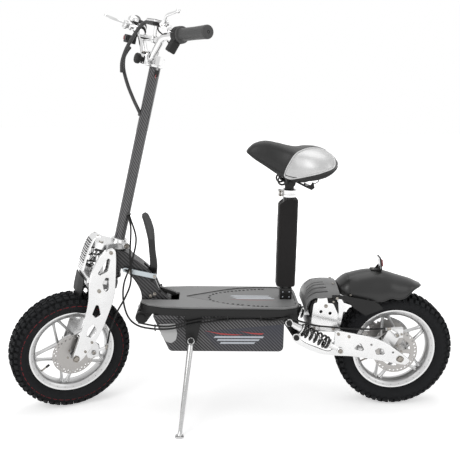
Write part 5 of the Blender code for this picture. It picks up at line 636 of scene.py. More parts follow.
def tube(points, radii, sides=16, flat=1.0, side=None, closed=False, dome=0.5):
    """A round bar along points, one radius or one a point; dome rounds its ends."""
    points = [Vector(p) for p in points]
    radii = [radii] * len(points) if isinstance(radii, (int, float)) else list(radii)
    if not closed and dome:
        for _ in range(2):
            points.reverse()
            radii.reverse()
            end, wide = points[-1], radii[-1]
            out = (end - points[-2]).normalized()
            points += [end + out * wide * dome * up for up, _ in DOME]
            radii += [wide * narrow for _, narrow in DOME]
    count = len(points)
    across = Vector(side) if side else (points[1] - points[0]).normalized().orthogonal()
    rings = []
    for i, point in enumerate(points):
        before = points[i - 1] if closed or i else point
        after = points[(i + 1) % count] if closed or i < count - 1 else point
        ahead = (after - before).normalized()
        across = (across - ahead * across.dot(ahead)).normalized()
        up = ahead.cross(across)
        ring = []
        for k in range(sides):
            turn = math.tau * k / sides
            sideways = across * (radii[i] * flat * math.cos(turn))
            ring.append(point + sideways + up * (radii[i] * math.sin(turn)))
        rings.append(ring)
    return loft(rings, closed)


def ribbed(points, radius, pitch=0.0032, depth=0.0007, sides=14):
    """A spiral-wrapped sleeve: a tube whose radius rises and falls along its way."""
    line = route(points, pitch / 4)
    radii = [radius - depth * (0.5 + 0.5 * math.cos(math.tau * i / 4)) for i in range(len(line))]
    return tube(line, radii, sides)


def coil(start, end, radius, wire, turns, per_turn=28, sides=10):
    """A coil spring with close turns at both ends."""
    start, end = Vector(start), Vector(end)
    ahead = (end - start).normalized()
    across = ahead.orthogonal().normalized()
    up = ahead.cross(across)
    length = (end - start).length - 2 * wire
    close = 2 * wire + 0.0004
    points = []
    for i in range(round(turns * per_turn) + 1):
        turn = i / per_turn
        middle = min(max(min(turn, turns) - 1, 0), turns - 2)
        far = close * (turn - middle) + (length - 2 * close) * middle / (turns - 2)
        at = start + ahead * (wire + far)
        angle = math.tau * turn
        points.append(at + across * (radius * math.cos(angle)) + up * (radius * math.sin(angle)))
    return tube(points, wire, sides)


def sheet(grid, thickness):
    """A grid of points thickened to its inner side, with closed edges."""
    rows, across = len(grid), len(grid[0])
    outer = [[Vector(p) for p in row] for row in grid]
    points = [p for row in outer for p in row]
    for r in range(rows):
        for c in range(across):
            along = outer[min(r + 1, rows - 1)][c] - outer[max(r - 1, 0)][c]
            sideways = outer[r][min(c + 1, across - 1)] - outer[r][max(c - 1, 0)]
            points.append(outer[r][c] - along.cross(sideways).normalized() * thickness)
    faces, back = [], rows * across
    for r in range(rows - 1):
        for c in range(across - 1):
            a = r * across + c
            faces.append((a, a + 1, a + 1 + across, a + across))
            faces.append((back + a, back + a + across, back + a + across + 1, back + a + 1))
    border = list(range(across))
    border += [r * across + across - 1 for r in range(1, rows)]
    border += [(rows - 1) * across + c for c in range(across - 2, -1, -1)]
    border += [r * across for r in range(rows - 2, 0, -1)]
    for a, b in zip(border, border[1:] + border[:1]):
        faces.append((a, back + a, back + b, b))
    return points, faces


def merged(*shapes):
    points, faces = [], []
    for more, sides in shapes:
        faces += [tuple(len(points) + i for i in face) for face in sides]
        points += [Vector(p) for p in more]
    return points, faces


def placed(shape, matrix):
    return [matrix @ Vector(p) for p in shape[0]], shape[1]


def aim(at, way, side=None):
    """The matrix that carries the Y axis onto a way out of a point."""
    way = Vector(way).normalized()
    across = Vector(side) if side else way.orthogonal()
    across = (across - way * across.dot(way)).normalized()
    turn = Matrix((across, way, across.cross(way))).transposed()
    return Matrix.Translation(Vector(at)) @ turn.to_4x4()


def standing(x=0.0, y=0.0, z=0.0):
    """The matrix that stands the Y axis upright on a point."""
    return aim((x, y, z), (0, 0, 1))


def axes(at, ahead, across, up):
    """The matrix of a frame with these axes at a point."""
    return Matrix.Translation(at) @ Matrix((ahead, across, up)).transposed().to_4x4()


def rod(start, end, radius, steps=28, edge=0.0005):
    """A cylinder from one point to another."""
    start, end = Vector(start), Vector(end)
    return placed(drum(radius, 0.0, (end - start).length, edge, steps), aim(start, end - start))


def hex_bolt(at, way, size=0.005):
    """A hexagon head on its washer, with the screw's end showing."""
    parts = merged(
        drum(size * 1.35, 0.0, size * 0.22, 0.0003, 24),
        plate([circle(0, 0, size * 1.08, 6)], size * 0.22, size * 0.95, "y", 0.0004, 2),
        drum(size * 0.55, size * 0.9, size * 1.25, 0.0004, 20),
    )
    return placed(parts, aim(at, way))


def cap_bolt(at, way, size=0.004, tall=0.8):
    """A round head with a hexagon socket in it."""
    top = size * tall
    head = [circle(0, 0, size, 24), circle(0, 0, size * 0.5, 6)]
    parts = merged(
        drum(size * 0.98, 0.0, top * 0.5, 0.0003, 24),
        plate(head, top * 0.3, top, "y", 0.0004, 2),
    )
    return placed(parts, aim(at, way))


# Objects


def new_object(name, points, faces, placing):
    """A linked object whose faces all look outwards."""
    mesh = bpy.data.meshes.new(name)
    mesh.from_pydata([tuple(p) for p in points], [], faces)
    work = bmesh.new()
    work.from_mesh(mesh)
    bmesh.ops.recalc_face_normals(work, faces=work.faces)
    work.to_mesh(mesh)
    work.free()
    obj = bpy.data.objects.new(name, mesh)
    bpy.context.scene.collection.objects.link(obj)
    obj.matrix_world = placing
    return obj


def shade(obj, sharp=SHARP):
    """Smooth shading, with edges over an angle in degrees kept sharp."""
    obj.data.shade_smooth()
    obj.data.set_sharp_from_angle(angle=math.radians(sharp))
    obj.modifiers.new("even_shading", "WEIGHTED_NORMAL").keep_sharp = True


def cut_out(obj, shapes):
    """Takes shapes out of an object with exact Booleans and keeps the result as its mesh."""
    cutter = new_object("cutter", *merged(*shapes), obj.matrix_world)
    obj.modifiers.clear()
    step = obj.modifiers.new("cut", "BOOLEAN")
    step.object = cutter
    step.operation = "DIFFERENCE"
    bpy.context.view_layer.update()
    seen = obj.evaluated_get(bpy.context.evaluated_depsgraph_get())
    kept = bpy.data.meshes.new_from_object(seen)
    obj.modifiers.clear()
    obj.data = kept
    bpy.data.objects.remove(cutter)
    shade(obj)


class Piece:
    """Gathers shapes that are drawn in one frame, each with its finish, into one object."""

    def __init__(self, name, placing=Matrix.Identity(4)):
        self.name, self.placing = name, placing
        self.points, self.faces, self.slots, self.keys = [], [], [], []

    def add(self, shape, key, matrix=None):
        points, faces = placed(shape, matrix) if matrix else shape
        if key not in self.keys:
            self.keys.append(key)
        base = len(self.points)
        self.points += points
        self.faces += [tuple(base + i for i in face) for face in faces]
        self.slots += [self.keys.index(key)] * len(faces)

    def object(self, sharp=SHARP):
        obj = new_object(self.name, self.points, self.faces, self.placing)
        for key in self.keys:
            obj.data.materials.append(M[key])
        obj.data.polygons.foreach_set("material_index", self.slots)
        shade(obj, sharp)
        return obj

    def make(self, body, slot, *nodes, sharp=SHARP, cuts=None):
        """The object, riding on a body and standing for the nodes that it replaces."""
        obj = self.object(sharp)
        if cuts:
            cut_out(obj, cuts)
        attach(obj, body)
        if nodes:
            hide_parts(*nodes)
        return obj

    def bend(self, bodies, start, end, slot, *nodes):
        """The object with its placing baked into its mesh, standing for the nodes that it replaces;
        bodies, start and end are not used.
        """
        obj = self.object()
        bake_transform(obj)
        if nodes:
            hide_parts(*nodes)


def dress(name, key, bevel):
    """Gives a CAD node its finish, soft edges and smooth round sides."""
    obj = NODES[name]
    mesh = obj.data
    if "custom_normal" in mesh.attributes:
        mesh.attributes.remove(mesh.attributes["custom_normal"])
    mesh.materials.clear()
    mesh.materials.append(M[key])
    obj.modifiers.new("weld", "WELD").merge_threshold = 0.00001
    soft = obj.modifiers.new("soft_edges", "BEVEL")
    soft.width = bevel
    soft.segments = 2
    soft.limit_method = "ANGLE"
    soft.angle_limit = math.radians(SHARP)
    shade(obj)


# Wheels, drawn about their own axle


def tread_block(around, across, width, length, skew, height):
    """One block on the carcass: around is its angle, across its place and axes on the profile."""
    radius, y, out, along = across
    points = []
    for share, up in ((1.0, -0.0012), (0.98, height * 0.72), (0.86, height)):
        for s, t in ((-1, -1), (1, -1), (1, 1), (-1, 1)):
            sideways = t * width * share
            r = radius + sideways * along[0] + up * out[0]
            place_y = y + sideways * along[1] + up * out[1]
            angle = around + (s * length * share + skew * t) / radius
            points.append((r * math.cos(angle), place_y, r * math.sin(angle)))
    faces = [(0, 1, 2, 3), (8, 9, 10, 11)]
    for level in (0, 4):
        for k in range(4):
            j = (k + 1) % 4
            faces.append((level + k, level + j, level + 4 + j, level + 4 + k))
    return points, faces


def tyre(name, body):
    """Off-road tyre: rounded carcass, three rows of blocks a side and small sidewall ribs."""
    half = mm(
        (122.2, 20.8), (122.8, 22.6), (131.2, 22.6), (133.8, 26.2), (136.8, 31.8), (142, 37.2),
        (149, 40.2), (151.2, 40.7), (155.8, 40.7), (158.5, 40), (164, 38.2), (168.2, 34),
        (171.8, 28), (174.2, 20.5), (175.6, 12), (176, 4)
    )
    profile = [(r, -y) for r, y in half] + [(r, y) for r, y in reversed(half)]
    piece = Piece(name, AXLES[body])
    piece.add(lathe(profile, 132, True), "tyre_ring" if body == "front_wheel" else "tyre")
    # Each row: radius, y, way out, half width, half length, skew, height, phase
    rows = (
        (0.1754, 0.0072, (1.0, 0.03), 0.0058, 0.0058, 0.0012, 0.0085, 0.0),
        (0.1728, 0.0214, (0.96, 0.28), 0.006, 0.0056, -0.0012, 0.0104, 0.0),
        (0.1672, 0.033, (0.66, 0.75), 0.0056, 0.0058, 0.0, 0.0082, 0.5),
    )
    count = 54
    for side in SIDES:
        for radius, y, out, width, length, skew, height, phase in rows:
            normal = Vector(out).normalized()
            across = (radius, side * y, (normal.x, side * normal.y), (-normal.y * side, normal.x))
            for i in range(count):
                shift = 0.12 if side > 0 else 0.0
                angle = math.tau * (i + phase + shift) / count
                longer = 1.22 if i % 2 else 1.0
                wide = width * (1.18 if i % 2 and y > 0.03 else 1.0)
                block = tread_block(angle, across, wide, length * longer, skew * side, height)
                piece.add(block, "tyre")
    for side in SIDES:
        for i in range(count):
            angle = math.tau * (i + 0.5 + (0.5 if side > 0 else 0.0)) / count
            across = (0.1585, side * 0.04, (0.2, side * 0.98), (-0.98 * side, 0.2))
            piece.add(tread_block(angle, across, 0.0044, 0.0011, 0.0, 0.001), "tyre")
    piece.make(body, "tyre", name, sharp=38)


def spoke(angle, lean):
    """One thin cast spoke with a raised ridge, meeting its twin at the band."""
    stations = mm((20, 6.2, 12.5), (42, 4.2, 11), (75, 3.5, 10), (100, 4, 10.6), (109.5, 6.4, 12.2))
    ridge = ((-1, 0.55), (-0.45, 0.72), (-0.28, 1), (0.28, 1), (0.45, 0.72), (1, 0.55))
    rings = []
    for reach, half, deep in stations:
        sideways = lean * (0.0078 + 0.26 * (0.1095 - reach))
        section = [(half * s, -deep * t) for s, t in ridge]
        section += [(half * s, deep * t) for s, t in reversed(ridge)]
        rings.append([(reach, y, sideways + s) for s, y in section])
    return placed(loft(finer(rings, 1, 5)), Matrix.Rotation(-angle, 4, "Y"))


def rim(name, body):
    """Cast silver rim with a polished lip, pairs of ridged spokes, hub and valve."""
    band = mm((130, 22.9), (130.8, 24), (130.6, 25.7), (129.6, 26), (127.2, 25.6))
    well = mm((122.8, 22.9), (122.2, 20.5), (121.5, 0))
    face = mm((125.8, 25.2), (124, 24.2), (118, 22.5), (112.5, 17.8), (109.8, 12), (108.5, 0))
    piece = Piece(name, AXLES[body])
    for side in SIDES:
        lip = [(0.1228, 0.0229), *band, (0.1258, 0.0252)]
        piece.add(lathe([(r, side * y) for r, y in lip], 128), "lip")
        piece.add(lathe([(r, side * y) for r, y in face], 128), "rim")
        piece.add(lathe([(r, side * y) for r, y in well], 96), "rim")
        ring = collar(0.0215, 0.0125, 0.0, 0.0022, 0.0006, 48)
        piece.add(ring, "steel", aim((0, side * 0.038, 0), (0, side, 0)))
        for i in range(30):
            angle = math.tau * (i + 0.5) / 30
            at = (0.1212 * math.cos(angle), side * 0.023, 0.1212 * math.sin(angle))
            piece.add(drum(0.0016, 0.0, 0.0012, 0.0005, 12), "steel", aim(at, (0, side, 0)))
    hub = mm(
        (6.4, -39.8), (22.5, -39.8), (24, -38.5), (24.5, -25), (26.8, -15), (27, 15), (24.5, 25),
        (24, 38.5), (22.5, 39.8), (6.4, 39.8)
    )
    piece.add(lathe(hub, 64, True), "rim")
    spider = [circle(0, 0, 0.041, 64), circle(0, 0, 0.02, 40)]
    piece.add(plate(spider, -0.0115, 0.0115, "y", 0.0025, 3), "rim")
    first, valve = (33, 208) if body == "rear_wheel" else (54, 226)
    for i in range(5):
        angle = math.radians(first + 72 * i)
        for lean in SIDES:
            piece.add(spoke(angle, lean), "rim")
    at = math.radians(valve)
    stem = Vector((math.cos(at), 0.0, math.sin(at)))
    piece.add(rod(stem * 0.1095, stem * 0.09, 0.0028, 20), "zinc")
    piece.add(rod(stem * 0.0925, stem * 0.08, 0.0037, 20, 0.0012), "gloss_black")
    piece.make(body, "cast", name, sharp=30)


def brake_disc(name, body, radius, rows, hole, arms):
    """Turned steel disc with drilled holes and carrier bolts; the rear one is open between arms."""
    loops = [circle(0, 0, radius, 128), circle(0, 0, 0.0125, 40)]
    for count, reach, phase in rows:
        for i in range(count):
            angle = math.tau * (i + phase) / count
            loops.append(circle(reach * math.cos(angle), reach * math.sin(angle), hole, 14))
    inner, outer = 0.026, radius - 0.0215
    for i in range(arms if body == "rear_wheel" else 0):
        first = 360.0 * i / arms + 9.0
        last = 360.0 * (i + 1) / arms - 9.0
        loops.append(arc(0, 0, outer, first, last, 14) + arc(0, 0, inner, last - 4, first + 4, 10))
    thick = 0.0026
    piece = Piece(name, AXLES[body])
    piece.add(plate(loops, -DISC_Y - thick / 2, -DISC_Y + thick / 2, "y", 0.0003, 1), "disc")
    for i in range(arms):
        angle = math.tau * i / arms
        at = (0.02 * math.cos(angle), -DISC_Y - thick / 2, 0.02 * math.sin(angle))
        piece.add(cap_bolt(at, (0, -1, 0), 0.0032, 0.5), "zinc")
    piece.make(body, "steel", name, sharp=30)


def axle(name, body, half_length, spacer_end):
    """Axle bolt with a nut and washer at each end, and the hub's spacers."""
    piece = Piece(name, AXLES[body])
    piece.add(drum(0.0058, -half_length - 0.005, half_length + 0.0066, 0.0008, 32), "zinc")
    for side in SIDES:
        turn = aim((0, side * half_length, 0), (0, side, 0))
        piece.add(collar(0.0105, 0.0058, 0.0003, 0.0016, 0.0003, 40), "zinc", turn)
        nut = [circle(0, 0, 0.0098, 6), circle(0, 0, 0.0057, 24)]
        piece.add(plate(nut, 0.0016, 0.0066, "y", 0.0007, 2), "zinc", turn)
        spacer = collar(0.0098, 0.0058, HUB_END, spacer_end, 0.0006, 40)
        piece.add(spacer, "steel", aim((0, 0, 0), (0, side, 0)))
    piece.make(body, "steel", name)


# Steered front end, drawn in the steering frame


def bent(corners, reach=0.016, steps=8):
    """A bar's centre line with its bends rounded."""
    out = [Vector(corners[0])]
    for before, corner, after in zip(corners, corners[1:], corners[2:]):
        back, ahead = (before - corner), (after - corner)
        near = min(reach, 0.45 * back.length, 0.45 * ahead.length)
        start, end = corner + back.normalized() * near, corner + ahead.normalized() * near
        for k in range(steps + 1):
            t = k / steps
            out.append(start * (1 - t) ** 2 + corner * (2 * t * (1 - t)) + end * t**2)
    return [*out, Vector(corners[-1])]


BAR_RADIUS = 0.0111
BAR_CLAMP = Vector((-0.025, 0.0, 1.088))
BAR_CORNERS = (
    BAR_CLAMP,
    Vector((-0.026, 0.034, 1.09)),
    Vector((-0.03, 0.095, 1.15)),
    Vector((-0.0175, 0.14, 1.16)),
    Vector((0.01, 0.29, 1.186)),
)
CROSSBAR = Vector((-0.0295, 0.084, 1.14))
KEY_TOP = Vector((-0.012, -0.052, 1.071))
LEVERS = {
    -1: (Vector((-0.047, -0.128, 1.185)), Vector((-0.048, -0.212, 1.221))),
    1: (Vector((-0.07, 0.13, 1.164)), Vector((-0.1, 0.246, 1.178))),
}
DISPLAY = Vector((-0.048, -0.072, 1.183))


def mirrored(side, point):
    """A point of the right half of the bar, or the same place on the left."""
    return Vector((point.x, side * point.y, point.z))


def bar_frame(side, inboard):
    """A point on the bar, a distance in from its tip, and the way out along the bar there."""
    high, bend, end = (mirrored(side, p) for p in BAR_CORNERS[2:])
    straight = (end - bend).length
    if inboard <= straight:
        way = (end - bend).normalized()
        return end - way * inboard, way
    way = (bend - high).normalized()
    return bend - way * (inboard - straight), way


def lever_frame(side):
    """Where a lever's clamp sits, the way out along the bar, to the hinge and along its pin."""
    clamp_at, ahead = bar_frame(side, 0.158)
    reach = (LEVERS[side][0] - clamp_at).normalized()
    return clamp_at, ahead, reach, reach.cross(ahead).normalized()


def handlebar():
    """Chromed bar, cross tube, stem clamp, key switch and the levers' clamps."""
    piece = Piece("handlebar_tubes", STEER)
    left = bent([mirrored(-1, p) for p in BAR_CORNERS])
    right = bent(list(BAR_CORNERS))
    piece.add(tube([*reversed(left), *right[1:]], BAR_RADIUS, 36, dome=0.1), "chrome")
    piece.add(tube([mirrored(-1, CROSSBAR), CROSSBAR], 0.0085, 32, dome=0), "chrome")
    for side in SIDES:
        end = mirrored(side, CROSSBAR)
        fillet = [end - Vector((0, side * shift, 0)) for shift in (0.0095, 0.0065, 0.0035, 0.0)]
        piece.add(tube(fillet, [0.0085, 0.0093, 0.0108, 0.0122], 32, dome=0), "chrome")
    piece.add(drum(0.0142, 1.014, 1.07, 0.0008), "steel", standing())
    stem = oblong(0.0315, 0.021, 0.009, -0.0115, 0.0)
    piece.add(plate([stem], 1.0643, 1.0925, "z", 0.003, 4), "chrome")
    cap = collar(0.0185, BAR_RADIUS, -0.023, 0.023, 0.0016, 48)
    piece.add(cap, "chrome", Matrix.Translation(BAR_CLAMP))
    for x, y in mm((-38.5, -15), (-38.5, 15), (-10, -15), (-10, 15)):
        piece.add(cap_bolt((x, y, 1.099 if x < -0.03 else 1.1), (0, 0, 1), 0.0034, 0.9), "zinc")
    # The round knob that clamps the stem, and the key switch below the bar
    knob = mm((0, 0), (6, 0), (6, 6), (13.5, 8), (15, 11), (15, 18), (12.5, 21.5), (0, 22.5))
    piece.add(lathe(knob, 40), "black_plastic", aim((-0.043, 0.0, 1.078), (-1, 0, 0.05)))
    barrel = mm((0, -0.3), (6, -0.3), (6.5, 1.5), (10.5, 1.5), (11.5, 2.5), (11.5, 26), (0, 27))
    piece.add(lathe(barrel, 40), "chrome", standing(*KEY_TOP))
    piece.add(collar(0.01, 0.0055, -0.0004, 0.0018, 0.0004), "chrome", standing(*KEY_TOP))
    near, far = (KEY_TOP + Vector((0, y, 0.02)) for y in (0.034, 0.0))
    piece.add(rod(near, far, 0.007, 24), "chrome")
    for side in SIDES:
        clamp_at, ahead, reach, pin_way = lever_frame(side)
        hinge = LEVERS[side][0]
        back = hinge - reach * 0.016
        ring = collar(BAR_RADIUS + 0.0055, BAR_RADIUS, -0.009, 0.009, 0.0012, 40)
        piece.add(ring, "chrome", aim(clamp_at, ahead, reach))
        arm = route([clamp_at, clamp_at.lerp(back, 0.5), back], 0.003)
        piece.add(tube(arm, 0.0086, 20, dome=0.3), "chrome")
        piece.add(rod(back - pin_way * 0.0105, back + pin_way * 0.0105, 0.007, 24), "chrome")
        piece.add(rod(hinge - pin_way * 0.0112, hinge + pin_way * 0.0112, 0.0022, 16), "zinc")
        piece.add(cap_bolt(hinge + pin_way * 0.0105, pin_way, 0.0042, 0.5), "zinc")
        screw = clamp_at - reach * (BAR_RADIUS + 0.0045)
        piece.add(cap_bolt(screw, -reach, 0.0034, 0.7), "zinc")
        adjust = clamp_at + reach * 0.02
        barrel = lathe(mm((0, 0), (4.2, 0), (4.2, 6), (5.2, 7), (5.2, 14), (3.6, 17), (0, 17)), 24)
        piece.add(barrel, "chrome", aim(adjust, -ahead))
        for level in SIDES:
            near, far = pin_way * level * 0.00525, pin_way * level * 0.0105
            between = (near + far) / 2
            web = tube([back + between, hinge + between], 0.0075, 16, 0.34, pin_way)
            piece.add(merged(rod(hinge + near, hinge + far, 0.0085, 28), web), "chrome")
    piece.make("steering", "chrome", "handlebar")


def lever_blade(name, side):
    """Slim chromed lever, widest at its bend, with a round tip."""
    hinge, tip = LEVERS[side]
    _, ahead, reach, pin_way = lever_frame(side)
    middle = hinge + (tip - hinge) * 0.35 + reach * 0.01
    late = hinge + (tip - hinge) * 0.75 + reach * 0.004
    line = route([hinge + ahead * 0.004, middle, late, tip], 0.004)
    last = len(line) - 1
    radii = []
    for i in range(last + 1):
        radii.append(0.0044 - 0.0008 * i / last - 0.0004 * math.cos(math.tau * i / last))
    piece = Piece(name + "_blade", STEER)
    piece.add(tube(line, radii, 20, 1.25, pin_way), "chrome")
    piece.add(rod(hinge - pin_way * 0.0048, hinge + pin_way * 0.0048, 0.0085, 32), "chrome")
    ball = lathe(arc(0, 0, 0.0062, -90, 90, 12), 28)
    piece.add(ball, "chrome", Matrix.Translation(tip))
    piece.make(name, "chrome", name)


def grip(name, side, body):
    """Rubber grip: flange inboard, fine lengthwise ribs, a waist and a capped end."""
    start, ahead = bar_frame(side, 0.118)
    turn = aim(start, ahead)
    rings = []
    stations = mm(
        (0, 20), (0.6, 22.2), (3, 22.6), (4.6, 21.4), (5.6, 17.6), (10, 17.2), (60, 16.6),
        (106, 17.3), (111, 17.8), (117.5, 17.8), (120, 16.8), (121.6, 14), (121.9, 4)
    )
    sides = 96
    for place, radius in stations:
        ribs = 0.00035 if 0.008 < place < 0.108 else 0.0
        ring = []
        for k in range(sides):
            wave = radius - ribs * (1 if k % 4 < 2 else 0)
            angle = math.tau * k / sides
            ring.append((wave * math.cos(angle), place, wave * math.sin(angle)))
        rings.append(ring)
    piece = Piece(name + "_sleeve", STEER)
    piece.add(loft(rings), "rubber", turn)
    piece.add(collar(0.0046, 0.0022, 0.1212, 0.1221, 0.0002, 24), "black_plastic", turn)
    piece.make(body, "black_rubber", name, sharp=50)


def throttle_housing():
    """Two-piece clamp with its sender below, screws and the cable that leaves it."""
    outer, ahead = bar_frame(-1, 0.1183)
    inner = outer - ahead * 0.023
    middle = (inner + outer) / 2
    piece = Piece("throttle_clamp", STEER)
    ring = mm(
        (12, 0), (20.5, 0), (22.2, 1.2), (23.2, 3.5), (23.2, 9.8), (22.6, 10.4), (22.6, 11.2),
        (23.2, 11.8), (23.2, 20), (22.2, 22), (20.5, 23), (12, 23)
    )
    piece.add(lathe(ring, 56, True), "black_plastic", aim(inner, ahead))
    drop = Vector((-0.3, 0.12, -1.0)).normalized()
    side = drop.cross(ahead).normalized()
    turn = aim(middle + drop * 0.01, drop, ahead)
    body = plate([oblong(0.0112, 0.0118, 0.004)], 0.0, 0.04, "y", 0.0022, 3)
    piece.add(body, "black_plastic", turn)
    lid = plate([oblong(0.0098, 0.0104, 0.0035)], 0.04, 0.0412, "y", 0.0005, 2)
    piece.add(lid, "gloss_black", turn)
    for share in SIDES:
        screw = middle + side * share * 0.0205 + drop * 0.004
        piece.add(cap_bolt(screw, drop, 0.0026, 0.6), "steel")
    piece.make("steering", "black_plastic", "throttle_housing")
    lead = [
        middle + drop * 0.046 - side * 0.004,
        middle + drop * 0.046 - ahead * 0.012,
        (-0.015, -0.118, 1.132),
        (-0.031, -0.11, 1.152),
        (-0.043, -0.085, 1.164),
        (-0.044, -0.075, 1.176),
    ]
    wire = Piece("throttle_lead", STEER)
    wire.add(tube(route(lead, 0.003), 0.0019, 14), "cable")
    wire.make("steering", "black_plastic")


def display():
    """Meter box on the cross tube, with a recessed window and two rubber keys."""
    piece = Piece("display_case", STEER)
    at = DISPLAY
    case = oblong(0.022, 0.036, 0.008, at.x, at.y)
    piece.add(plate([case], at.z - 0.008, at.z + 0.0016, "z", 0.003, 4), "black_plastic")
    piece.add(plate([case], at.z + 0.0012, at.z + 0.0062, "z", 0.0012, 3), "cast")
    rim_loop = oblong(0.02, 0.034, 0.007, at.x, at.y)
    opening = oblong(0.0135, 0.0215, 0.003, at.x, at.y - 0.005)
    frame_loops = [rim_loop, opening]
    piece.add(plate(frame_loops, at.z + 0.006, at.z + 0.0079, "z", 0.0006, 2), "gloss_black")
    window = oblong(0.0136, 0.0216, 0.003, at.x, at.y - 0.005)
    piece.add(plate([window], at.z + 0.0055, at.z + 0.0068, "z", 0.0002, 1), "glass")
    for shift in (-0.008, 0.008):
        turn = standing(at.x + shift, at.y + 0.0265, at.z)
        piece.add(drum(0.0042, 0.007, 0.0079, 0.0008, 28), "rubber", turn)
    foot = Vector((CROSSBAR.x, -0.036, CROSSBAR.z))
    piece.add(collar(0.0122, 0.0087, -0.006, 0.006, 0.001), "chrome", Matrix.Translation(foot))
    neck_line = [foot + Vector((-0.003, 0, 0.0095)), at + Vector((0.006, 0.014, -0.004))]
    piece.add(tube(neck_line, [0.0062, 0.0052], 24, dome=0), "chrome")
    piece.make("steering", "black_plastic", "display")


def bar_clip():
    """The ring that holds a fitting to the bar."""
    return collar(BAR_RADIUS + 0.0045, BAR_RADIUS + 0.0002, -0.0045, 0.0045, 0.0008)


def bell():
    """Polished domed bell with its striker."""
    at, ahead = bar_frame(1, 0.136)
    base = at + Vector((-0.026, 0.001, 0.016))
    piece = Piece("bell_dome", STEER)
    dome = mm((0, 0.8), (14, 0.8), (15, 0.2), (16.5, 0.4), (16.5, 3))
    for a in (0.0, 0.25, 0.5, 0.75, 1.0, 1.25, 1.45):
        dome.append((0.0165 * math.cos(a), 0.0045 + 0.0128 * math.sin(a)))
    dome.append((0.0, 0.0175))
    piece.add(lathe(dome, 56), "chrome", aim(base, (0, 0, 1)))
    piece.add(bar_clip(), "chrome", aim(at, ahead))
    post = [at + (base - at) * 0.45, base + Vector((0, 0, 0.003))]
    piece.add(tube(post, 0.0048, 20, dome=0), "gloss_black")
    striker = [base + Vector(p) for p in mm((12, 14, -1), (4, 21, 4), (-3, 19.5, 6))]
    piece.add(tube(route(striker, 0.002), 0.0016, 12), "chrome")
    piece.make("steering", "chrome", "bell")


def switch_block():
    """Light and horn switch: a moulded box with two rockers under the bar."""
    at, ahead = bar_frame(1, 0.1775)
    centre = at + Vector((-0.032, -0.012, -0.03))
    piece = Piece("switch_box", STEER)
    case = oblong(0.015, 0.017, 0.005, centre.x, centre.y)
    piece.add(plate([case], centre.z - 0.0118, centre.z + 0.0118, "z", 0.0026, 3), "black_plastic")
    for y in (-0.0085, 0.008):
        rocker = plate([oblong(0.0052, 0.006, 0.0015, y, 0.0)], 0.0, 0.003, "y", 0.0012, 2)
        turn = aim(centre + Vector((-0.0148, 0, 0.001)), (-1, 0, 0), (0, 1, 0))
        piece.add(rocker, "gloss_black" if y < 0 else "lens", turn)
    piece.add(bar_clip(), "black_plastic", aim(at, ahead))
    post = [at + (centre - at) * 0.38, centre + Vector((0.008, 0, 0.004))]
    piece.add(tube(post, 0.0062, 20, dome=0), "black_plastic")
    piece.make("steering", "black_plastic", "switch_block")


def key():
    """Key with a moulded bow and its small red ring."""
    top = KEY_TOP - Vector((0, 0, 0.0014))
    piece = Piece("key_and_ring", STEER)
    piece.add(rod(top, top - Vector((0, 0, 0.011)), 0.0026, 16), "steel")
    bow = oblong(0.0066, 0.0095, 0.003, top.x, top.z - 0.019)
    hole = circle(top.x, top.z - 0.025, 0.002, 16)
    bow = plate([bow, hole], top.y - 0.0016, top.y + 0.0016, "y", 0.0007, 2)
    piece.add(bow, "gloss_black")
    ring = []
    for i in range(28):
        a = math.tau * i / 28
        across = 0.0028 * math.cos(a)
        ring.append(top + Vector((across * 0.7, across, -0.0278 + 0.0045 * math.sin(a))))
    piece.add(tube(ring, 0.0007, 8, closed=True), "red")
    piece.make("key", "black_plastic", "ignition_key")


def column():
    """Film-covered tube with a rolled collar at its foot and grommets where cables pass."""
    piece = Piece("column_tube", STEER)
    profile = mm((14.7, 545.6), (16.5, 546), (16.5, 1063), (16, 1063.9), (14.7, 1063.9))
    piece.add(lathe(profile, 72, True), "carbon_tube", standing())
    way = (ENTRY - ENTRY_FOOT).normalized()
    grommet = aim(ENTRY_FOOT + way * 0.0215, way)
    piece.add(collar(0.0078, 0.0052, 0.0, 0.005, 0.001), "rubber", grommet)
    grommet = aim(EXIT_FOOT + EXIT_WAY * 0.02, EXIT_WAY)
    piece.add(collar(0.0085, 0.006, 0.0, 0.005, 0.001), "rubber", grommet)
    piece.make("steering", "carbon", "column")


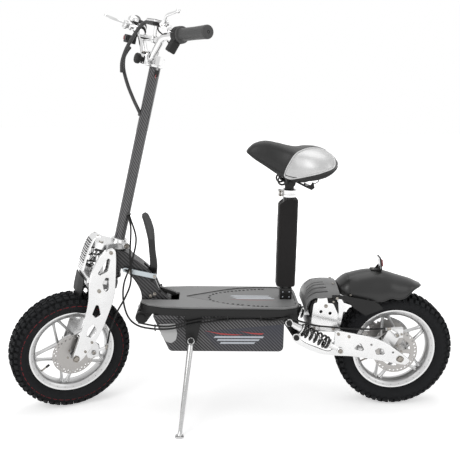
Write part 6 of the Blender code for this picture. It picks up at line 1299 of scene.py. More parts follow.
def fork_crown():
    """Both crowns, the steerer's clamp with its eye bolt and the rods."""
    piece = Piece("crown_castings", STEER)
    low = CROWN_LOW
    half = mm((24, 13), (12, 22.5), (-15, 31), (-50, 46), (-67, 47.5), (-80, 36), (-84.5, 14))
    outline = smooth_loop(both_sides(half), 0.004)
    piece.add(plate([outline], low, low + 0.02, "z", 0.0018, 3), "polished")
    boss = moved(mm((0, 2), (24, 2), (24, 28.5), (22.6, 30.5), (17, 30.9), (0, 30.9)), 0, low)
    piece.add(lathe(boss, 56), "polished", standing())
    eye_z = low + 0.016
    left, right = (0.014, -0.0366, eye_z), (0.014, 0.0366, eye_z)
    piece.add(rod(left, right, 0.01, 40, 0.001), "polished")
    # A thin gloss-black ring round the left eye bolt's washer: painted shade in the gap round it.
    piece.add(collar(0.0088, 0.0058, 0.0, 0.0006, 0.0002), "gloss_black", aim(left, (0, -1, 0)))
    piece.add(hex_bolt(left, (0, -1, 0), 0.006), "zinc")
    piece.add(hex_bolt(right, (0, 1, 0), 0.006), "zinc")
    half = mm((21, 11), (8, 20), (-25, 33), (-60, 44.5), (-74, 40), (-76, 15))
    lower = smooth_loop(both_sides(half), 0.004)
    piece.add(plate([lower], 0.385, 0.411, "z", 0.002, 3), "cast")
    piece.add(collar(0.021, 0.016, 0.387, 0.4236, 0.001), "steel", standing())
    piece.add(drum(0.016, 0.389, 0.59, 0.001), "steel", standing())
    for y in (-ROD_Y, ROD_Y):
        turn = standing(ROD_X, y)
        piece.add(drum(0.006, 0.388, low + 0.024, 0.001), "chrome", turn)
        piece.add(cap_bolt((ROD_X, y, low + 0.0198), (0, 0, 1), 0.0068, 0.6), "zinc")
        piece.add(collar(0.011, 0.0062, low - 0.0022, low, 0.0005), "black_plastic", turn)
    piece.make("steering", "cast", "fork_crown")


LEG_TOP = 0.528
LEG_FOOT = mm((2.5, -12), (18.5, -2), (32.5, 24), (51.5, 65))
LEG_FOOT_FRONT = mm((1.5, 125), (-1.5, 83), (-5.5, 44), (-9.5, 5))
LEG_HEAD = mm((-21, -254), (-13, -210), (-7, -166), (-7, -128), (-11, -100))
LEG_HEAD += mm((-17, -64), (-24, -28), (-31, -5), (-40, 1), (-49, -3))
LEG_HEAD += mm((-60, -10), (-71, -22), (-80, -42), (-87, -73), (-90, -107))
LEG_HEAD += mm((-87, -135), (-82, -171))


def fork_leg(name, side):
    """Polished fork plate with its cut-outs, bevelled edges and bolts."""

    def at_axle(points):
        return moved(points, -FORK_OFFSET, AXLE_ALONG)

    def at_head(points):
        return moved(points, 0, LEG_TOP)

    outline = smooth_loop(at_axle(LEG_FOOT) + at_head(LEG_HEAD) + at_axle(LEG_FOOT_FRONT), 0.004)
    cuts = [
        rounded(at_head(cut), radius, 4)
        for cut, radius in (
            (mm((-48, -27), (-70, -79), (-64, -84.5), (-42, -69), (-41, -35)), 0.0035),
            (mm((-44, -90), (-34, -90), (-28, -124), (-32, -135), (-43, -126), (-49, -110)), 0.003),
            (mm((-56, -176), (-48, -180), (-36, -208), (-50, -219), (-62, -208)), 0.0035),
        )
    ]
    low_cut = mm((32.5, 118), (17.5, 97), (17.5, 75), (31.5, 71), (45.5, 94))
    cuts.append(rounded(at_axle(low_cut), 0.0055, 4))
    piece = Piece(name + "_plate", STEER)
    loops = [outline, *cuts, circle(-FORK_OFFSET, AXLE_ALONG, 0.0064, 32)]
    piece.add(side_plate(loops, side, 0.063, 0.075, 0.0016, 3), "polished")
    for x, z, size in ((-0.044, -0.011, 0.0056), (-0.056, -0.133, 0.0056)):
        piece.add(cap_bolt((x, side * 0.0748, z + LEG_TOP), (0, side, 0), size, 0.7), "zinc")
    for x, z in ((0.032, 0.056), (0.0175, 0.025)):
        at = (x - FORK_OFFSET + 0.006, side * 0.0748, z + AXLE_ALONG)
        piece.add(cap_bolt(at, (0, side, 0), 0.004, 0.7), "zinc")
    piece.make("fork", "aluminium", name)


def fork_bridge():
    """Casting between the plates with the sliding sleeves and their seals."""
    piece = Piece("bridge_casting", STEER)
    low = 0.412
    body = oblong(0.0207, 0.0626, 0.004, -0.0728, 0.0)
    piece.add(plate([body], low + 0.0002, low + 0.018, "z", 0.0018, 3), "cast")
    for side in SIDES:
        arm = oblong(0.013, 0.0163, 0.004, -0.043, side * 0.0463)
        piece.add(plate([arm], low + 0.0002, low + 0.014, "z", 0.0015, 3), "cast")
        turn = standing(ROD_X, side * ROD_Y)
        piece.add(collar(0.011, 0.0064, low, low + 0.0238, 0.001), "cast", turn)
        piece.add(collar(0.0085, 0.0062, low + 0.0225, low + 0.025, 0.0005), "rubber", turn)
    piece.make("fork", "cast", "fork_bridge")


def fork_springs():
    """Enamelled coils between the bridge and the crown."""
    for name, side in (("fork_spring_left", -1), ("fork_spring_right", 1)):
        y = side * ROD_Y
        shape = coil((ROD_X, y, 0.436), (ROD_X, y, CROWN_LOW), 0.0125, 0.0021, 5.0)
        piece = Piece(name + "_coil")
        piece.add(shape, "spring", STEER)
        start, end = (STEER @ Vector((ROD_X, y, z)) for z in (0.508, 0.44))
        piece.bend(("steering", "fork"), start, end, "spring", name)


def front_cover():
    """Bright finned shield over the springs: its bent top, side flanges and cooling fins, with a
    black strip of painted shade between the fins.
    """
    path = mm(
        (-2, 548.5), (-12, 547.5), (-20.5, 540), (-26, 527), (-30.5, 509), (-33.5, 491),
        (-35.5, 473), (-36.8, 455), (-37.5, 438)
    )
    line = route([(ROD_X + x, 0.0, z) for x, z in path], 0.002)
    section = mm(
        (-24.5, 5.2), (-23.8, 2.6), (-21.5, 0.8), (-17, 0), (0, -0.4), (17, 0), (21.5, 0.8),
        (23.8, 2.6), (24.5, 5.2)
    )
    rows = []
    for i, p in enumerate(line):
        ahead = line[min(i + 1, len(line) - 1)] - line[max(i - 1, 0)]
        inward = Vector((-ahead.z, 0, ahead.x)).normalized()
        inward = inward if inward.x > 0 or (abs(inward.x) < 0.3 and inward.z < 0) else -inward
        rows.append([p + inward * (drop + 0.0006) + Vector((0, y, 0)) for y, drop in section])
    piece = Piece("spring_shield", STEER)
    piece.add(sheet(rows, 0.0014), "polished")
    # A gloss-black strip under the fins: painted shade where the slots between them look dark.
    slots = [p for p in line if 0.456 < p.z < 0.535]
    dark = [[p + Vector((-0.0013, y, 0.0003)) for y in (-0.019, 0.019)] for p in slots]
    piece.add(sheet(dark, 0.0012), "gloss_black")
    marks = [i for i, p in enumerate(line) if p.z < 0.53]
    step = (line[marks[0]] - line[marks[-1]]).length / 13
    walked, last = step, line[marks[0]]
    for i in marks:
        walked += (line[i] - last).length
        last = line[i]
        if walked < step:
            continue
        walked -= step
        ahead = (line[min(i + 1, len(line) - 1)] - line[i - 1]).normalized()
        out = Vector((ahead.z, 0, -ahead.x))
        out = out if out.x < 0 else -out
        at = line[i] - out * 0.0004
        fin = plate([mm((-1.7, 0), (1.7, 0), (1.2, 3.6), (-1.2, 3.6))], -0.02, 0.02, "y", 0.0002, 1)
        piece.add(fin, "polished", axes(at, ahead, (0, 1, 0), out))
    for y in (-0.0175, 0.0175):
        piece.add(cap_bolt((ROD_X - 0.0085, y, 0.5482), (-0.15, 0, 1), 0.003, 0.6), "zinc")
    piece.make("steering", "aluminium", "front_cover")


def front_mudguard():
    """Moulded guard below the shield, ribbed at its edge."""
    x = ROD_X - 0.0278
    stations = mm(
        (417.5, 0, 43), (406, 0.6, 45.5), (395, 0.4, 45.8), (380, 0.2, 45.8), (368, 0, 44),
        (358.5, 0, 40)
    )
    shares = (-1.0, -0.96, -0.75, -0.4, 0.0, 0.4, 0.75, 0.96, 1.0)
    rows = []
    for z, lean, half in stations:
        rows.append([(x - 0.005 + lean + 0.1 * abs(s * half) ** 1.25, s * half, z) for s in shares])
    piece = Piece("front_guard", STEER)
    piece.add(sheet(finer(rows, 4, 4), 0.0025), "guard")
    clip = oblong(0.003, 0.0118, 0.001, x - 0.003)
    piece.add(plate([clip], 0.4128, 0.4168, "z", 0.0005, 1), "guard")
    piece.make("fork", "black_plastic", "front_mudguard")


def caliper_shapes(piece, axle_at, out, radius, stop_at, way):
    """A mechanical caliper: hoop over the disc, piston cap, arm with its return spring, stop."""
    out = Vector(out).normalized()
    sideways = Vector((-out.z, 0, out.x))
    gap = 0.0027
    outer, inner = -DISC_Y - gap, -DISC_Y + gap
    section = [
        (outer - 0.0128, -0.0115),
        (outer, -0.0118),
        (outer, 0.01),
        (inner, 0.01),
        (inner, -0.0078),
        (inner + 0.005, -0.0078),
        (inner + 0.005, 0.015),
        (inner + 0.002, 0.0172),
        (outer - 0.008, 0.0218),
        (outer - 0.0128, 0.017),
    ]
    hoop = plate([section], -0.0207, 0.0207, "x", 0.0016, 2)
    middle = Vector(axle_at) + out * (radius - 0.008)
    piece.add(hoop, "cast", axes(middle, sideways, (0, 1, 0), out))
    face = middle + Vector((0, outer - 0.013, 0))
    down = Vector((0, -1, 0))
    cap = lathe(mm((0, -4), (11.8, -4), (11.8, 1), (10.8, 2.2), (8.5, 3), (8, 5.8), (0, 6)), 44)
    piece.add(cap, "cast", aim(face, down))
    piece.add(cap_bolt(face + down * 0.005, down, 0.0046, 0.6), "zinc")
    for shift in (-0.0155, 0.0155):
        screw = face + sideways * shift + Vector((0, 0.0008, 0))
        piece.add(cap_bolt(screw, down, 0.0036, 0.8), "zinc")
    start = face + down * 0.0015
    piece.add(tube([start, stop_at + way * 0.006], [0.007, 0.004], 20, 0.55, (0, 1, 0)), "polished")
    piece.add(rod(stop_at, stop_at + way * 0.012, 0.0044, 24), "zinc")
    piece.add(rod(stop_at - way * 0.001, stop_at + way * 0.003, 0.005, 6), "zinc")
    low, high = (start + down * far + sideways * 0.001 for far in (0.0004, 0.008))
    piece.add(coil(low, high, 0.0068, 0.0007, 3.5, 20, 8), "steel")


def front_caliper():
    """The front caliper on its bracket behind the left leg."""
    piece = Piece("front_caliper_body", STEER)
    hub = Vector((-FORK_OFFSET, 0, AXLE_ALONG))
    stop = Vector((0.009, -0.0585, 0.214))
    way = Vector((-0.08, -0.05, -1.0)).normalized()
    caliper_shapes(piece, hub, (1.0, 0, 0.3), 0.065, stop, way)
    bracket = rounded(mm((-64, 205), (-43, 170), (-10, 180), (-18, 215), (-45, 236)), 0.006, 4)
    piece.add(plate([bracket], -0.0627, -0.0577, "y", 0.0008, 2), "cast")
    piece.add(hex_bolt((-0.04, -0.0577, 0.208), (0, 1, 0), 0.0042), "zinc")
    piece.make("fork", "cast", "front_caliper")


def cable_start(beside):
    """A brake cable's first points, out of the column and beside the other cable."""
    beside = EXIT_WAY.cross(Vector((0, 0, 1))).normalized() * beside
    return [EXIT_FOOT + EXIT_WAY * far + beside for far in (0.021, 0.03, 0.039)]


def front_cable():
    """The cable from the column to the front caliper, with its end ferrule."""
    line = cable_start(0.0032)
    line += mm(
        (14, -42, 585), (19.5, -64, 515), (32, -83, 438), (30, -73, 382), (20, -54, 320),
        (11, -55, 265), (10.1, -57.8, 228), (9, -58.5, 214.3)
    )
    points = [STEER @ p for p in route(line, 0.003)]
    piece = Piece("front_cable_sheath")
    piece.add(tube(points, CABLE_R, 16), "cable")
    piece.add(tube([points[-4], points[-1]], FERRULE_R, 16, dome=0), "steel")
    start, end = STEER @ Vector((0.02, -0.05, 0.44)), STEER @ Vector((0.01, -0.05, 0.25))
    piece.bend(("steering", "fork"), start, end, "black_plastic", "front_brake_cable")


def harnesses():
    """Spiral-wrapped bundles: one from the bar into the column, one between meter and switches."""
    way = (ENTRY_FOOT - ENTRY).normalized()
    right = mm(
        (-54, 97, 1102), (-62, 94, 1088), (-70, 84, 1068), (-71, 60, 1036), (-59, 33, 997),
        (-41, 12, 962)
    )
    right += [ENTRY + way * far for far in (0.009, 0.018, 0.027)]
    left = mm(
        (-55, -35.7, 1183), (-55, -13, 1183), (-67, 2, 1166), (-78, 20, 1128), (-83, 40, 1092),
        (-84, 50, 1058), (-80.5, 46, 1030)
    )
    for name, line in (("harness_right", right), ("harness_left", left)):
        piece = Piece(name + "_wrap", STEER)
        piece.add(ribbed(line, 0.0055), "sleeve")
        piece.make("steering", "black_plastic", name, sharp=60)


# Frame, neck, deck and box


HINGE = (-0.281, 0.291)


def neck():
    """Film-covered gooseneck with its head tube, knuckle, pins and the lever's pocket."""
    upper = mm(
        (-374, 501), (-356, 499), (-325, 492.5), (-310, 477.5), (-286, 460), (-260, 437),
        (-242, 410), (-227, 376), (-205, 356), (-193.5, 345), (-196, 340), (-220, 343), (-250, 345),
        (-257, 330)
    )
    lower = mm((-284, 337), (-285, 368), (-301, 401), (-323, 427), (-344, 441.5), (-366, 431))
    knuckle = arc(HINGE[0], HINGE[1], 0.0195, -15, -195, 14)
    outline = smooth_loop(upper + knuckle + lower, 0.0035)
    piece = Piece("gooseneck")
    piece.add(plate([outline, circle(*HINGE, 0.0084, 32)], -0.03, 0.03, "y", 0.0055, 5), "carbon")
    pocket = mm(
        (-276, 392), (-262, 378), (-236, 362), (-210, 358), (-170, 356), (-170, 420), (-235, 480),
        (-276, 490)
    )
    pocket = plate([pocket], -0.0105, 0.0105, "y", 0.0001, 1)
    bore = rod(HEAD @ Vector((0, 0, 0.38)), HEAD @ Vector((0, 0, 0.56)), 0.02, 48)
    piece.make("neck", "carbon", "neck", sharp=46, cuts=[pocket, bore])
    more = Piece("neck_fittings")
    tube_profile = mm(
        (16.8, 424.2), (26.2, 424.2), (27.4, 425.2), (27.4, 432.5), (26.2, 434.5), (24.6, 437),
        (24.4, 500), (26.2, 503.5), (27.4, 505.5), (27.4, 512.8), (26.2, 513.8), (16.8, 513.8)
    )
    upright = HEAD @ standing()
    more.add(lathe(tube_profile, 64, True), "carbon_tube", upright)
    for low, high in ((0.4242, 0.429), (0.509, 0.5139)):
        more.add(collar(0.0278, 0.024, low, high, 0.0008, 56), "gloss_black", upright)
    for side in SIDES:
        out = (0, side, 0)
        face = side * 0.0298
        more.add(cap_bolt((-0.25, face, 0.406), out, 0.005, 0.35), "black_paint")
        more.add(cap_bolt((-0.226, face, 0.372), out, 0.0042, 0.35), "black_paint")
        washer = aim((HINGE[0], face, HINGE[1]), out)
        more.add(collar(0.015, 0.0085, 0.0, 0.002, 0.0006), "black_paint", washer)
        for x, z in ((-0.2545, 0.356), (-0.242, 0.362)):
            more.add(hex_bolt((x, face, z), out, 0.0042), "zinc")
    stud = rod((-0.315, -0.045, 0.438), (-0.315, -0.026, 0.438), 0.0028, 20)
    more.add(stud, "zinc")
    washer = aim((-0.315, -0.043, 0.438), (0, -1, 0))
    more.add(collar(0.0062, 0.003, 0.0, 0.0018, 0.0004), "zinc", washer)
    more.make("neck", "carbon")


def fold_lever():
    """Forged black lever with a moulded grip and a finger swell."""
    outline = mm(
        (-260, 398.5), (-250, 395), (-240.5, 398.5), (-236.2, 425), (-235.5, 453), (-240.2, 492),
        (-244, 540), (-253, 544.5), (-263.5, 540), (-260.8, 497), (-258, 455), (-260.8, 425)
    )
    loops = [smooth_loop(outline), circle(-0.25, 0.406, 0.0044, 28)]
    piece = Piece("fold_lever_blade")
    piece.add(plate(loops, -0.0078, 0.0078, "y", 0.0026, 4), "gloss_black")
    line = mm(
        (-253.5, 0, 531), (-255.2, 0, 544), (-258, 0, 560), (-264, 0, 582), (-271.2, 0, 601),
        (-274.2, 0, 607.5)
    )
    line = route(line, 0.002)
    last = len(line) - 1
    radii = []
    for i in range(last + 1):
        share = i / last
        swell = 0.0112 + 0.002 * math.sin(math.pi * min(share * 1.15, 1.0))
        groove = 0.0006 if 0.12 < share < 0.8 and i % 3 == 0 else 0.0
        radii.append((swell - groove) * (1.0 if share < 0.9 else 1.0 - 3.2 * (share - 0.9)))
    piece.add(tube(line, radii, 32, 0.92, (0, 1, 0), dome=0.4), "rubber")
    piece.add(rod((-0.2415, -0.0445, 0.4225), (-0.2415, 0.0, 0.4225), 0.0029, 20), "zinc")
    piece.add(cap_bolt((-0.2415, -0.0422, 0.4225), (0, -1, 0), 0.005, 0.5), "zinc")
    piece.make("fold_lever", "black_rubber", "fold_lever", sharp=44)


DECK_HALF = 0.1065


def deck_outline(inset=0.0):
    """Plan of the deck: straight sides, a tapered nose and a blunt tail, its corners eased."""
    wide, nose, tail = DECK_HALF - inset, -0.285 + inset, 0.2 - inset
    half = [
        (nose, 0.05), (nose + 0.022, 0.078 - inset / 2), (nose + 0.07, wide - 0.008),
        (nose + 0.15, wide), (tail - 0.045, wide), (tail - 0.01, wide - 0.014),
        (tail, wide - 0.032),
    ]
    radii = [0.01, 0.02, 0.06, 0.06, 0.03, 0.012, 0.012]
    return rounded(half + [(x, -y) for x, y in reversed(half)], radii + radii[::-1], 4)


def slanted(first, last, low, tall, lean):
    """A bar with slanted ends."""
    high = low + tall
    return [(first, low), (last, low), (last + lean, high), (first + lean, high)]


LENS = mm((-147, 0), (-128, 12.5), (-91, 32), (-60, 50), (-27, 68), (22, 86), (75, 95.5))
LENS += mm((120, 97.5), (160, 94), (184, 82), (190, 64), (190.5, 0))


def deck():
    """Grip-coated tread: a raised border, the sunk lens in its middle with a black line of painted
    shade round it, studs and screws.
    """
    outline = deck_outline(0.003)
    notch = mm((-320, -36.3), (-167, -36.3), (-167, 36.3), (-320, 36.3))
    notch = rounded(notch, [0, 0.004, 0.004, 0], 4)
    piece = Piece("deck_tread")
    under, mid, top = 0.341, 0.3446, 0.347
    lens = LENS + [(x, -y) for x, y in reversed(LENS[1:-1])]
    lens = rounded(lens, [0.002] + [0.02] * (len(lens) - 1), 3)
    piece.add(plate([outline], under, mid, "z", 0.0004, 1), "deck_mat_painted_reflection")
    foot = oblong(0.0188, 0.0188, 0.003, SEAT_X)
    holes = [plate([hole], under - 0.01, top + 0.01, "z", 0.0, 1) for hole in (notch, foot)]
    piece.make("frame", "deck", "deck_panel", cuts=holes)
    border = Piece("deck_border")
    border.add(plate([outline, lens], mid - 0.0002, top, "z", 0.0006, 2), "deck")
    border.make("frame", "deck", cuts=holes)
    details = Piece("deck_details")
    # A thin black tube round the lens's edge: painted shade along the wall of the recess.
    edge = [Vector((x, y, top - 0.0006)) for x, y in lens]
    details.add(tube(edge, 0.0008, 8, closed=True), "black_plastic")
    ring = mm(
        (98, -86, 0), (60, -82, 0), (26, -74, 0), (-32, -58, 0), (-62, -38, 0), (-75, -6, 0),
        (-62, 26, 0), (-25, 48, 0), (23, 65, 0), (73, 77, 0), (98, 80, 0)
    )
    ring = route(ring, 0.0145)
    stud = drum(0.004, mid - 0.0003, mid + 0.0014, 0.0007, 20)
    for point in ring:
        details.add(stud, "gloss_black", standing(point.x, point.y))
    for y, first, last in mm((12, -10, 108), (0, -2, 116), (-12, 6, 124)):
        bar = slanted(first, last, y - 0.0035, 0.007, 0.006)
        details.add(plate([bar], mid - 0.0003, mid + 0.0002, "z", 0.0001, 1), "white")
    stroke = mm((-10, -23), (60, -27), (130, -26.5), (60, -29))
    details.add(plate([stroke], mid - 0.0003, mid + 0.0002, "z", 0.0001, 1), "red")
    for x, y in mm((-238, 60), (-120, 94), (20, 98.5), (150, 94), (188, 50)):
        for side in SIDES:
            details.add(cap_bolt((x, side * y, top - 0.0008), (0, 0, 1), 0.0036, 0.3), "steel")
    details.make("frame", "deck")


def box_trim():
    """The box's plain stripes, seam, screws, cable ties and second cable run."""
    piece = Piece("box_trim")
    film = (0.0969, 0.0975)
    streaks = (
        mm((-87, 270), (-40, 262.5), (5, 259), (30, 258.5), (5, 256), (-40, 258.5)),
        mm((20, 269), (55, 264), (92, 262.5), (84, 258.5), (56, 260.5)),
    )
    shield = mm(
        (-225, 290), (-176, 292), (-170, 260), (-174, 240), (-188, 229), (-204, 235), (-218, 256)
    )
    shield = rounded(shield, [0.003, 0.003, 0.012, 0.01, 0.01, 0.01, 0.012], 5)
    for side in SIDES:
        for streak in streaks:
            piece.add(side_plate([streak], side, *film, 0.0002, 1), "red")
        piece.add(side_plate([shield], side, *film, 0.0002, 1), "plate")
        for x, width, level in mm((-60, 148, 247.5), (-51, 126, 238), (-42, 104, 228.5)):
            bar = slanted(x, x + width, level, 0.0058, 0.0045)
            piece.add(side_plate([bar], side, *film, 0.0002, 1), "white")
        for x in (-0.165, -0.06, 0.05, 0.14):
            piece.add(cap_bolt((x, side * 0.097, 0.312), (0, side, 0), 0.0034, 0.45), "black_paint")
        seam = []
        for x in (-0.236, -0.15, -0.05, 0.05, 0.149):
            seam.append((x, side * 0.0971, 0.304 + 0.004 * math.sin((x + 0.2) * 6)))
        piece.add(tube(route(seam, 0.006), 0.0009, 8), "black_plastic")
    piece.make("frame", "carbon")
    lead = Piece("box_lead")
    line = mm(
        (-286, -101, 296), (-236, -107, 289), (-190, -112, 290), (-144, -113.5, 301),
        (-88, -111.5, 312), (-20, -106, 316.5), (50, -104, 317.5), (110, -104, 316), (156, -96, 310)
    )
    lead.add(tube(route(line, 0.003), 0.0026, 14), "cable")
    for x, y, z in mm((-236, -103.5, 280), (-144, -112, 296), (-20, -104, 312), (80, -103, 313)):
        loop = []
        for i in range(28):
            a = math.tau * i / 28
            shape = (0.0012 * math.sin(2 * a), 0.0052 * math.cos(a), 0.0092 * math.sin(a))
            loop.append((x + shape[0], y + shape[1], z + shape[2]))
        lead.add(tube(loop, 0.0008, 6, 1.6, (1, 0, 0), closed=True), "gloss_black")
        head = oblong(0.002, 0.0024, 0.0006, x, z + 0.009)
        lead.add(plate([head], y - 0.002, y + 0.002, "y", 0.0005, 1), "gloss_black")
    lead.make("frame", "black_plastic")


def seat_tube():
    """Square foot, round tube and the bright clamp with its two bolts."""
    piece = Piece("seat_tube_body")
    foot = oblong(0.0185, 0.0185, 0.003, SEAT_X)
    piece.add(plate([foot], 0.341, 0.3806, "z", 0.0012, 3), "gloss_black")
    upright = standing(SEAT_X)
    profile = mm((14.6, 380), (17.5, 380.6), (17.5, 689.3), (17, 689.9), (14.6, 689.9))
    piece.add(lathe(profile, 56, True), "gloss_black", upright)
    for x, y in mm((-15, -15), (15, -15), (-15, 15), (15, 15)):
        piece.add(drum(0.0014, 0.3802, 0.3812, 0.0004, 14), "white", standing(SEAT_X + x, y))
    for level in (0.353, 0.369):
        for x in (SEAT_X - 0.01, SEAT_X + 0.01):
            turn = aim((x, -0.0184, level), (0, -1, 0))
            piece.add(drum(0.002, 0.0, 0.0008, 0.0003, 16), "white", turn)
    low, high = 0.666, 0.689
    rise = mm((17.3, 0), (22.2, 0), (23.4, 1.2), (23.4, 8.5), (22.6, 9.5))
    ring = moved(rise, 0, low) + [(out, high - up) for out, up in reversed(rise)]
    piece.add(lathe(ring, 64, True), "polished", upright)
    for side in SIDES:
        ear = oblong(0.0098, 0.0036, 0.0015, SEAT_X - 0.0262, side * 0.0048)
        piece.add(plate([ear], low + 0.002, high - 0.002, "z", 0.0014, 3), "polished")
    for z in (low + 0.0065, high - 0.0065):
        piece.add(rod((0.1355, -0.0105, z), (0.1355, 0.0105, z), 0.0026, 20), "zinc")
        piece.add(cap_bolt((0.1355, -0.0082, z), (0, -1, 0), 0.0046, 1.0), "zinc")
        piece.add(hex_bolt((0.1355, 0.0084, z), (0, 1, 0), 0.004), "zinc")
    piece.make("frame", "black_paint", "seat_tube")


def post_pad():
    """Foam sleeve: bulged sides, rolled ends, a slanted front top and its rear seam."""
    low, high = 0.3862, 0.661
    around = oblong(0.0288, 0.0252, 0.0115, 0.0, 0.0, 8)
    dense = []
    for a, b in zip(around, around[1:] + around[:1]):
        steps = max(1, round(math.dist(a, b) / 0.0035))
        for i in range(steps):
            dense.append((a[0] + (b[0] - a[0]) * i / steps, a[1] + (b[1] - a[1]) * i / steps))
    rings = []
    roll = [0.7, 0.86, 0.955, 0.985, 0.998]
    levels = [0.0, 0.0, 0.004, 0.01, 0.02, *(i / 48 for i in range(2, 47))]
    levels += [0.98, 0.99, 0.996, 1.0, 1.0]
    shrink = roll + [1.0] * 45 + roll[::-1]
    for share, scale in zip(levels, shrink):
        bulge = 1.0 + 0.03 * math.sin(math.pi * share) ** 0.6 + 0.006 * math.sin(share * 41.0)
        ring = []
        for u, v in dense:
            crown = high - max(0.0, (-0.009 - u)) * 0.77
            dent = 0.0012 * math.exp(-((v / 0.0022) ** 2)) if u > 0.02 else 0.0
            x, y = (u - dent) * scale * bulge + 0.161, v * scale * bulge
            ring.append((x, y, low + share * (crown - low)))
        rings.append(ring)
    piece = Piece("foam_sleeve")
    piece.add(loft(rings), "foam")
    obj = piece.make("frame", "foam", "post_pad", sharp=60)


# Saddle


# Along the seat: x, top, low and half width; then a row's section and how far the skirt hangs
SADDLE_STATIONS = mm(
    (-132, 91, 88, 10), (-124, 102, 82, 20), (-107, 115, 73, 28), (-78, 122, 59, 34),
    (-45, 118, 42, 41), (-15, 111, 29, 54), (13, 106, 24, 76), (43, 107, 23, 96),
    (73, 105, 26, 105), (101, 97, 34, 101), (123, 85, 46, 82), (136, 69, 58, 45)
)
SADDLE_SECTION = [(0.0, 1.0), (0.3, 0.985), (0.6, 0.91), (0.85, 0.72), (1.0, 0.42), (1.0, 0.2)]
SADDLE_SECTION += [(0.93, 0.02), (0.55, 0.0), (0.0, 0.0)]
SKIRT = (0.0, 0.0, 0.0, 0.0, 0.15, 0.55, 1.0, 0.35, 0.0)
SKIRT_DEPTH = (0.0, 0.002, 0.006, 0.01, 0.014, 0.0155, 0.013, 0.009, 0.006, 0.004, 0.002, 0.0)
# Outline of the silver side panel and how much finer the grid is made each way
PANEL = [
    (4.85, 10.4), (4.85, 10.9), (5.13, 11.9), (5.62, 12.9), (6.13, 13.7), (6.8, 14.35),
    (7.55, 14.9), (8.5, 15.1), (9.35, 14.7), (9.75, 13.5), (9.78, 12.4), (9.5, 11.75),
    (8.4, 11.35), (7.3, 11.0), (6.1, 10.6), (5.4, 10.35),
]
ALONG = 12
ROUND = 8


def saddle_surface():
    """The saddle's grid of points, nose to tail, each row once round its section."""
    section = [(y, z, hang) for (y, z), hang in zip(SADDLE_SECTION, SKIRT)]
    around = section + [(-y, z, hang) for y, z, hang in reversed(section[1:-1])]
    rings = []
    for (x, top, low, half), skirt in zip(SADDLE_STATIONS, SKIRT_DEPTH):
        ring = []
        for y, z, hang in around:
            high = CLAMP_Z + low + (top - low) * z - skirt * hang
            ring.append((SEAT_X + x, half * y, high))
        rings.append(ring)
    grid = finer(rings, ROUND, ALONG, True)
    across = len(grid[0])
    for row in grid:
        for c, point in enumerate(row):
            top = 0.0
            if min(c, across - c) < across / 6:
                top = max(0.0, math.cos(math.tau * c / across * 1.5))
            back = min(max((point.x - 0.13) / 0.05, 0.0), 1.0)
            channel = math.exp(-((point.y / 0.0085) ** 2)) * back * top
            crease = math.exp(-(((point.x - 0.118) / 0.004) ** 2)) * top * 0.0012
            point.z -= 0.0052 * channel + crease
    return grid


def grid_point(grid, u, v):
    """A place on the grid between its points, and the way out of the surface there."""
    rows, across = len(grid), len(grid[0])
    u = min(max(u, 0.0), rows - 1.001)
    r, c = int(u), int(v) % across
    s, t = u - int(u), v - math.floor(v)
    corners = grid[r][c], grid[r][(c + 1) % across], grid[r + 1][c], grid[r + 1][(c + 1) % across]
    out = (corners[2] - corners[0]).cross(corners[1] - corners[0]).normalized()
    return corners[0].lerp(corners[1], t).lerp(corners[2].lerp(corners[3], t), s), out


def within(loop, u, v):
    """Whether a place lies in a loop."""
    inside = False
    for (a, b), (c, d) in zip(loop, loop[1:] + loop[:1]):
        if (b > v) != (d > v) and u < (c - a) * (v - b) / (d - b) + a:
            inside = not inside
    return inside


def saddle():
    """Vinyl saddle: black top, silver rear side panels in white piping, black shell below."""
    grid = saddle_surface()
    rows, across = len(grid), len(grid[0])
    left = smooth_loop([(u * ALONG, v * ROUND) for u, v in PANEL], 0.8)
    right = [(u, (across - v) % across) for u, v in left]
    flat = 1.0 if grid_point(grid, rows * 0.6, 2.0)[1].z > 0 else -1.0
    fine = []
    for r in range(rows):
        line = []
        for c in range(across):
            _, out = grid_point(grid, float(r), float(c))
            puff = 0.0
            for loop in (left, right):
                if within(loop, r, c):
                    near = min(math.hypot(r - u, c - v) for u, v in loop)
                    puff = 0.0022 * (1 - math.exp(-near / 4.0))
            line.append(grid[r][c] + out * flat * puff)
        fine.append(line)
    points = [p for row in fine for p in row]
    groups = {"vinyl": [], "silver_vinyl": [], "gloss_black": []}
    for r in range(rows - 1):
        for c in range(across):
            d = (c + 1) % across
            face = (r * across + c, r * across + d, (r + 1) * across + d, (r + 1) * across + c)
            below = across * 6.1 / 16 < c < across * 9.9 / 16
            silver = within(left, r + 0.5, c + 0.5) or within(right, r + 0.5, c + 0.5)
            groups["silver_vinyl" if silver else "gloss_black" if below else "vinyl"].append(face)
    groups["vinyl"] += [tuple(range(across)), tuple(range(len(points) - across, len(points)))]
    piece = Piece("saddle_cover")
    piece.keys = list(groups)
    piece.points = points
    for slot, faces in enumerate(groups.values()):
        piece.faces += faces
        piece.slots += [slot] * len(faces)
    obj = piece.make("seat", "vinyl", "saddle", sharp=70)
    trim = Piece("saddle_piping")
    for loop in (left, right):
        line = [grid_point(grid, u, v) for u, v in loop]
        line = [p + out * flat * 0.0012 for p, out in line]
        trim.add(tube(line, 0.0018, 10, closed=True), "piping")
    for side in (across * 5.4 / 16, across * 10.6 / 16):
        line = [grid_point(grid, u, side) for u in [3 + i * (rows - 8) / 90 for i in range(91)]]
        trim.add(tube([p + out * flat * 0.0004 for p, out in line], 0.0013, 10), "vinyl")
    trim.make("seat", "vinyl")


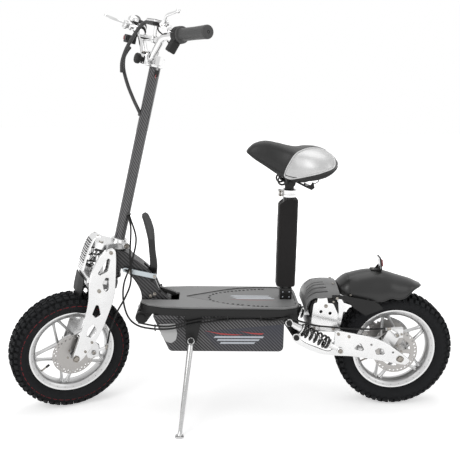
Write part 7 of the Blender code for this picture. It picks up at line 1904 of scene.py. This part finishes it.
def seat_post():
    """Post, saddle clamp with its bolts, and the bent wire rails."""
    piece = Piece("post_and_rails")
    upright = standing(SEAT_X)
    piece.add(drum(0.0141, 0.5, 0.706, 0.0006, 48), "black_paint", upright)
    left, right = (SEAT_X, -0.02, CLAMP_Z), (SEAT_X, 0.02, CLAMP_Z)
    piece.add(rod(left, right, 0.0165, 48, 0.0014), "black_paint")
    for side in SIDES:
        turn = aim((SEAT_X, side * 0.0185, CLAMP_Z), (0, side, 0))
        piece.add(collar(0.0168, 0.006, 0.0, 0.0026, 0.0007), "black_paint", turn)
        piece.add(hex_bolt((SEAT_X, side * 0.0206, CLAMP_Z), (0, side, 0), 0.0052), "black_paint")
        line = mm((-78, 14, 76), (-44, 15, 56), (-27, 16.5, 5), (50, 19, 4), (93, 24, 40))
        line = bent([Vector((SEAT_X + x, side * y, CLAMP_Z + z)) for x, y, z in line], 0.012, 6)
        piece.add(tube(line, 0.0037, 16), "black_paint")
        start = Vector((SEAT_X - 0.025, side * 0.0215, CLAMP_Z + 0.007))
        piece.add(coil(start, start + Vector((0, side * 0.011, 0)), 0.0125, 0.0026, 3.5), "spring")
    bar = moved(mm((6, 6), (18, 4), (46, -10), (64, -18)), SEAT_X, CLAMP_Z)
    bar = [(x, -0.0225, z) for x, z in bar]
    piece.add(tube(bar, 0.0032, 12, 0.6, (0, 1, 0)), "black_paint")
    holder = moved(mm((40, 2), (60, -6), (68, 6), (73, -14), (64, -21), (40, -8)), SEAT_X, CLAMP_Z)
    holder = rounded(holder, 0.002, 3)
    piece.add(plate([holder], -0.0285, -0.0235, "y", 0.0008, 2), "black_paint")
    label = oblong(0.0045, 0.0022, 0.0008, SEAT_X + 0.049, CLAMP_Z - 0.0045)
    piece.add(plate([label], -0.029, -0.0284, "y", 0.0002, 1), "plate")
    hoop = mm(
        (66, -23, -4), (78, -23.5, 1), (85, -18, 6), (84, -10, 10), (70, -8, 13), (56, -10, 12)
    )
    hoop = [(SEAT_X + x, y, CLAMP_Z + z) for x, y, z in hoop]
    piece.add(tube(route(hoop, 0.002), 0.0014, 10), "black_paint")
    piece.make("seat", "black_paint", "seat_post")


# Rear end


ARM_Y = 0.095


def swing_arm():
    """Polished side plates with their cut-outs, the motor's base and brackets, and the stay."""
    outline = mm(
        (180, 244), (190, 233), (212, 220.5), (240, 208), (276, 197), (320, 193.8), (366, 191.5),
        (439, 180), (517, 166), (531, 167), (541, 178), (533, 188), (505, 208), (462, 237),
        (416, 255), (370, 265), (326, 273.5), (313, 274.5), (306.5, 268), (306, 250), (306, 232),
        (300, 213), (284, 209), (254, 220), (222, 233), (205, 245), (201, 258), (190, 264.5),
        (179, 258)
    )
    outline = smooth_loop(outline, 0.004)
    triangle = rounded(mm((364, 216), (402, 209), (386, 236)), 0.0045, 5)
    hexagon = rounded(mm((438, 198), (463, 199), (457, 216), (443, 219), (432, 212)), 0.003, 4)
    slot = slot_outline((0.506, 0.1835), (0.516, 0.1842), 0.0062, 10)
    holes = [triangle, hexagon, slot, circle(0.19, 0.252, 0.0066, 32)]
    holes += [circle(0.42, 0.23, 0.0032, 20), circle(0.488, 0.205, 0.0032, 20)]
    piece = Piece("swing_arm_plates")
    for side in SIDES:
        piece.add(side_plate([outline, *holes], side, ARM_Y, ARM_Y + 0.008, 0.0013, 3), "polished")
        for x, z in mm((317, 264), (328, 205), (350, 256)):
            piece.add(cap_bolt((x, side * (ARM_Y + 0.0078), z), (0, side, 0), 0.0046, 0.7), "zinc")
        x, z = 0.325, 0.211
        piece.add(rod((x, side * (ARM_Y + 0.002), z), (x, side * 0.11, z), 0.0058, 28), "zinc")
        piece.add(cap_bolt((x, side * 0.1092, z), (0, side, 0), 0.007, 0.35), "zinc")
    wide = ARM_Y * 1000 + 0.5
    base = mm(
        (228, -77.4), (308, -77.4), (308, -wide), (327, -wide), (327, wide), (308, wide),
        (308, 66.5), (298, 66.5), (298, 49.5), (228, 49.5)
    )
    base = rounded(base, [0.006, 0, 0, 0, 0, 0, 0, 0, 0, 0.006], 4)
    piece.add(plate([base], 0.262, 0.27, "z", 0.001, 2), "cast")
    stay = rounded(mm((-36, 262), (36, 262), (30, 398.9), (-30, 398.9)), [0, 0, 0.008, 0.008], 5)
    window = rounded(mm((-18, 290), (18, 290), (15, 370), (-15, 370)), 0.006, 5)
    piece.add(plate([stay, window], 0.329, 0.333, "x", 0.0008, 2), "polished")
    head = mm((329, 390), (333, 390), (352, 411), (352, 416.5), (340, 412.5), (329, 401))
    piece.add(plate([head], -0.01, 0.01, "y", 0.0008, 2), "polished")
    bracket = mm(
        (234, 262.5), (318, 262.5), (318, 318), (302, 352), (286, 353), (282, 370.8), (254, 370.8),
        (252, 354), (242, 354)
    )
    bracket = rounded(bracket, [0, 0, 0.01, 0.012, 0.002, 0.003, 0.003, 0.002, 0.01], 5)
    for side in SIDES:
        eyes = [circle(x, z, 0.0046, 24) for x, z in ((0.2655, 0.325), (0.2935, 0.32)) if side < 0]
        piece.add(side_plate([bracket, *eyes], side, 0.07, 0.074, 0.001, 3), "polished")
        for x in (0.246, 0.306):
            piece.add(hex_bolt((x, side * 0.0738, 0.27), (0, side, 0), 0.0042), "zinc")
        piece.add(hex_bolt((0.28, side * 0.0738, 0.343), (0, side, 0), 0.0044), "zinc")
        piece.add(rod((0.268, side * 0.03, 0.364), (0.268, side * 0.072, 0.364), 0.004, 20), "zinc")
    second = mm((313, 269), (329, 269), (336, 319), (348, 331), (329, 362), (318, 362), (322, 320))
    second = rounded(second, 0.003, 4)
    piece.add(plate([second], -0.0625, -0.059, "y", 0.0008, 2), "polished")
    piece.make("swing", "aluminium", "swing_arm")


def motor():
    """Painted motor can with its end bells, through bolts, brush caps and foot."""
    x, y, z = MOTOR_X, -0.012, MOTOR_Z
    piece = Piece("motor_can")
    profile = mm(
        (0, -56), (13.5, -56), (14, -55), (14, -52), (40, -52), (44, -50.5), (48, -46), (48, -39),
        (46.6, -38), (46.6, 38), (48, 39), (48, 46), (44, 50.5), (40, 52), (5.4, 52), (5.4, 44),
        (0, 44)
    )
    piece.add(lathe(profile, 64), "black_paint", Matrix.Translation((x, y, z)))
    for i in range(4):
        a = math.tau * (i + 0.5) / 4
        at = (x + 0.038 * math.cos(a), y - 0.0518, z + 0.038 * math.sin(a))
        piece.add(cap_bolt(at, (0, -1, 0), 0.0034, 0.6), "zinc")
    foot = oblong(0.03, 0.038, 0.004, x, y)
    piece.add(plate([foot], 0.2703, 0.291, "z", 0.0015, 2), "black_paint")
    piece.make("swing", "black_paint", "motor")


def pitch_radius(teeth):
    """How far from a chain wheel's axis the chain's pins run."""
    return CHAIN_PITCH / (2 * math.sin(math.pi / teeth))


def toothed(teeth, bore, holes):
    """A chain wheel's outline with rounded gullets between its teeth."""
    rise = ((0.4, -0.0027), (0.26, -0.0012), (0.1, 0.0014))
    flank = [(-share, reach) for share, reach in rise]
    flank = [(-0.5, -0.003), *flank, (0.0, 0.0018), *rise[::-1]]
    outline = []
    for i in range(teeth):
        for share, reach in flank:
            angle = math.tau * (i + share) / teeth
            radius = pitch_radius(teeth) + reach
            outline.append((radius * math.cos(angle), radius * math.sin(angle)))
    return [outline, circle(0, 0, bore, 32), *holes]


def rear_sprocket():
    """Chain wheel with six windows, bolted to the right side of the rear hub."""
    windows = []
    for i in range(6):
        first, last = 60 * i + 9.0, 60 * i + 51.0
        window = arc(0, 0, 0.037, first + 9, last - 9, 8)
        windows.append(window + arc(0, 0, 0.031, last - 9, first + 9, 8))
    piece = Piece("rear_chain_wheel", REAR)
    piece.add(plate(toothed(36, 0.0122, windows), 0.0568, 0.0592, "y", 0.0004, 1), "disc")
    piece.add(collar(0.027, 0.0122, 0.0404, 0.057, 0.001, 56), "steel")
    for i in range(6):
        a = math.tau * i / 6
        at = (0.0215 * math.cos(a), 0.059, 0.0215 * math.sin(a))
        piece.add(hex_bolt(at, (0, 1, 0), 0.003), "zinc")
    piece.make("rear_wheel", "steel", "rear_sprocket")


def chain():
    """Roller chain: outer and inner side plates and rollers, link by link round both wheels."""
    big, small = pitch_radius(36), pitch_radius(8)
    front, rear = Vector((MOTOR_X, MOTOR_Z)), Vector((REAR_X, TYRE_R))
    span = rear - front
    heading = math.atan2(span.y, span.x)
    lean = math.acos((small - big) / span.length)
    line = []
    for k in range(25):
        angle = heading + lean + (math.tau - 2 * lean) * k / 24
        line.append(front + Vector((math.cos(angle), math.sin(angle))) * small)
    for k in range(73):
        angle = heading - lean + 2 * lean * k / 72
        line.append(rear + Vector((math.cos(angle), math.sin(angle))) * big)
    total = sum((b - a).length for a, b in zip(line, line[1:] + line[:1]))
    links = 2 * round(total / CHAIN_PITCH / 2)
    step = total / links
    pins, walked, k = [], 0.0, 0
    ring = line + line[:1]
    for n in range(links):
        while walked + (ring[k + 1] - ring[k]).length < n * step:
            walked += (ring[k + 1] - ring[k]).length
            k += 1
        pins.append(ring[k].lerp(ring[k + 1], (n * step - walked) / (ring[k + 1] - ring[k]).length))
    piece = Piece("roller_chain")
    for i, (a, b) in enumerate(zip(pins, pins[1:] + pins[:1])):
        piece.add(rod((a.x, 0.0544, a.y), (a.x, 0.0616, a.y), 0.0013, 10, 0.0003), "zinc")
        piece.add(rod((a.x, 0.0562, a.y), (a.x, 0.0598, a.y), 0.0027, 12, 0.0003), "steel")
        outline = slot_outline(a, b, 0.004, 5)
        near = 0.0019 if i % 2 else 0.0026
        for side in SIDES:
            low, high = sorted((0.058 + side * near, 0.058 + side * (near + 0.0007)))
            piece.add(plate([outline], low, high, "y", 0.0002, 1), "steel")
    piece.make("swing", "steel", "chain")


def motor_cover():
    """Grey-black hood over the motor: rolled front, arched sides, louvres and the rear wings."""
    top = mm(
        (212, 340), (215, 366), (226, 385), (242, 398), (256, 402), (274, 404), (296, 404),
        (317, 402)
    )
    shares = [-1.0, -0.96, -0.86, -0.68, -0.4, 0.0, 0.4, 0.68, 0.86, 0.96, 1.0]
    rows = []
    for i, (x, z) in enumerate(top):
        drop = 0.012 + 0.02 * min(i, 4) / 4
        half = 0.074 + 0.006 * min(i, 4) / 4
        rows.append([(x + 0.006 * abs(s) ** 3, half * s, z - drop * abs(s) ** 2.6) for s in shares])
    piece = Piece("motor_hood")
    piece.add(sheet(finer(rows, 6, 6), 0.0025), "cover")
    slots = []
    for side in SIDES:
        for i in range(4):
            y = side * (0.02 + 0.0145 * i)
            outline = slot_outline((0.226 - 0.001 * i, y), (0.274 + 0.003 * i, y), 0.0021, 6)
            slots.append(plate([outline], 0.345, 0.415, "z", 0.0002, 1))
    piece.make("swing", "black_plastic", "motor_cover", sharp=40, cuts=slots)
    wings = Piece("hood_wings")
    outline = mm(
        (296, 380.5), (321.7, 380.9), (335, 376.5), (378.9, 370), (423, 361.3), (438.7, 354.5),
        (455.2, 337.5), (425.4, 324.7), (401.9, 315.3), (395, 319.9), (367.8, 336.8),
        (349.3, 353.8), (322.4, 369.5), (296, 370.5)
    )
    radii = [2, 10, 20, 30, 20, 10, 4, 20, 4, 10, 30, 20, 10, 2]
    outline = rounded(outline, [radius / 1000 for radius in radii], 4)
    for side in SIDES:
        wings.add(side_plate([outline], side, 0.079, 0.0816, 0.0011, 3), "black_plastic")
        near, far = (0.311, side * 0.066, 0.371), (0.311, side * 0.0815, 0.371)
        wings.add(rod(near, far, 0.0036, 20), "zinc")
        wings.add(cap_bolt((0.311, side * 0.0812, 0.371), (0, side, 0), 0.0042, 0.5), "zinc")
        stay = mm((404, side * 80, 350), (406, side * 74, 358), (408, side * 66, 364))
        wings.add(tube(route(stay, 0.002), 0.0032, 14), "black_plastic")
    for y in (-0.03, 0.03):
        wings.add(cap_bolt((0.306, y, 0.4008), (0, 0, 1), 0.0042, 0.45), "zinc")
    wings.make("swing", "black_plastic")


def rear_fender():
    """Satin mudguard: swollen over the wheel, with a rolled edge, seam and screws."""
    stations = mm(
        (317, 392.5, 384, 20), (322, 399, 378, 36), (333, 410, 372, 49), (354, 424, 367, 60),
        (410, 438.5, 357, 66), (452, 438, 356, 65.5), (480, 432, 366, 64), (506, 424, 362, 61),
        (530, 417, 368, 55), (555, 409, 388, 45), (584, 396, 394.5, 20)
    )
    rows = []
    for x, top, low, half in stations:
        row = []
        for a in (-90, -76, -58, -38, -18, 0, 18, 38, 58, 76, 90):
            angle = math.radians(a)
            up = math.cos(angle) ** 0.8 if abs(a) < 90 else 0.0
            row.append((x, half * math.sin(angle), low + (top - low) * up))
        rows.append(row)
    grid = finer(rows, 6, 7)
    piece = Piece("fender_shell")
    piece.add(sheet(grid, 0.003), "fender")
    for edge in (0, -1):
        line = [row[edge] for row in grid[2:-2]]
        piece.add(tube(line, 0.0021, 10), "fender")
    seam = [p + Vector((0, 0, 0.0002)) for p in grid[21]]
    piece.add(tube(seam, 0.0007, 8), "black_plastic")
    for side in SIDES:
        piece.add(cap_bolt((0.356, side * 0.0612, 0.374), (0, side, 0.1), 0.0034, 0.4), "zinc")
    piece.make("swing", "black_plastic", "rear_fender", sharp=44)


def tail_reflector():
    """Leaning reflector in its moulded holder, with ribs in the lens."""
    piece = Piece("reflector_holder")
    foot = oblong(0.018, 0.0135, 0.003, 0.4435, 0.0)
    piece.add(plate([foot], 0.4387, 0.4424, "z", 0.0012, 2), "black_plastic")
    way = Vector((-0.007, 0, 0.043)).normalized()
    back = Vector((way.z, 0, -way.x))
    base = axes((0.456, 0, 0.44), (0, 1, 0), back, way)
    holder = plate([oblong(0.02, 0.0215, 0.006, 0.0, 0.0215)], -0.0008, 0.003, "y", 0.001, 3)
    piece.add(holder, "black_plastic", base)
    front = [oblong(0.018, 0.0195, 0.005, 0.0, 0.0215)]
    front += [circle(0, z, 0.003, 20) for z in (0.03, 0.013)]
    piece.add(plate(front, -0.0022, -0.0006, "y", 0.0006, 2), "cast", base)
    lens = plate([oblong(0.0165, 0.0112, 0.004, 0.0, 0.0225)], 0.0026, 0.0086, "y", 0.0016, 3)
    piece.add(lens, "lens", base)
    for i in range(9):
        rib = oblong(0.015, 0.0005, 0.0002, 0.0, 0.0135 + 0.00225 * i)
        piece.add(plate([rib], 0.0083, 0.0091, "y", 0.0002, 1), "lens", base)
    for side in SIDES:
        gusset = mm((442, 442), (457, 442), (455.5, 460))
        piece.add(side_plate([gusset], side, 0.0105, 0.0125, 0.0005, 1), "black_plastic")
        piece.add(cap_bolt((0.433, side * 0.008, 0.442), (0, 0, 1), 0.003, 0.5), "zinc")
    piece.make("swing", "black_plastic", "tail_reflector")


def rear_caliper():
    """The rear caliper over the disc, on a bracket with a tab to the left plate."""
    piece = Piece("rear_caliper_body")
    way = Vector((0.95, 0.2, -0.12)).normalized()
    stop = Vector((0.474, -0.068, 0.269))
    caliper_shapes(piece, (REAR_X, 0, TYRE_R), (-0.05, 0, 1.0), 0.07, stop, way)
    bracket = rounded(mm((452, 206), (492, 190), (515, 236), (500, 262), (480, 262)), 0.006, 4)
    piece.add(plate([bracket], -0.062, -0.0572, "y", 0.001, 2), "cast")
    tab = rounded(mm((452, 206), (478, 196), (488, 220), (462, 232)), 0.003, 3)
    piece.add(plate([tab], -0.0947, -0.0572, "y", 0.001, 2), "cast")
    piece.make("swing", "cast", "rear_caliper")


EYE = Vector((0.166, 0.0, 0.3))
TAIL = Vector((0.325, 0.0, 0.211))


def shocks():
    """Both shocks: eyes, bright bodies, rods and their enamelled springs."""
    way = (TAIL - EYE).normalized()
    total = (TAIL - EYE).length
    for name, side in (("left", -1), ("right", 1)):
        base = Vector((EYE.x, side * 0.0985, EYE.z))
        turn = aim(base, way)
        body = Piece(f"shock_{name}_body")
        eye = Matrix.Translation(base)
        body.add(collar(0.0115, 0.0064, -0.008, 0.008, 0.0012, 44), "polished", eye)
        body.add(collar(0.008, 0.0062, -0.0086, 0.0086, 0.0005, 32), "rubber", eye)
        shell_profile = mm(
            (4.9, 60), (4.9, 105), (9.2, 105), (10, 104), (10, 49), (15, 46.5), (16.5, 45.5),
            (16.5, 42.5), (15, 41.5), (11.5, 40), (10, 30), (8.8, 18), (7, 8), (0, 7), (0, 60)
        )
        body.add(lathe(shell_profile, 48), "polished", turn)
        body.make(f"shock_{name}", "aluminium", f"shock_body_{name}")
        inner = Piece(f"shock_{name}_rod")
        inner.add(drum(0.0045, 0.075, total - 0.008, 0.0005, 28), "chrome", turn)
        heel = mm(
            (4.6, 139), (15, 139), (16.5, 140), (16.5, 142.5), (12, 144), (10, 148), (8.5, 160)
        )
        heel += [(0.0072, total - 0.0065), (0.0046, total - 0.006)]
        inner.add(lathe(heel, 44, True), "polished", turn)
        eye = collar(0.0105, 0.0066, *sorted((side * 0.1034, side * 0.1094)), 0.001, 44)
        inner.add(eye, "polished", Matrix.Translation(TAIL))
        inner.make(f"shock_rod_{name}", "chrome", f"shock_rod_{name}")
        wound = Piece(f"shock_{name}_coil")
        wound.add(coil(base + way * 0.047, base + way * 0.138, 0.0172, 0.0034, 6.5), "spring")
        bodies = (f"shock_{name}", f"shock_rod_{name}")
        start, end = base + way * 0.055, base + way * 0.13
        wound.bend(bodies, start, end, "spring", f"shock_spring_{name}")


def kickstand():
    """Chromed side stand: pivot eye with its bolt, tapered leg and flat foot."""
    pivot, foot = Vector((-0.128, -0.119, 0.245)), Vector((-0.157, -0.246, 0.0))
    leg = (foot - pivot).normalized()
    axis = -Vector((1, 0, 0)).cross(leg).normalized()
    piece = Piece("stand_leg")
    piece.add(collar(0.011, 0.0056, -0.0075, 0.008, 0.0012, 44), "stand", aim(pivot, axis))
    length = (foot - pivot).length
    shares = (0.045, 0.1, 0.3, 0.55, 0.8, 0.93, 0.985)
    radii = (0.0092, 0.009, 0.0082, 0.0074, 0.0066, 0.0062, 0.0078)
    line = [pivot + leg * share * length for share in shares]
    piece.add(tube(line, radii, 28, dome=0.2), "stand")
    sole = rounded(mm((-171, -256), (-143, -256), (-146, -235), (-168, -235)), 0.007, 5)
    piece.add(plate([sole], 0.0001, 0.0062, "z", 0.0018, 3), "stand")
    piece.make("kickstand", "chrome", "kickstand")


def rear_cable():
    """The rear brake's cable in three runs, one across each joint."""
    begin = [STEER @ p for p in cable_start(-0.0032)]
    line = begin + mm(
        (-296, -38, 538), (-308, -56, 472), (-330, -68, 410), (-332, -80, 360), (-318, -90, 312),
        (-288, -98, 286), (-240, -102, 277), (-190, -108, 280), (-144, -113, 292),
        (-88, -111.5, 302.5), (-20, -104, 308.5), (50, -101, 310.5), (110, -103, 307),
        (160, -114, 318), (198, -124, 312), (243, -120, 298), (300, -108, 288), (352, -98, 280),
        (433, -80, 272), (462.6, -70.4, 270.4), (473.7, -68.1, 269)
    )
    points = route(line, 0.003)

    def nearest(place):
        return min(range(len(points)), key=lambda i: (points[i] - Vector(place)).length)

    first, second = nearest((-0.331, -0.074, 0.385)), nearest((0.05, -0.101, 0.3105))
    marks = (0, first, second, len(points) - 1)
    # Each run: its name, the bodies at its ends, where its bend starts and ends
    runs = (
        ("front", ("steering", "neck"), begin[2], (-0.325, -0.065, 0.425)),
        ("middle", ("neck", "frame"), (-0.331, -0.076, 0.375), (-0.25, -0.101, 0.279)),
        ("back", ("frame", "swing"), (0.16, -0.114, 0.318), (0.3, -0.108, 0.288)),
    )
    for (name, bodies, start, end), low, high in zip(runs, marks, marks[1:]):
        run = points[low : high + 1]
        piece = Piece("rear_cable_" + name)
        piece.add(tube(run, CABLE_R, 16, dome=0), "cable")
        if name == "back":
            piece.add(tube([run[-4], run[-1]], FERRULE_R, 16, dome=0), "steel")
        nodes = ["rear_brake_cable"] if name == "front" else []
        piece.bend(bodies, start, end, "black_plastic", *nodes)


def dress_cad():
    """Finishes for the CAD nodes that stay."""
    for name, key, bevel in (
        ("chassis", "black_paint", 0.0008),
        ("battery_box", "carbon_box", 0.0016),
        ("battery_pack", "battery", 0.001),
        ("lever_link", "link", 0.0008),
        ("latch_bar", "gloss_black", 0.0006),
        ("motor_pinion", "steel", 0.0003),
    ):
        dress(name, key, bevel)


# Studio


def stage():
    """Floor and world that look white but light the scooter less, so that its shadow stays."""
    n = Nodes("studio_floor", specular=0.0)
    grain = n.noise(3.0, 2.0, 0.5)
    n.colour(grain, 0.9, 0.93)
    n.rough(n.between(grain, 0.85, 0.95))
    place = n.add("NewGeometry", {}).outputs["Position"]
    away = n.add("VectorMath", {0: place}, operation="LENGTH").outputs["Value"]
    glow = n.between(away, FLOOR_GLOW, 1.0, 0.95, 1.9)
    n.feed(n.shader.inputs["Emission Color"], (1, 1, 1))
    n.feed(n.shader.inputs["Emission Strength"], n.times(n.seen_directly(), glow))
    size = 9.0
    mesh = bpy.data.meshes.new("studio_floor")
    corners = [(-size, -size, 0), (size, -size, 0), (size, size, 0), (-size, size, 0)]
    mesh.from_pydata(corners, [], [(0, 1, 2, 3)])
    mesh.materials.append(n.material)
    floor = bpy.data.objects.new("studio_floor", mesh)
    bpy.context.scene.collection.objects.link(floor)
    world = bpy.data.worlds.new("studio")
    bpy.context.scene.world = world
    world.use_nodes = True
    sky = Tree(world.node_tree)
    shown = world.node_tree.nodes["Background"].inputs
    sky.feed(shown["Color"], (1, 1, 1))
    sky.feed(shown["Strength"], sky.between(sky.seen_directly(), WORLD_LIGHT, 1.0))


def lamps():
    """Large soft lamps: key from the upper left front, fills from the right and above."""
    for name, at, size, power in (
        ("key", (-2.2, -2.4, 2.8), 2.2, 44.0),
        ("fill", (2.6, -1.6, 1.8), 2.0, 12.0),
        ("top", (0.2, 0.6, 3.2), 2.6, 26.0),
    ):
        data = bpy.data.lights.new(name, "AREA")
        data.shape = "DISK"
        data.size = size
        data.energy = power
        lamp = bpy.data.objects.new(name, data)
        bpy.context.scene.collection.objects.link(lamp)
        way = Vector((0.0, 0.0, 0.45)) - Vector(at)
        turn = way.to_track_quat("-Z", "Y").to_matrix().to_4x4()
        lamp.matrix_world = Matrix.Translation(at) @ turn


def camera():
    """The photograph's view, solved from its wheels, deck and column."""
    data = bpy.data.cameras.new("camera")
    data.sensor_width = 36.0
    data.lens = 55.54
    data.clip_start = 0.05
    made = bpy.data.objects.new("camera", data)
    bpy.context.scene.collection.objects.link(made)
    right = Vector((0.99935232, -0.03078733, 0.01863013))
    up = Vector((-0.01105044, 0.23014564, 0.97309345))
    back = Vector((-0.03424659, -0.97266907, 0.22965637))
    made.matrix_world = axes((-0.08787, -2.10863, 1.05769), right, up, back)
    bpy.context.scene.camera = made


camera()
for end in ("front", "rear"):
    tyre(end + "_tyre", end + "_wheel")
    rim(end + "_rim", end + "_wheel")
brake_disc("front_disc", "front_wheel", 0.065, ((24, 0.06, 0.0), (24, 0.0545, 0.5)), 0.0024, 5)
brake_disc("rear_disc", "rear_wheel", 0.07, ((32, 0.0635, 0.0),), 0.0029, 5)
axle("front_axle", "fork", 0.075, 0.0627)
axle("rear_axle", "swing", 0.103, 0.0947)
handlebar()
lever_blade("brake_lever_left", -1)
lever_blade("brake_lever_right", 1)
grip("throttle_grip", -1, "throttle")
grip("right_grip", 1, "steering")
throttle_housing()
display()
bell()
switch_block()
key()
column()
fork_crown()
fork_leg("fork_leg_left", -1)
fork_leg("fork_leg_right", 1)
fork_bridge()
fork_springs()
front_cover()
front_mudguard()
front_caliper()
front_cable()
harnesses()
neck()
fold_lever()
deck()
box_trim()
seat_tube()
post_pad()
seat_post()
saddle()
swing_arm()
motor()
rear_sprocket()
chain()
motor_cover()
rear_fender()
tail_reflector()
rear_caliper()
shocks()
kickstand()
rear_cable()
dress_cad()
stage()
lamps()

bpy.context.scene.view_settings.view_transform = "Standard"
bpy.context.view_layer.update()
